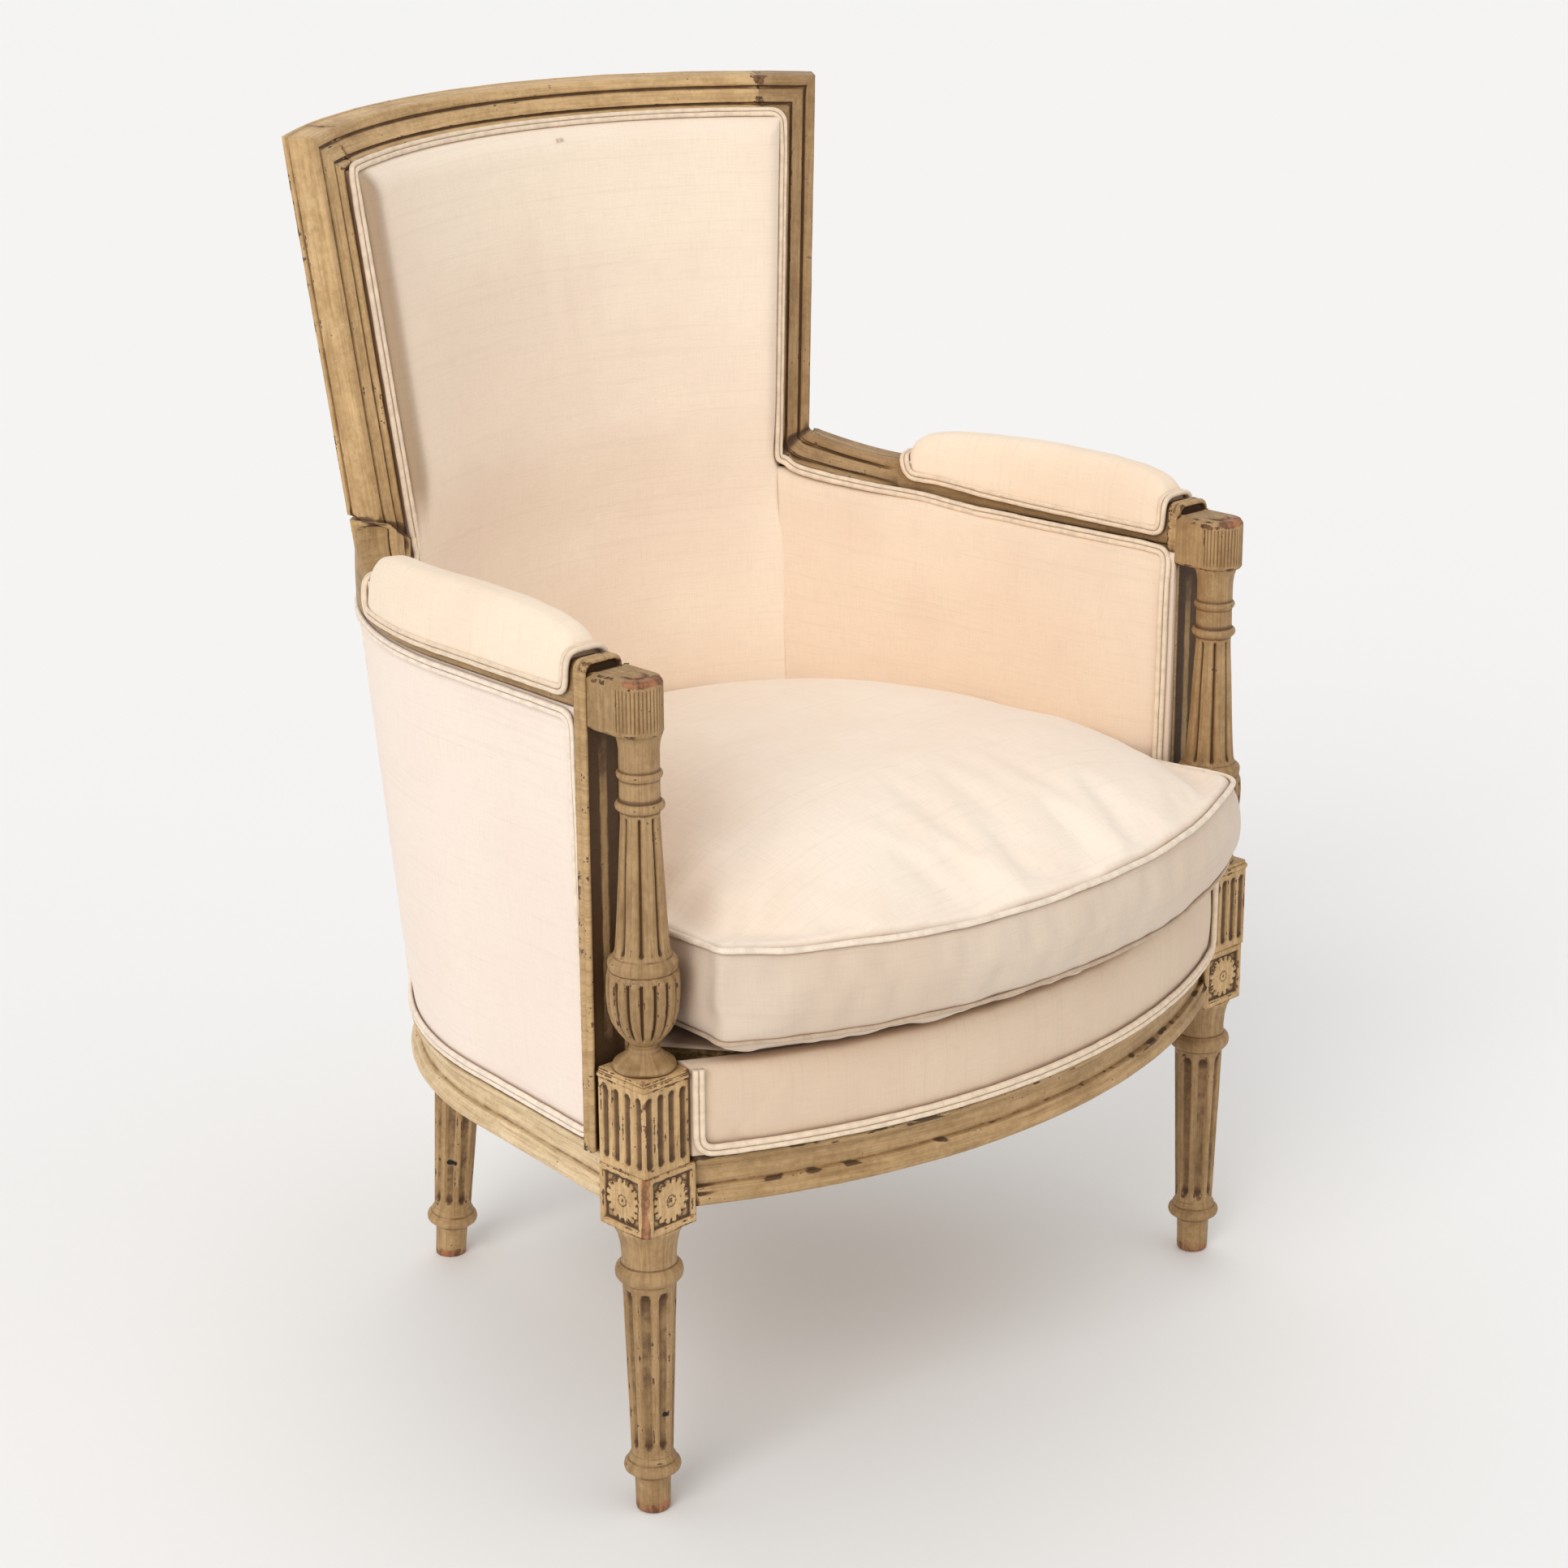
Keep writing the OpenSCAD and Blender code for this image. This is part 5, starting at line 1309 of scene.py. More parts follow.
def double_cord(path, nrm, half=2.05, radius=2.15, step=2.6, closed=False, seed=0, lift=0.0):
    """Two cords side by side along a path whose normals point out of the cloth."""
    Q = resample(np.hstack([path, nrm]), step, closed, 2)
    P, N = Q[:, :3], Q[:, 3:]
    T = (np.roll(P, -1, 0) - np.roll(P, 1, 0)) if closed else np.gradient(P, axis=0)
    T /= np.maximum(np.linalg.norm(T, axis=1, keepdims=True), 1e-9)
    N = N - T * (N * T).sum(1, keepdims=True)
    N /= np.maximum(np.linalg.norm(N, axis=1, keepdims=True), 1e-9)
    B = np.cross(T, N)
    s = Shape()
    for k, sg in enumerate((-1, 1)):
        wave = 0.16 * vnoise(P, 14, 81 + seed + k)
        s.join(tube_shape(P + B * (sg * half + wave)[:, None] + N * (lift + 0.12 * vnoise(P, 9, 85 + seed + k))[:, None], radius, 10, closed, 0.05, seed + k))
    # the sewn strip between and under the cords
    s.join(tube_shape(P - N * 0.9, 1.5, 8, closed, 0.02, seed + 5))
    return s


def with_mirror(path, nrm):
    """Path from one end to the middle plane, continued on the other side."""
    mp = path[:-1][::-1] * np.array([-1, 1, 1])
    mn = nrm[:-1][::-1] * np.array([-1, 1, 1])
    return np.vstack([path, mp]), np.vstack([nrm, mn])


def cover_o(z):
    return mix(4.5, 0.7, (np.asarray(z, float) - 282) / 330)


def straight_pt(z, o, y):
    """Point on the straight part of the left wall at that y."""
    f = wall_f(z)
    p = wp(z, o, 90 - f)
    return pts(p[..., 0] - (p[..., 1] - y) * np.tan(f * RAD), y, z)


def nrm_a(a):
    return pts(-sind(a), cosd(a), 0 * np.asarray(a, float))


def side_welt_loop():
    z0, z1, yf, a0 = 287.4, 606.4, -132.3, 46.2
    P, N = [], []

    def put(p, n):
        P.append(np.asarray(p, float).reshape(3))
        N.append(np.asarray(n, float).reshape(3))
    cor = 9.0
    for i in range(17):
        a = mix(a0 + 1.6, 90 - float(wall_f(z0)), i / 16)
        put(wp(z0, cover_o(z0) - 2.8, a), nrm_a(a))
    for y in (-40, -90, yf + cor):
        put(straight_pt(z0, cover_o(z0) - 2.8, y), [-1, 0, 0])
    for i in range(1, 6):
        t = i / 6 * math.pi / 2
        put(straight_pt(z0 + cor * (1 - math.cos(t)), cover_o(z0) - 2.8, yf + cor * (1 - math.sin(t))), [-1, 0, 0])
    for z in (z0 + cor, 350, 400, 450, 500, 550, z1 - cor):
        put(straight_pt(z, cover_o(z) - 2.8, yf), [-1, 0, 0])
    for i in range(1, 6):
        t = i / 6 * math.pi / 2
        put(straight_pt(z1 - cor * (1 - math.sin(t)), cover_o(z1) - 2.8, yf + cor * (1 - math.cos(t))), [-1, 0, 0])
    for y in (yf + cor, -90, -40):
        put(straight_pt(z1, cover_o(z1) - 2.8, y), [-1, 0, 0])
    for i in range(16, -1, -1):
        a = mix(a0 + 1.6, 90 - float(wall_f(z1)), i / 16)
        put(wp(z1, cover_o(z1) - 2.8, a), nrm_a(a))
    for z in (z1 - 6, 550, 500, 450, 400, 350, z0 + 6):
        put(wp(z, cover_o(z) - 2.8, a0), nrm_a(a0))
    return np.array(P), np.array(N)


def outside_welts():
    P, N = side_welt_loop()
    s = double_cord(P, N, closed=True, seed=1)
    s.join(s.mirror())
    build("outside_side_cords", s, M_PIPE_OUT, replaces=["outside_side_welts"])
    z0 = 287.4
    P, N = [], []
    for i in range(16):
        a = mix(0, 41, i / 15)
        P.append(wp(z0, cover_o(z0) - 2.9, a))
        N.append(nrm_a(a))
    P = P[::-1]
    N = N[::-1]
    # from the middle of the lower edge out to the corner, up, and in along the top
    P, N = P[::-1], N[::-1]
    for z in (295, 340, 400, 450, 500, 550, 600):
        P.append(wp(z, cover_o(z) - 3, 42.8))
        N.append(nrm_a(43))
    for w in (-300, -250, -200, -150, -100, -50):
        P.append(bp(w, 31.45, 27.7))
        N.append(nrm_a(33))
    for i in range(14):
        t = mix(30.2, 0, i / 13)
        P.append(bp(-40, t, 27.7))
        N.append(nrm_a(t))
    P, N = np.array(P), np.array(N)
    mP = P[1:-1][::-1] * np.array([-1, 1, 1])
    mN = N[1:-1][::-1] * np.array([-1, 1, 1])
    s = double_cord(np.vstack([P, mP]), np.vstack([N, mN]), closed=True, seed=3)
    build("outside_back_cord", s, M_PIPE_OUT, replaces=["outside_back_welt"])


def inside_welt():
    P, N = [], []

    def put(p, n):
        P.append(np.asarray(p, float).reshape(3))
        N.append(np.asarray(n, float).reshape(3))
    for z in (360, 395, 430, 465, 500, 530, 560, 585):
        put(straight_pt(z, 44.0, -144.3), [1, -0.7, 0])
    put(straight_pt(599, 42.0, -143.9), [1, -0.6, 0.2])
    put(straight_pt(605.5, 39.4, -141.4), [1, -0.3, 0.5])
    put(straight_pt(609, 37.4, -136), [1, 0, 0.7])
    for y in (-115, -90, -60, -30, 0):
        put(straight_pt(609.8, 36.2, y), [1, 0, 0.7])
    for a in (86, 83, 80, 77, 74, 71, 68, 65, 62, 60, 58, 56, 54, 52, 50.5, 49, 47.8):
        k = 1 - float(sstep(58, 66.5, a))
        p = wp(620, 36.0 + 10.5 * k, a)
        p[2] = float(arm_low(a)) + 2.5 * k
        put(p, [math.sin(a * RAD), -math.cos(a * RAD), 0.7])

    def edge(w, q, p):
        t = 37 - q / (437 - 0.171 * w) / RAD
        out = np.array([-math.cos(t * RAD), -math.sin(t * RAD), 0]) * 0.75 + np.array([math.sin(t * RAD), -math.cos(t * RAD), 0])
        put(frame_pt(w, q, p), out)
    for a, z, o in ((46.6, 641.0, 46.2), (45.9, 645.4, 45.4)):
        p = wp(640, o, a)
        p[2] = z
        put(p, [0.3, -1, 0.4])
    for w in (313, 305, 290, 270, 240, 210, 180, 150, 120, 95, 70, 56):
        edge(w, 30.0, 16.0)
    for i in range(1, 7):
        t = i / 7 * math.pi / 2
        w, q = 26.8 + 9 * (1 - math.sin(t)), 30.5 + 9 * (1 - math.cos(t))
        tt = 37 - q / (437 - 0.171 * w) / RAD
        put(frame_pt(w, q, 16 - 1.5 * t / 1.57), np.array([math.sin(tt * RAD) - 0.5 * math.cos(tt * RAD) * (1 - t / 1.57), -math.cos(tt * RAD), 0.75 * t / 1.57]))
    t0 = 37 - 39.5 / 432 / RAD
    for i in range(0, 18):
        t = mix(t0, 0, i / 17)
        put(bp(-26.8, t, -14.8), [math.sin(t * RAD), -math.cos(t * RAD), 0.75])
    P, N = with_mirror(np.array(P), np.array(N))
    build("inside_cord", double_cord(P, N, seed=7), M_PIPE, replaces=["inside_welt"])


def border_welt():
    r = (287 ** 2 + 76 ** 2) / 152 + 3.2
    c = -205.5 - 76 + (287 ** 2 + 76 ** 2) / 152
    a1 = math.degrees(math.asin(289.0 / r))
    zb = 287.2
    path = [(a1, 350.5), (a1, 340), (a1, 322), (a1, 305)]
    for i in range(7):
        t = i / 6 * math.pi / 2
        path.append((a1 - 0.95 * (1 - math.cos(t)), zb + 9.5 * (1 - math.sin(t))))
    for i in range(1, 26):
        path.append((mix(a1 - 0.95, 0, i / 25), zb))
    P = np.array([[-r * math.sin(a * RAD), c - r * math.cos(a * RAD), z] for a, z in path])
    N = np.array([[-math.sin(a * RAD), -math.cos(a * RAD), 0] for a, z in path])
    P, N = with_mirror(P, N)
    build("front_border_cord", double_cord(P, N, half=2.2, radius=2.3, seed=11), M_PIPE, replaces=["front_border_welt"])


# ------------------------------------------------------------------ upholstery
def arm_at(s, o, z):
    """Station s (0 rear, 1 front) along the arm pad, inset o, height z."""
    s, o, z = np.broadcast_arrays(np.asarray(s, float), np.asarray(o, float), np.asarray(z, float))
    R, C, f, a0 = 326.0, 6.0, 3.0, 66.4
    la = (87 - a0) * RAD * R
    ls = C + R * math.sin(f * RAD) + 133
    L = s * (la + ls)
    a = np.minimum(a0 + np.minimum(L, la) / R / RAD, 87.0)
    a = np.where(L < 0, a0 + L / R / RAD, a)
    over = np.maximum(L - la, 0)
    return pts(-(R - o) * sind(a) - over * math.sin(f * RAD), C + (R - o) * cosd(a) - over * math.cos(f * RAD), z)


def pad_low(s):
    """Height of the lower edge of the arm pad on its inner side."""
    return np.interp(s, [0.0, 0.06, 0.12, 0.3, 0.45, 0.97], [633, 632.5, 631.5, 626, 624.5, 622.5])


def arm_pad():
    st = np.array([[-0.004, 10.0, 2.0], [0.0, 13.0, 7.0], [0.008, 15.4, 12.0], [0.022, 17.0, 16.8], [0.05, 18.0, 21.0], [0.09, 18.5, 23.8], [0.15, 18.8, 25.8], [0.3, 19.0, 27.4],
                   [0.55, 19.0, 28.8], [0.75, 19.0, 27.8], [0.86, 18.9, 25.0], [0.92, 18.7, 21.2], [0.95, 18.4, 17.6], [0.966, 18.1, 13.8], [0.974, 17.7, 10.8], [0.979, 17.2, 7.4], [0.981, 16.4, 3.4]])
    ss = np.concatenate([np.linspace(-0.004, 0.05, 14), np.linspace(0.06, 0.93, 74), np.linspace(0.938, 0.981, 16)])
    W = np.interp(ss, st[:, 0], st[:, 1])
    H = np.interp(ss, st[:, 0], st[:, 2])
    rows, pin = [], []
    n = 44
    for s, w, h in zip(ss, W, H):
        q, ok = [], []
        lo_out, lo_in = 623.0, float(pad_low(s))
        for i in range(n + 1):
            t = math.pi * i / n
            c, sn = math.cos(t), math.sin(t)
            lo = lo_out if c > 0 else lo_in
            top = 645.4 + h
            x = -math.copysign(abs(c) ** 0.62, c)
            y = abs(sn) ** 0.95
            side = w + 0.4
            tuck = 1.4 * (1 - min(1.0, y / 0.16))
            q.append((15 + x * (side - tuck * abs(x)), lo + (top - lo) * y))
            ok.append(1.0 if y < 0.06 else 0.0)
        q += [(30.4, float(pad_low(s))), (30.4, 645.1), (22, 645.35), (15, 645.35), (8, 645.35), (-0.4, 645.1), (-0.4, 623.0)]
        ok += [1.0] * 7
        rows.append(arm_at(s, np.array([a for a, _ in q]), np.array([b for _, b in q])))
        pin.append(ok)
    pin = np.array(pin)
    pin[:2] = 1
    pin[-3:] = 1
    G = np.array(rows)
    s = Shape()
    soft = fbm(G, 60, 301, 2)[..., None] * 0.7 * (1 - pin[..., None]) * sstep(640, 655, G[..., 2:3])
    G = G + soft * np.array([0, 0, 1.0])
    s.grid(G, close_u=True, cap0=True, cap1=True, pin=pin)
    return fix(s)


def arm_pad_cord():
    z = 623.0
    P, N = [], []

    def put(s, o, zz, n):
        P.append(arm_at(s, o, zz).reshape(3))
        N.append(np.asarray(n, float))
    ss = np.linspace(0.02, 0.963, 30)
    up = np.array([0, 0, 1.0])

    def out(s, o):
        v = (arm_at(s, o - 10, z) - arm_at(s, o, z)).reshape(3)
        return v / np.linalg.norm(v)
    for s in ss:
        put(s, -3.0, z, out(s, -3.0))
    put(0.976, -3.2, z + 1.6, out(1, 0))
    put(0.982, -3.4, z + 5, out(1, 0))
    put(0.985, -3.6, 633, out(1, 0))
    put(0.986, -3.4, 641, out(1, 0))
    put(0.986, -1.6, 647.8, out(1, 0) + up * 0.7)
    put(0.986, 2.2, 650.8, out(1, 0) * 0.3 + up)
    for o in (8, 15, 22):
        put(0.987, o, 651.6, up)
    put(0.986, 27.8, 650.8, up - out(1, 0) * 0.3)
    put(0.986, 31.6, 647.8, up * 0.7 - out(1, 0))
    put(0.986, 33.4, 641, -out(1, 0))
    put(0.985, 33.4, 633, -out(1, 0))
    put(0.981, 33.2, z + 4, -out(1, 0))
    put(0.975, 33.0, z + 0.6, -out(1, 0))
    for s in ss[::-1]:
        put(s, 33.0, float(pad_low(s)), -out(s, 0))
    put(0.006, 32.9, 635.5, -out(0, 0))
    put(-0.006, 32.4, 640.5, -out(0, 0))
    put(-0.013, 30.6, 646.5, up * 0.4 - out(0, 0))
    for o in (26, 20, 15, 10, 4):
        put(-0.017, o, 648.8, up)
    put(-0.013, -1.0, 645, out(0, 0) + up * 0.3)
    put(-0.006, -2.8, 636, out(0, 0))
    put(0.006, -3.0, z + 3.4, out(0, 0))
    return np.array(P), np.array(N)


def slab(front, back, pin=None, uv=None):
    """Closed piece between a front grid and a back grid of the same size."""
    nv, nu = front.shape[:2]
    s = Shape()
    # one closed loop of columns: front left to right, then back right to left
    G = np.concatenate([front, back[:, ::-1]], 1)
    pn = None
    if pin is not None:
        pn = np.concatenate([pin, np.ones_like(pin)], 1)
    faces, uvs = [], []
    w = np.concatenate([[0], np.cumsum(np.linalg.norm(np.diff(front, axis=1), axis=2).mean(0))]) / 1000
    h = np.concatenate([[0], np.cumsum(np.linalg.norm(np.diff(front, axis=0), axis=2).mean(1))]) / 1000
    U = np.zeros((nv, 2 * nu, 2))
    U[:, :nu, 0] = w[None]
    U[:, nu:, 0] = w[::-1][None]
    U[:, :, 1] = h[:, None]
    m = 2 * nu
    for j in range(nv - 1):
        for i in range(m):
            i2 = (i + 1) % m
            f = (j * m + i, j * m + i2, (j + 1) * m + i2, (j + 1) * m + i)
            faces.append(f)
            uvs.append([tuple(U[j, i]), tuple(U[j, i2]), tuple(U[j + 1, i2]), tuple(U[j + 1, i])])
    for j in (0, nv - 1):
        for i in range(nu - 1):
            f = (j * m + i, j * m + i + 1, j * m + (m - 2 - i), j * m + (m - 1 - i))
            if j == 0:
                f = f[::-1]
            faces.append(f)
            uvs.append([tuple(U[j, i])] * 4)
    kw = {"pin": pn} if pn is not None else {}
    s.add(G.reshape(-1, 3), faces, uvs, **kw)
    return fix(s)


def edge_fall(nv, nu, su, sv, Ru, Rv, bottom=True, top=True):
    """Even fractions from 0 to 1, nu across and nv up; su, sv, Ru, Rv, bottom and top are not used."""
    u = np.linspace(0, 1, nu)
    v = np.linspace(0, 1, nv)
    return u, v


def rows_interp(rows, nv, weights=None, nu=60):
    """rows: list of [k,3] lines bottom to top, all resampled to nu points; linear between them."""
    L = []
    for r in rows:
        L.append(resample(np.asarray(r, float), 1.0)[:])
    out = []
    for r in L:
        seg = np.linalg.norm(np.diff(r, axis=0), axis=1)
        s = np.concatenate([[0], np.cumsum(seg)])
        t = np.linspace(0, s[-1], nu)
        out.append(np.stack([np.interp(t, s, r[:, k]) for k in range(3)], 1))
    out = np.array(out)
    h = np.linalg.norm(np.diff(out[:, nu // 2], axis=0), axis=1)
    s = np.concatenate([[0], np.cumsum(h)])
    t = np.linspace(0, s[-1], nv)
    G = np.zeros((nv, nu, 3))
    for i in range(nu):
        for k in range(3):
            G[:, i, k] = np.interp(t, s, out[:, i, k])
    return G


def remap_even(G, us, vs):
    """Grid resampled at fractions us across and vs up."""
    nv, nu = G.shape[:2]
    a = np.linspace(0, 1, nu)
    b = np.linspace(0, 1, nv)
    H = np.zeros((nv, len(us), 3))
    for j in range(nv):
        for k in range(3):
            H[j, :, k] = np.interp(us, a, G[j, :, k])
    O = np.zeros((len(vs), len(us), 3))
    for i in range(len(us)):
        for k in range(3):
            O[:, i, k] = np.interp(vs, b, H[:, i, k])
    return O


def grid_normals(G):
    du = np.gradient(G, axis=1)
    dv = np.gradient(G, axis=0)
    n = np.cross(du, dv)
    return n / np.maximum(np.linalg.norm(n, axis=-1, keepdims=True), 1e-9)


def edged(n, lo, hi, size, R, fine=7):
    """Fractions from 0 to 1 with extra lines near ends that are rounded over R mm of a panel size mm long."""
    a = [0.0]
    if lo:
        a += [R / size * (1 - math.cos(i / fine * math.pi / 2)) for i in range(1, fine + 1)]
    b = [1.0]
    if hi:
        b = [1 - x for x in ([0.0] + [R / size * (1 - math.cos(i / fine * math.pi / 2)) for i in range(1, fine + 1)])][::-1]
    mid = np.linspace(a[-1], b[0], n)[1:-1]
    return np.array(a + list(mid) + b)


def quarter(x, R):
    """Rise of a rounded edge: 0 at the edge, 1 from R inwards."""
    t = np.clip(x / R, 0, 1)
    return np.sqrt(np.clip(1 - (1 - t) ** 2, 0, 1))


def outside_side_cover():
    us = edged(70, False, False, 500, 5)
    rows = []
    for z in np.linspace(282.6, 611.4, 9):
        s0 = 45.0 * RAD * float(wall_r(z))
        s1 = float(wall_s_of_y(z, -137.1))
        o = mix(4.5, 0.6, (z - 282.6) / 328.8)
        rows.append(np.array([wall_path(z, o, s).reshape(3) for s in np.linspace(s0, s1, 80)]))
    G = np.array([[np.interp(np.linspace(0, 1, 84), np.linspace(0, 1, 80), r[:, k]) for k in range(3)] for r in rows]).transpose(0, 2, 1)
    B = remap_even(G, np.linspace(0, 1, 84), np.linspace(0, 1, 60))
    N = grid_normals(B)
    mid = B[30, 42]
    if (N[30, 42] @ (mid - np.array([0, 0, mid[2]]))) < 0:
        N = -N
    u = np.linspace(0, 1, 84)[None]
    v = np.linspace(0, 1, 60)[:, None]
    e = np.minimum(np.minimum(u, 1 - u) * 560, np.minimum(v, 1 - v) * 329)
    puff = 1.9 * sstep(0, 60, e)
    wr = 0.35 * fbm(B, 90, 51, 3) * sstep(0, 30, e)
    front = B + N * (puff + wr)[..., None]
    back = B - N * 2.9
    return slab(front, back)


def outside_back_cover():
    a = 44.2
    r0 = [wp(282.6, 4.5, t).reshape(3) for t in np.linspace(-a, a, 60)]
    e0 = wp(612, 0.8, 43.6).reshape(3)
    e1 = bp(-305, 32.25, 24.6).reshape(3)

    def span(z, ym, e):
        s = ym - e[1]
        r = (e[0] ** 2 + s * s) / (2 * s)
        b = math.asin(-e[0] / r)
        return [np.array([-r * math.sin(t), ym - r + r * math.cos(t), z]) for t in np.linspace(-b, b, 60)]
    r1 = span(612, 314, e0)
    r2_ = span(e1[2], 317, e1)
    r3 = [bp(-35.6, t, 24.6).reshape(3) for t in np.linspace(-32.25, 32.25, 60)]
    G = rows_interp([r0, r1, r2_, r3], 60, nu=80)
    # ease the kinks between the rows
    for _ in range(6):
        H = G.copy()
        H[1:-1] = 0.25 * G[:-2] + 0.5 * G[1:-1] + 0.25 * G[2:]
        G = H
    G = remap_even(G, np.linspace(0, 1, 92), np.linspace(0, 1, 96))
    N = grid_normals(G)
    if N[48, 46, 1] < 0:
        N = -N
    u = np.linspace(0, 1, 92)[None]
    v = np.linspace(0, 1, 96)[:, None]
    e = np.minimum(np.minimum(u, 1 - u) * 470, np.minimum(v, 1 - v) * 650)
    front = G + N * (1.2 * sstep(0, 70, e) + 0.4 * fbm(G, 110, 57, 3) * sstep(0, 30, e))[..., None]
    back = G - N * 2.8
    return slab(front, back)


def inside_back():
    """Pad of the back, proud of the frame, its edge dropping behind the piping."""
    nu0 = 90
    U = np.linspace(-1, 1, nu0)
    rows = []
    low = 647.0
    wl = 322.0
    top_row = frame_row(wl, 14.0, U)
    for z in (312, 336, 360, 400, 440, 480, 520, 560, 590, 612, 630):
        if z <= 360:
            r = wp(z, mix(43, 44.5, (z - 312) / 48), -43.4 * U)
        else:
            k = (z - 360) / (top_row[nu0 // 2, 2] - 360)
            base = wp(360, 44.5, -43.4 * U)
            r = base + (top_row - base) * k
            r[:, 2] = z
        oe = np.interp(z, [312, 560, 610, 640], [42.5, 45.0, 43.5, 41.0])
        E = wp(z, oe, np.array([45.4, -45.4]))
        for side, e in ((0, E[0]), (1, E[1])):
            cur = r[0] if side == 0 else r[-1]
            wgt = np.clip((-U if side == 0 else U), 0, 1) ** 5
            r = r + (e * np.array([1, 1, 1]) - cur)[None] * wgt[:, None] * np.array([1, 1, 0])
        rows.append(r)
    for w in (318, 300, 260, 210, 160, 110, 70, 45, 28.2):
        rows.append(frame_row(w, 14.0, U))
    G = rows_interp(rows, 110, nu=nu0)
    for _ in range(4):
        H = G.copy()
        H[1:-1] = 0.25 * G[:-2] + 0.5 * G[1:-1] + 0.25 * G[2:]
        G = H
    vs = edged(70, True, True, 650, 26, 13)
    us = edged(64, True, True, 440, 14, 12)
    G = remap_even(G, us, vs)
    N = grid_normals(G)
    if N[len(vs) // 2, len(us) // 2, 1] > 0:
        N = -N
    eu = np.minimum(us, 1 - us)[None] * 440
    ev = np.minimum(vs, 1 - vs)[:, None] * 650
    et = (1 - vs)[:, None] * 650
    up = sstep(620, 660, G[..., 2])
    q = np.minimum(quarter(eu, 14), quarter(et, 26))
    lift = 14.0 * sstep(600, 700, G[..., 2])
    drop = (7.0 + lift) * (1 - q) * up + 3.0 * (1 - np.minimum(quarter(eu, 6), 1)) * (1 - up)
    crown = sstep(0, 95, eu) * sstep(0, 120, ev)
    soft = 1.0 * fbm(G, 120, 61, 2) + 0.45 * fbm(G * np.array([1, 1, 0.6]), 42, 63, 2)
    crease = 0
    for z0, k, x0 in ((905, 0.9, -110), (880, 0.8, -90), (862, 0.6, -120), (700, 0.8, 60), (640, 1.0, 40), (560, 0.9, -40)):
        crease = crease - k * np.exp(-((G[..., 2] - z0 - 0.05 * G[..., 0]) / 4.0) ** 2) * np.exp(-((G[..., 0] - x0) / 70) ** 2)
    # soft upright ripples below the middle of the top edge
    for x0, k in ((-8, 1.0), (22, 0.8), (48, 0.6)):
        crease = crease - k * np.exp(-((G[..., 0] - x0 - 0.10 * (830 - G[..., 2])) / 7.0) ** 2) * np.exp(-((G[..., 2] - 800) / 75) ** 2)
    front = G + N * (4.5 * crown + lift - drop + (soft + crease) * sstep(2, 30, np.minimum(eu, ev)))[..., None]
    back = G - N * 20.0
    pin = (np.minimum(eu, ev) < 14).astype(float)
    s = slab(front, back, pin)
    # painted shadow: a dark band along the left edge of the pad in its upper part, only faint along the right edge
    left = (G[..., 0] < 0)
    shade_amount = np.exp(-(np.maximum(eu - 6, 0) / 11.0) ** 2) * np.where(left, 0.95, 0.08) * sstep(640, 690, G[..., 2])
    s.A[0]["tone"] = np.concatenate([shade_amount, np.zeros_like(shade_amount)], 1).reshape(-1)
    return s


def frame_row(w, p, U):
    """Line across the back at w below the top edge, p proud, ending just under the piping."""
    r = 437 - 0.171 * w
    t = (37 - 31.5 / r / RAD) * (-U) * -1
    return bp(-w, -t, -p)


def inside_arm():
    """Inner side pad from the back to the post, its top edge following the arm."""
    nu0, nv0 = 100, 60
    zs = np.linspace(0, 1, nv0)
    S0 = np.zeros((nv0, nu0, 3))
    for j, v in enumerate(zs):
        for i in range(nu0):
            u = i / (nu0 - 1)
            s0 = 44.4 * RAD * 310
            z = 500.0
            for _ in range(3):
                s_end = float(wall_s_of_y(z, -146.6))
                s0 = 44.4 * RAD * float(wall_r(z))
                s = mix(s0, s_end, u)
                a = min(s / float(wall_r(z)) / RAD, 87)
                kk = 1 - float(sstep(58, 66.5, a))
                zt = float(arm_low(a)) - 1.0 + 2.0 * kk
                if s > 87 * RAD * float(wall_r(z)):
                    zt = 609.0
                z = mix(312.0, zt, v)
            o = float(np.interp(v, [0, 0.2, 0.5, 0.8, 0.93, 1.0], [42.5, 44.6, 45.4, 44.6, 42.2, 38.6]))
            o = mix(o, 41.0, float(sstep(s_end - 26, s_end, s)) * (1 if v < 0.93 else 0.4))
            o += 7.5 * kk * float(sstep(0.8, 1.0, v))
            S0[j, i] = wall_path(z, o, s).reshape(3)
    su, sv = 470.0, 300.0
    vs = edged(48, True, True, sv, 11, 8)
    us = edged(76, True, True, su, 11, 8)
    G = remap_even(S0, us, vs)
    N = grid_normals(G)
    if N[len(vs) // 2, len(us) // 2, 0] < 0:
        N = -N
    ef = (1 - us)[None] * su
    er = us[None] * su
    et = (1 - vs)[:, None] * sv
    eb = vs[:, None] * sv
    q = np.minimum(quarter(ef, 13), quarter(et, 10)) * np.ones_like(eb)
    crown = sstep(0, 80, ef) * sstep(0, 80, et) * sstep(0, 60, er) * sstep(0, 60, eb)
    soft = 0.9 * fbm(G, 95, 67, 2) + 0.4 * fbm(G, 36, 69, 2)
    e = np.minimum(np.minimum(ef, er), np.minimum(et, eb))
    front = G + N * (q * 4.2 - 4.2 + crown * 4.0 + soft * sstep(0, 26, e))[..., None]
    depth = np.where(ef < 34, 7.0, 12.0) * np.ones_like(eb)
    depth = np.where(et < 16, np.minimum(depth, 5.0), depth)
    back = G - N * (1.0 + depth)[..., None]
    pin = (e < 9).astype(float)
    return slab(front, back, pin)


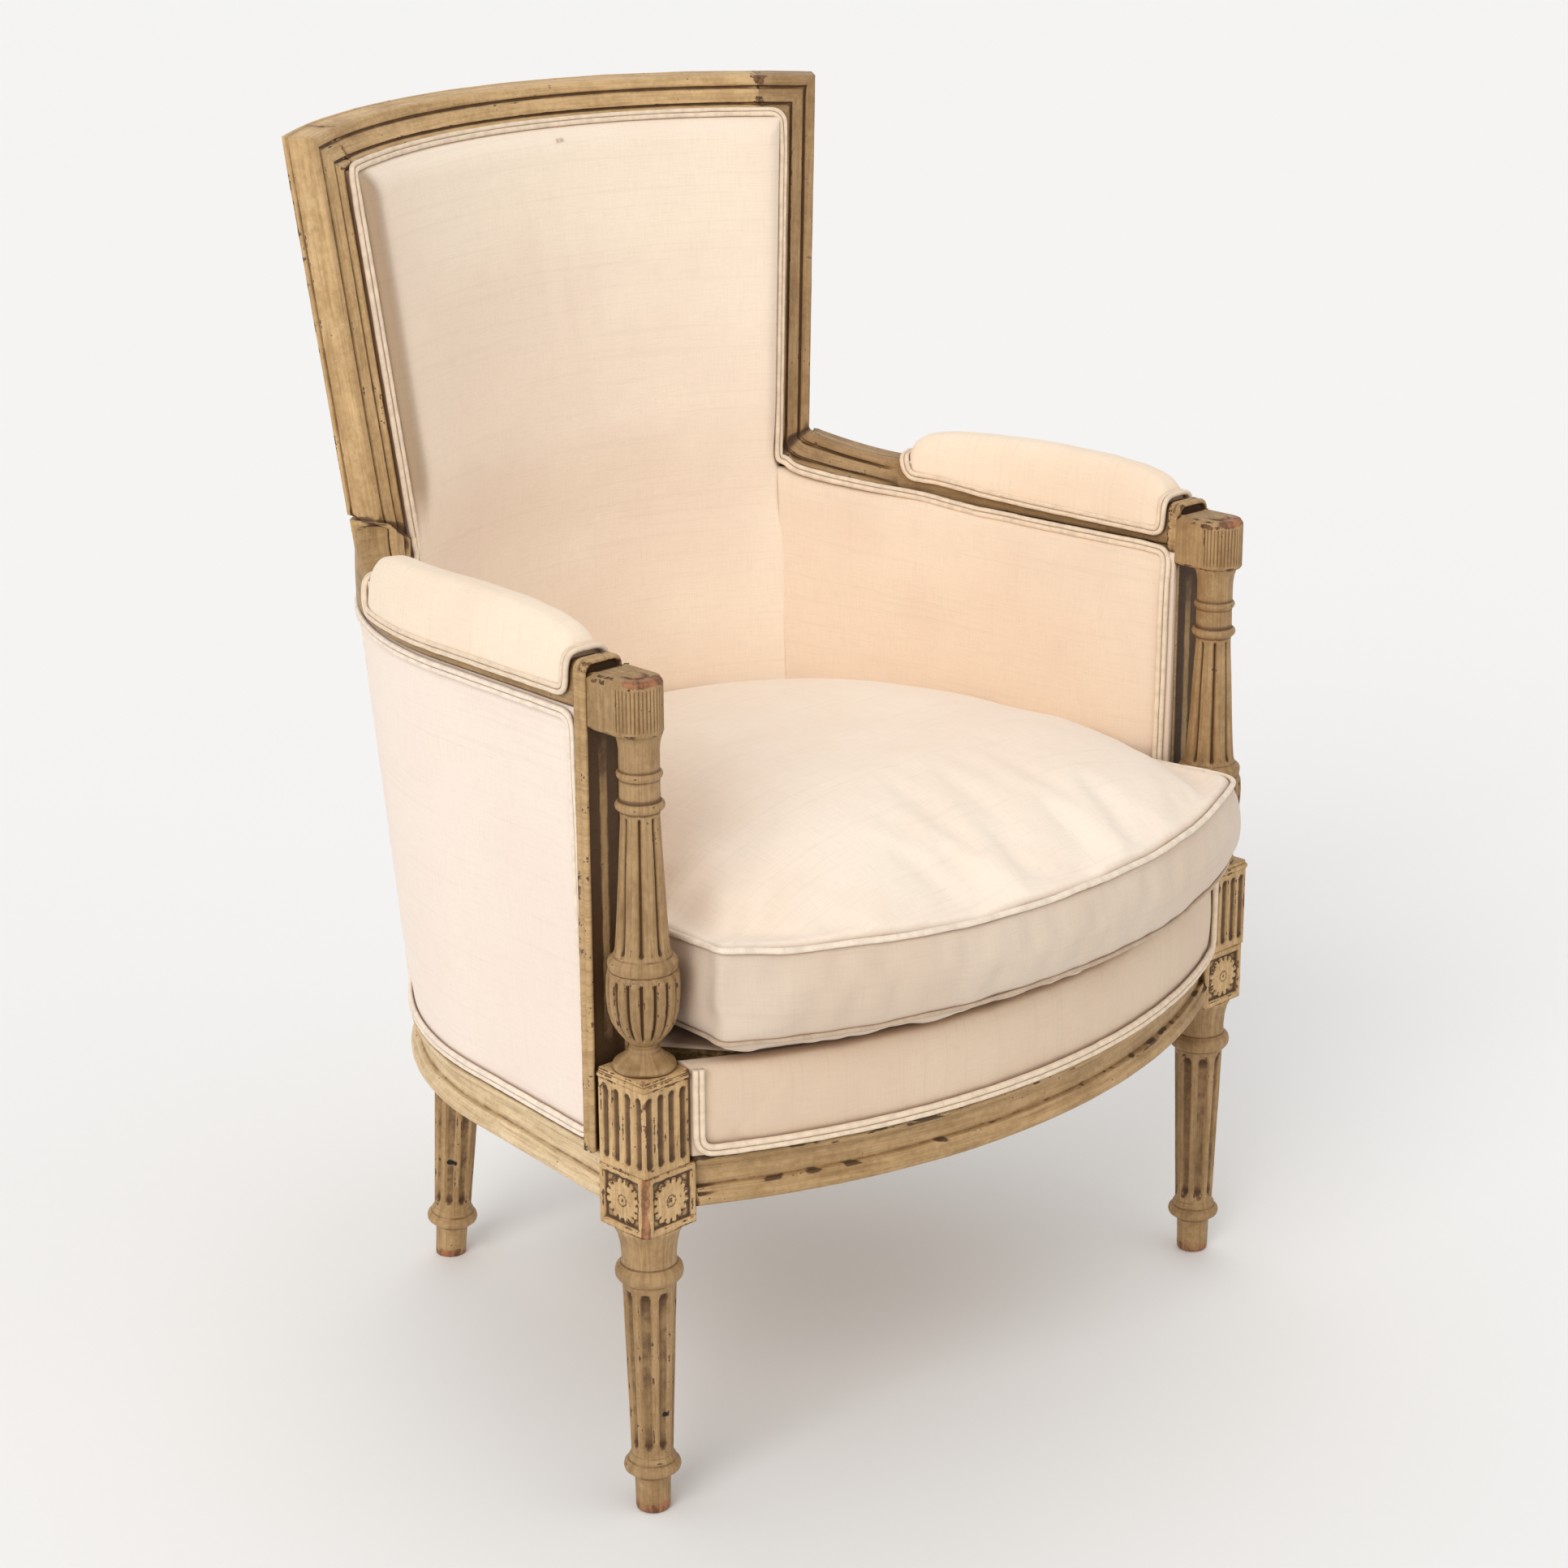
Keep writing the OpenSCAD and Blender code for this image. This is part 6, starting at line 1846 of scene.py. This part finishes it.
def front_border():
    r = (287 ** 2 + 76 ** 2) / 152 - 8
    c = -205.5 - 76 + r + 8
    sec = dense([[r + 7.2, 282.6], [r + 7.7, 290], [r + 8.6, 305], [r + 9.0, 320], [r + 8.4, 336], [r + 7.2, 343.5], [r + 5.2, 348.4], [r + 2.6, 350.9], [r - 2, 351.8], [r - 6, 351.8]], 1.6, None, 3)
    bk = dense([[r - 6, 351.8], [r - 6, 338.4], [r + 0.3, 338.2], [r + 0.3, 282.6], [r + 7.2, 282.6]], 5, None, 0)
    S = np.vstack([sec, bk[1:-1]])
    n = 200
    G = []
    for k in range(n):
        t = k / (n - 1)
        hx = 290.6
        a = np.arcsin(np.clip(hx / S[:, 0], -1, 1)) / RAD * (2 * t - 1)
        G.append(pts(S[:, 0] * sind(a), c - S[:, 0] * cosd(a), S[:, 1]))
    G = np.array(G)
    Nn = grid_normals(G)
    if Nn[n // 2, 5, 1] > 0:
        Nn = -Nn
    m = len(sec)
    face = np.zeros(G.shape[:2])
    face[:, :m] = sstep(283, 292, S[:m, 1])[None] * sstep(351.9, 346, S[:m, 1])[None]
    x, z = G[..., 0], G[..., 2]
    pull = 0.55 * fbm(np.stack([x, z * 0.25 + x * 0.12, 0 * x], -1), 16, 91, 2) + 0.7 * fbm(G, 60, 93, 2)
    diag = -0.8 * np.exp(-(((x + 268) + (z - 300) * 0.9) / 3.6) ** 2) * sstep(340, 300, z) - 0.6 * np.exp(-(((x + 252) - (z - 310) * 0.8) / 4) ** 2) * sstep(345, 320, z)
    G = G + Nn * ((pull + diag) * face)[..., None]
    s = Shape()
    s.grid(G, close_u=True, cap0=True, cap1=True)
    return fix(s)


def deck_outline(z, o, step=9.0):
    r = 579.9 - 15
    c = -205.5 - 76 + (287 ** 2 + 76 ** 2) / 152
    L = [wp(z, 48 + o, a).reshape(3)[:2] for a in np.linspace(0, 90 - float(wall_f(z)), 40)]
    L.append(straight_pt(z, 48 + o, -152).reshape(3)[:2])
    for a in np.linspace(-math.asin(250 / r), 0, 24)[1:]:
        L.append(np.array([(r - o) * math.sin(a), c - (r - o) * math.cos(a)]))
    L = np.array(L)
    full = np.vstack([L, (L[1:-1] * np.array([-1, 1]))[::-1]])
    return resample(np.column_stack([full, np.zeros(len(full))]), step, True)[:, :2]


def fill_flat(loop, spacing, seed=0):
    """Even points and triangles inside a closed outline; the outline's own points come first."""
    lo, hi = loop.min(0), loop.max(0)
    xs = np.arange(lo[0], hi[0], spacing)
    ys = np.arange(lo[1], hi[1], spacing * 0.8660254)
    inner = []
    A = loop
    B = np.roll(loop, -1, 0)
    for j, y in enumerate(ys):
        for x in xs:
            p = np.array([x + (spacing / 2 if j % 2 else 0), y])
            d = B - A
            t = np.clip(((p - A) * d).sum(1) / np.maximum((d * d).sum(1), 1e-9), 0, 1)
            near = np.sqrt((((A + d * t[:, None]) - p) ** 2).sum(1)).min()
            if near < spacing * 0.62:
                continue
            cr = ((A[:, 1] > p[1]) != (B[:, 1] > p[1])) & (p[0] < (B[:, 0] - A[:, 0]) * (p[1] - A[:, 1]) / np.where(B[:, 1] == A[:, 1], 1e-9, B[:, 1] - A[:, 1]) + A[:, 0])
            if cr.sum() % 2:
                inner.append(p)
    inner = np.array(inner)
    if len(inner):
        inner = inner + np.stack([vnoise(np.column_stack([inner, np.zeros(len(inner))]), 3.1, 7), vnoise(np.column_stack([inner, np.zeros(len(inner))]), 3.1, 8)], 1) * spacing * 0.08
    allp = np.vstack([loop, inner])
    n = len(loop)
    v, e, f, ov, _, _ = delaunay_2d_cdt([Vector((float(a), float(b))) for a, b in allp], [(i, (i + 1) % n) for i in range(n)], [], 1, 1e-6)
    # the outline's points keep their order in the result
    V = np.array([[p[0], p[1]] for p in v])
    return V, [tuple(t) for t in f], ov


def sheet_plate(zt, zb, o, bulge, spacing=12.0, edge=0.0, size=60, seed=0, amp=0.5):
    loop = deck_outline(zt, o, spacing * 0.8)
    V, F, ov = fill_flat(loop, spacing)
    n = len(V)
    d = np.array([np.sqrt(((loop - p) ** 2).sum(1)).min() for p in V])
    P3 = np.column_stack([V, np.zeros(n)])
    up = bulge * sstep(0, 120, d) + amp * fbm(P3, size, 100 + seed, 3) * sstep(0, 20, d)
    top = np.column_stack([V, zt + up - amp])
    bot = np.column_stack([V, np.full(n, zb)])
    s = Shape()
    faces = [tuple(f) for f in F] + [tuple(v + n for v in f[::-1]) for f in F]
    edges = {}
    for f in F:
        for a, b in zip(f, f[1:] + f[:1]):
            edges[(a, b)] = edges.get((a, b), 0) + 1
    rim = [(a, b) for (a, b) in edges if (b, a) not in edges]
    faces += [(b, a, a + n, b + n) for a, b in rim]
    P = np.vstack([top, bot])
    uvs = [[(P[i, 0] / 1000, P[i, 1] / 1000) for i in f] for f in faces]
    s.add(P, faces, uvs)
    return fix(s)


outside_welts()
inside_welt()
border_welt()
P_, N_ = arm_pad_cord()
cord_l = double_cord(P_, N_, closed=True, seed=13)
cord_l.join(cord_l.mirror())
build("arm_pad_cords", cord_l, M_PIPE, replaces=["arm_pad_welts"])


# ------------------------------------------------------------------ simulation
def inflate(ob, pressure, frames, cap, shrink=-0.02, tension=15.0, bend=0.5, mass=0.3, pin_name="pin", keep=None):
    """Puffs a closed piece by cloth simulation, its pinned points held, and keeps the result within cap metres."""
    me = ob.data
    n = len(me.vertices)
    start = np.zeros(n * 3)
    me.vertices.foreach_get("co", start)
    start = start.reshape(-1, 3)
    w = np.zeros(n, np.float32)
    me.attributes["pin"].data.foreach_get("value", w)
    vg = ob.vertex_groups.new(name="held")
    for val in np.unique(np.round(w, 2)):
        if val > 0:
            vg.add([int(i) for i in np.where(np.abs(w - val) < 0.006)[0]], float(val), "REPLACE")
    md = ob.modifiers.new("cloth", "CLOTH")
    cs = md.settings
    cs.quality = 5
    cs.mass = mass
    cs.tension_stiffness = tension
    cs.compression_stiffness = tension
    cs.shear_stiffness = 5
    cs.bending_stiffness = bend
    cs.use_pressure = True
    cs.uniform_pressure_force = pressure
    cs.shrink_min = shrink
    cs.vertex_group_mass = "held"
    cs.pin_stiffness = 1.0
    cs.air_damping = 3.0
    cs.tension_damping = 8
    cs.compression_damping = 8
    cs.effector_weights.gravity = 0.0
    md.collision_settings.use_collision = False
    md.collision_settings.use_self_collision = False
    md.point_cache.frame_start = 1
    md.point_cache.frame_end = frames
    for f in range(1, frames + 1):
        scene.frame_set(f)
    dg = bpy.context.evaluated_depsgraph_get()
    ev = ob.evaluated_get(dg)
    got = np.zeros(n * 3)
    ev.data.vertices.foreach_get("co", got)
    got = got.reshape(-1, 3)
    ob.modifiers.remove(md)
    ob.vertex_groups.clear()
    scene.frame_set(1)
    d = got - start
    L = np.linalg.norm(d, axis=1, keepdims=True)
    got = start + d * np.minimum(1, cap / np.maximum(L, 1e-9))
    if not np.isfinite(got).all():
        got = start
    if keep is not None:
        got = keep(got)
    me.vertices.foreach_set("co", got.reshape(-1))
    me.update()
    return got


def smooth_mesh(ob, rounds, mask=None):
    me = ob.data
    n = len(me.vertices)
    co = np.zeros(n * 3)
    me.vertices.foreach_get("co", co)
    co = co.reshape(-1, 3)
    e = np.zeros(len(me.edges) * 2, np.int64)
    me.edges.foreach_get("vertices", e)
    e = e.reshape(-1, 2)
    deg = np.maximum(np.bincount(e[:, 0], minlength=n) + np.bincount(e[:, 1], minlength=n), 1)[:, None]
    m = np.ones((n, 1)) if mask is None else mask.reshape(-1, 1)
    for _ in range(rounds):
        S = np.stack([np.bincount(e[:, 0], co[e[:, 1], k], n) + np.bincount(e[:, 1], co[e[:, 0], k], n) for k in range(3)], 1) / deg
        co = co + 0.5 * m * (S - co)
    me.vertices.foreach_set("co", co.reshape(-1))
    me.update()
    return co


# arm pads
for side in ("left", "right"):
    s = arm_pad()
    if side == "right":
        s = s.mirror()
    ob = build(f"arm_cushion_{side}", s, M_LINEN_ARM, replaces=[f"arm_pad_{side}"])
    inflate(ob, 2.4, 14, 0.005, -0.035, bend=0.3)

# inside pads
for side in ("left", "right"):
    s = inside_arm()
    if side == "right":
        s = s.mirror()
    ob = build(f"inside_arm_{side}", s, M_LINEN_SIDE_SHADED, replaces=[f"inside_arm_pad_{side}"])
ob = build("inside_back", inside_back(), M_LINEN_IN_LIT, replaces=["inside_back_pad"])

# outside covers
for side in ("left", "right"):
    s = outside_side_cover()
    if side == "right":
        s = s.mirror()
    ob = build(f"outside_side_{side}", s, M_LINEN_OUT, replaces=[f"outside_side_cover_{side}"])
ob = build("outside_back", outside_back_cover(), M_LINEN_OUT, replaces=["outside_back_cover"])
ob = build("front_band", front_border(), M_BORDER_SHADED, replaces=["front_border"])
ob = build("deck_panel", sheet_plate(351.2, 349.9, 1.5, 0.5, 11, amp=0.35, seed=1), M_BORDER_SHADED, replaces=["deck_cover"])
ob = build("hessian_panel", sheet_plate(321.8, 320.4, 6, 0.0, 12, amp=0.4, seed=2), M_HESSIAN, replaces=["spring_hessian"])


# ------------------------------------------------------------------ loose cushion
def cushion_outline(step=7.5):
    z, o, r, c = 400, 57, 569, 266
    halves = []
    for corner, w in ((([-272.0, -150], [-273.5, -178], [-277.0, -203], [-281.6, -217], [-283.8, -223.0], [-283.0, -227.6]), 278),
                      (([-272.5, -150], [-275.5, -178], [-279.0, -200], [-280.5, -213], [-280.0, -222.5], [-276.5, -229.5], [-270.0, -235.0]), 260)):
        L = [wp(z, o, a).reshape(3)[:2] for a in np.linspace(0, 90 - float(wall_f(z)), 40)]
        L += [np.array(p, float) for p in corner]
        for a in np.linspace(-math.asin(w / r), 0, 30):
            L.append(np.array([r * math.sin(a), c - r * math.cos(a)]))
        halves.append(np.array(L))
    full = np.vstack([halves[0], (halves[1][1:-1] * np.array([-1, 1]))[::-1]])
    return resample(np.column_stack([full, np.zeros(len(full))]), step, True)[:, :2]


def cushion():
    sp = 7.5
    loop = cushion_outline(sp)
    n = len(loop)
    cen = np.array([0.0, -20.0])

    def inset(o):
        return cen + (loop - cen) * (1 - o / 268)
    ang = np.arctan2(loop[:, 1] + 20, loop[:, 0])
    L3 = np.column_stack([loop, np.zeros(n)])
    front = sstep(-190, -232, loop[:, 1])
    # the piping wanders: it dips between the corners and rises to them
    corner = np.exp(-(((np.abs(loop[:, 0]) - 282) / 34) ** 2 + ((loop[:, 1] + 226) / 34) ** 2))
    z_hi = 438 + 1.8 * fbm(L3, 55, 201, 2) + np.where(loop[:, 0] < 0, 5.0, 0.5) * corner - 3.0 * front * sstep(250, 90, np.abs(loop[:, 0]))
    z_lo = 371.5 + 1.6 * fbm(L3, 48, 203, 2) + 2.0 * corner
    # top and bottom panels share one flat triangulation inside the second ring
    ring1 = inset(5.5)
    V, F, ov = fill_flat(ring1, sp)
    # the triangulation holds at least as many points as the outline
    assert len(V) >= n
    m = len(V)
    d = np.array([np.sqrt(((loop - p) ** 2).sum(1)).min() for p in V])
    crown = 18 * (1 - np.exp(-d / 42)) + 26 * sstep(20, 170, d)
    P, F_all, UV, PIN = [], [], [], []
    zh_in = np.array([z_hi[np.argmin(((loop - p) ** 2).sum(1))] for p in V])
    top = np.column_stack([V, mix(zh_in, 438, sstep(0, 60, d)) + 2.0 + crown])
    zl_in = np.array([z_lo[np.argmin(((loop - p) ** 2).sum(1))] for p in V])
    bot = np.column_stack([V, mix(zl_in - 5, 353.6, sstep(0, 34, d))])
    seam_hi = np.column_stack([inset(0), z_hi])
    seam_lo = np.column_stack([inset(0.6), z_lo])
    nb = 8
    band = []
    for k in range(1, nb):
        t = k / nb
        bulge = 5.2 * math.sin(math.pi * t) ** 0.8
        q = inset(-bulge * (1 - 0.75 * corner * (loop[:, 0] < 0))[:, None])
        band.append(np.column_stack([q, mix(z_lo, z_hi, t)]))
    pts_all = np.vstack([seam_lo] + band + [seam_hi, top, bot])
    per = np.concatenate([[0], np.cumsum(np.linalg.norm(np.diff(loop, axis=0, append=loop[:1]), axis=1))]) / 1000
    s_lo, s_hi = 0, nb * n
    b_top, b_bot = (nb + 1) * n, (nb + 1) * n + m
    faces, uvs, region = [], [], []
    for k in range(nb):
        for i in range(n):
            i2 = (i + 1) % n
            faces.append((k * n + i, k * n + i2, (k + 1) * n + i2, (k + 1) * n + i))
            za, zb = k / nb * 0.067, (k + 1) / nb * 0.067
            uvs.append([(per[i], za), (per[i + 1], za), (per[i + 1], zb), (per[i], zb)])
    # where the outline's points went in the triangulation
    where = [None] * n
    for new, olds in enumerate(ov):
        for o in olds:
            if o < n:
                where[o] = new
    for i in range(n):
        i2 = (i + 1) % n
        a, b = where[i], where[i2]
        f = (s_hi + i, s_hi + i2, b_top + b, b_top + a)
        faces.append(f)
        uvs.append([(pts_all[v, 0] / 1000, pts_all[v, 1] / 1000) for v in f])
        f = (s_lo + i2, s_lo + i, b_bot + a, b_bot + b)
        faces.append(f)
        uvs.append([(pts_all[v, 0] / 1000 + 0.7, pts_all[v, 1] / 1000) for v in f])
    area = sum((V[t[1], 0] - V[t[0], 0]) * (V[t[2], 1] - V[t[0], 1]) - (V[t[1], 1] - V[t[0], 1]) * (V[t[2], 0] - V[t[0], 0]) for t in F)
    for t in F:
        f = tuple(b_top + v for v in (t if area > 0 else t[::-1]))
        faces.append(f)
        uvs.append([(pts_all[v, 0] / 1000, pts_all[v, 1] / 1000) for v in f])
        f = tuple(b_bot + v for v in (t[::-1] if area > 0 else t))
        faces.append(f)
        uvs.append([(pts_all[v, 0] / 1000 + 0.7, pts_all[v, 1] / 1000) for v in f])
    # consistent winding of the band and the rims
    lp = (np.roll(loop, -1, 0)[:, 0] * loop[:, 1] - np.roll(loop, -1, 0)[:, 1] * loop[:, 0]).sum()
    if lp > 0:
        k = nb * n + 2 * n
        faces[:k] = [f[::-1] for f in faces[:k]]
        uvs[:k] = [u[::-1] for u in uvs[:k]]
    pin = np.zeros(len(pts_all))
    pin[s_lo:s_lo + n] = 1
    pin[s_hi:s_hi + n] = 1
    flat = np.where(d > 26)[0]
    pin[b_bot + flat] = 1
    sh = Shape()
    sh.add(pts_all, faces, uvs, pin=pin)
    fix(sh)
    ob = build("seat_cushion", sh, M_CUSHION, body="cushion", replaces=["cushion_cover"])

    def keep(co):
        co[:, 2] = np.maximum(co[:, 2], 0.3526)
        return co
    inflate(ob, 3.2, 20, 0.022, -0.045, tension=12, bend=0.25, keep=keep)
    mask = 1.0 - pin * 0.999
    co = smooth_mesh(ob, 1, mask)
    # gathered creases that run off the near front corner
    mm = co * 1000
    mm[:, 1] += YM
    for sx in (-1, 1):
        dx, dy = mm[:, 0] - sx * 281, mm[:, 1] + 227
        rr = np.hypot(dx, dy)
        th = np.degrees(np.arctan2(dy, -sx * dx))
        topm = sstep(438, 446, mm[:, 2])
        for a0, wd, dep, ln in ((38, 5.5, 3.0, 70), (62, 5.0, 2.2, 55), (18, 4.5, 2.4, 62), (80, 4.5, 1.6, 45)):
            fall = np.exp(-((rr - 26) / ln) ** 2) * sstep(4, 18, rr)
            mm[:, 2] -= (1.0 if sx < 0 else 0.25) * dep * topm * fall * np.exp(-((th - a0) / (wd * (1 + 14 / np.maximum(rr, 6)))) ** 2)
        side = sstep(374, 384, mm[:, 2]) * sstep(437, 428, mm[:, 2]) * sstep(-196, -225, mm[:, 1])
        for zc, tilt_, dep, ln in ((426, -0.10, 1.7, 60), (416, -0.05, 1.3, 75), (405, 0.02, 1.0, 60), (392, 0.06, 0.9, 50)):
            along = (281 - sx * mm[:, 0])
            mm[:, 1] += side * dep * np.exp(-((mm[:, 2] - zc - tilt_ * along) / 2.6) ** 2) * np.exp(-((along - 20) / ln) ** 2) * sstep(-2, 10, along)
    soft = fbm(mm, 70, 221, 2)
    mm[:, 2] += 1.2 * soft * sstep(440, 452, mm[:, 2])
    out = mm.copy()
    out[:, 1] -= YM
    out /= 1000
    ob.data.vertices.foreach_set("co", out.reshape(-1))
    ob.data.update()
    at = ob.data.attributes.get("pin")
    if at:
        ob.data.attributes.remove(at)
    # the filling follows the cover, a little inside it
    me2 = ob.data.copy()
    core = bpy.data.objects.new("cushion_core", me2)
    scene.collection.objects.link(core)
    N = normals(mm, [tuple(p.vertices) for p in me2.polygons])
    inner = mm - N * 7.0
    inner[:, 2] = np.clip(inner[:, 2], 357, None)
    inner[:, 1] -= YM
    me2.vertices.foreach_set("co", (inner / 1000).reshape(-1))
    me2.materials.clear()
    me2.materials.append(M_FILL)
    me2.update()
    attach(core, "cushion")
    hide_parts("cushion_filling")
    # the boxing and the underside are painted darker than the top: painted shade
    boxing_shade = ob.data.attributes.new("tone", "FLOAT", "POINT")
    band_z = mix(z_lo, z_hi, 0.5)
    gv = np.zeros(len(mm))
    for k in range(nb + 1):
        gv[k * n:(k + 1) * n] = 1.0
    gv[b_bot:] = 1.0
    boxing_shade.data.foreach_set("value", (0.48 * gv).astype(np.float32))
    sub = ob.modifiers.new("fine", "SUBSURF")
    sub.levels = sub.render_levels = 1
    sub.subdivision_type = "CATMULL_CLARK"
    # piping that follows the two seams
    sh = Shape()
    # painted shade: the lower cord is darkened all along
    for base, dz, ow, rad, shade_amount in ((s_hi, 0.6, 2.1, 2.35, 0.0), (s_lo, -1.2, 0.4, 1.9, 1.0)):
        ring = mm[base:base + n]
        outw = np.column_stack([loop - cen, np.zeros(n)])
        outw /= np.linalg.norm(outw, axis=1, keepdims=True)
        path = ring + outw * ow + np.array([0, 0, dz])
        path = resample(path, 3.0, True, 3)
        tb = tube_shape(path, rad, 12, True, 0.06, 31)
        tb.A = [{"tone": np.full(len(q), shade_amount)} for q in tb.P]
        sh.join(tb)
    build("cushion_cord", sh, M_PIPE_CUSHION, body="cushion", replaces=["cushion_piping"])
    return ob


cushion_ob = cushion()


# ------------------------------------------------------------------ springs and webbing
def springs():
    s = Shape()
    for i in range(3):
        for j in range(3):
            t = np.linspace(0, 1, 4 * 26 + 1)
            r = mix(24, 36, 4 * (t - 0.5) ** 2)
            a = 2 * math.pi * 4 * t
            P = np.column_stack([(i - 1) * 150 + r * np.cos(a), -20 + (j - 1) * 130 + r * np.sin(a), 244.4 + t * 73.6])
            s.join(tube_shape(P, 1.75, 8, False, 0.0, 0))
    build("seat_springs", s, M_SPRING, replaces=["coil_springs"])


def webbing():
    s = Shape()
    xs = [i * 92 for i in (-2, -1, 0, 1, 2)]
    ys = [-152 + i * 92 + 26 for i in range(4)]
    for k, x in enumerate(xs):
        i = k - 2
        y0 = -262 if i == 0 else -254 if abs(i) == 1 else -222
        L = 530 if i == 0 else 506 if abs(i) == 1 else 404
        n = 90
        yy = np.linspace(y0, y0 + L, n)
        bend = np.zeros(n)
        for m, yc in enumerate(ys):
            bend += (1 if (m + k) % 2 else -1) * np.exp(-((yy - yc) / 30) ** 4) * 0.85
        cols = np.array([-26, -25, -13, 0, 13, 25, 26])
        top = np.array([[[x + c, y, 240.0 + b - (0.4 if abs(c) == 26 else 0)] for c in cols] for y, b in zip(yy, bend)])
        bot = top - np.array([0, 0, 1.3])
        s.join(slab(top, bot))
    for m, yc in enumerate(ys):
        w = [560, 560, 520, 472][m]
        n = 90
        xx = np.linspace(-w / 2, w / 2, n)
        bend = np.zeros(n)
        for k, x in enumerate(xs):
            bend += (-1 if (m + k) % 2 else 1) * np.exp(-((xx - x) / 30) ** 4) * 0.75
        cols = np.array([-26, -25, -13, 0, 13, 25, 26])
        top = np.array([[[x, yc + c, 241.4 + b - (0.4 if abs(c) == 26 else 0)] for c in cols] for x, b in zip(xx, bend)])
        top[..., 2] = np.minimum(top[..., 2], 241.75) if False else top[..., 2]
        bot = top - np.array([0, 0, 1.3])
        s.join(slab(top, bot))
    ob = build("woven_webbing", s, M_JUTE, replaces=["seat_webbing"])


springs()
webbing()

# ------------------------------------------------------------------ pieces that keep their CAD shape
FINISH = {
    "corner_blocks": M_BEECH, "joint_dowels": M_BEECH, "lower_back_rail": M_BEECH,
    "block_screws": M_FIX, "webbing_tacks": M_FIX, "seat_stuffing": M_STUFF, "back_webbing": M_JUTE,
}
for node, m in FINISH.items():
    o = CAD[node]
    if not o.data.materials:
        o.data.materials.append(m)
    for sl in o.material_slots:
        sl.link = "OBJECT"
        sl.material = m


# ------------------------------------------------------------------ floor and light
def floor():
    g = Mat("floor_paper")
    n = g.noise(g.obj, 2.0, 3, 0.5)
    col = g.mix(g.mul(n, 0.3), (0.93, 0.93, 0.93, 1), (0.90, 0.90, 0.90, 1))
    g.set(color=col, rough=0.9, spec=0.1)
    me = bpy.data.meshes.new("floor")
    S = 40.0
    me.from_pydata([(-S, -S, 0), (S, -S, 0), (S, S, 0), (-S, S, 0)], [], [(0, 1, 2, 3)])
    ob = bpy.data.objects.new("floor", me)
    scene.collection.objects.link(ob)
    me.materials.append(g.m)


floor()


def sun(name, toward, power, angle, colour=(1, 1, 1)):
    """A broad distant light that comes from the given direction."""
    d = bpy.data.lights.new(name, "SUN")
    d.energy = power
    d.angle = angle * RAD
    d.color = colour
    o = bpy.data.objects.new(name, d)
    scene.collection.objects.link(o)
    o.rotation_euler = (-Vector(toward)).to_track_quat("-Z", "Y").to_euler()
    return o


sun("key", (-0.85, -0.32, 0.62), 1.28, 34, (1.0, 0.985, 0.965))
sun("front_fill", (0.25, -0.85, 0.45), 0.22, 60, (1.0, 0.985, 0.97))
sun("rim", (0.55, 0.55, 0.75), 0.30, 50, (1.0, 0.99, 0.98))
w = bpy.data.worlds.new("studio")
scene.world = w
w.use_nodes = True
bg = w.node_tree.nodes["Background"]
bg.inputs[0].default_value = (1.0, 0.995, 0.985, 1)
bg.inputs[1].default_value = 0.66
scene.view_settings.view_transform = "Standard"
scene.view_settings.look = "None"
scene.view_settings.exposure = 0.0
scene.view_settings.gamma = 1.0
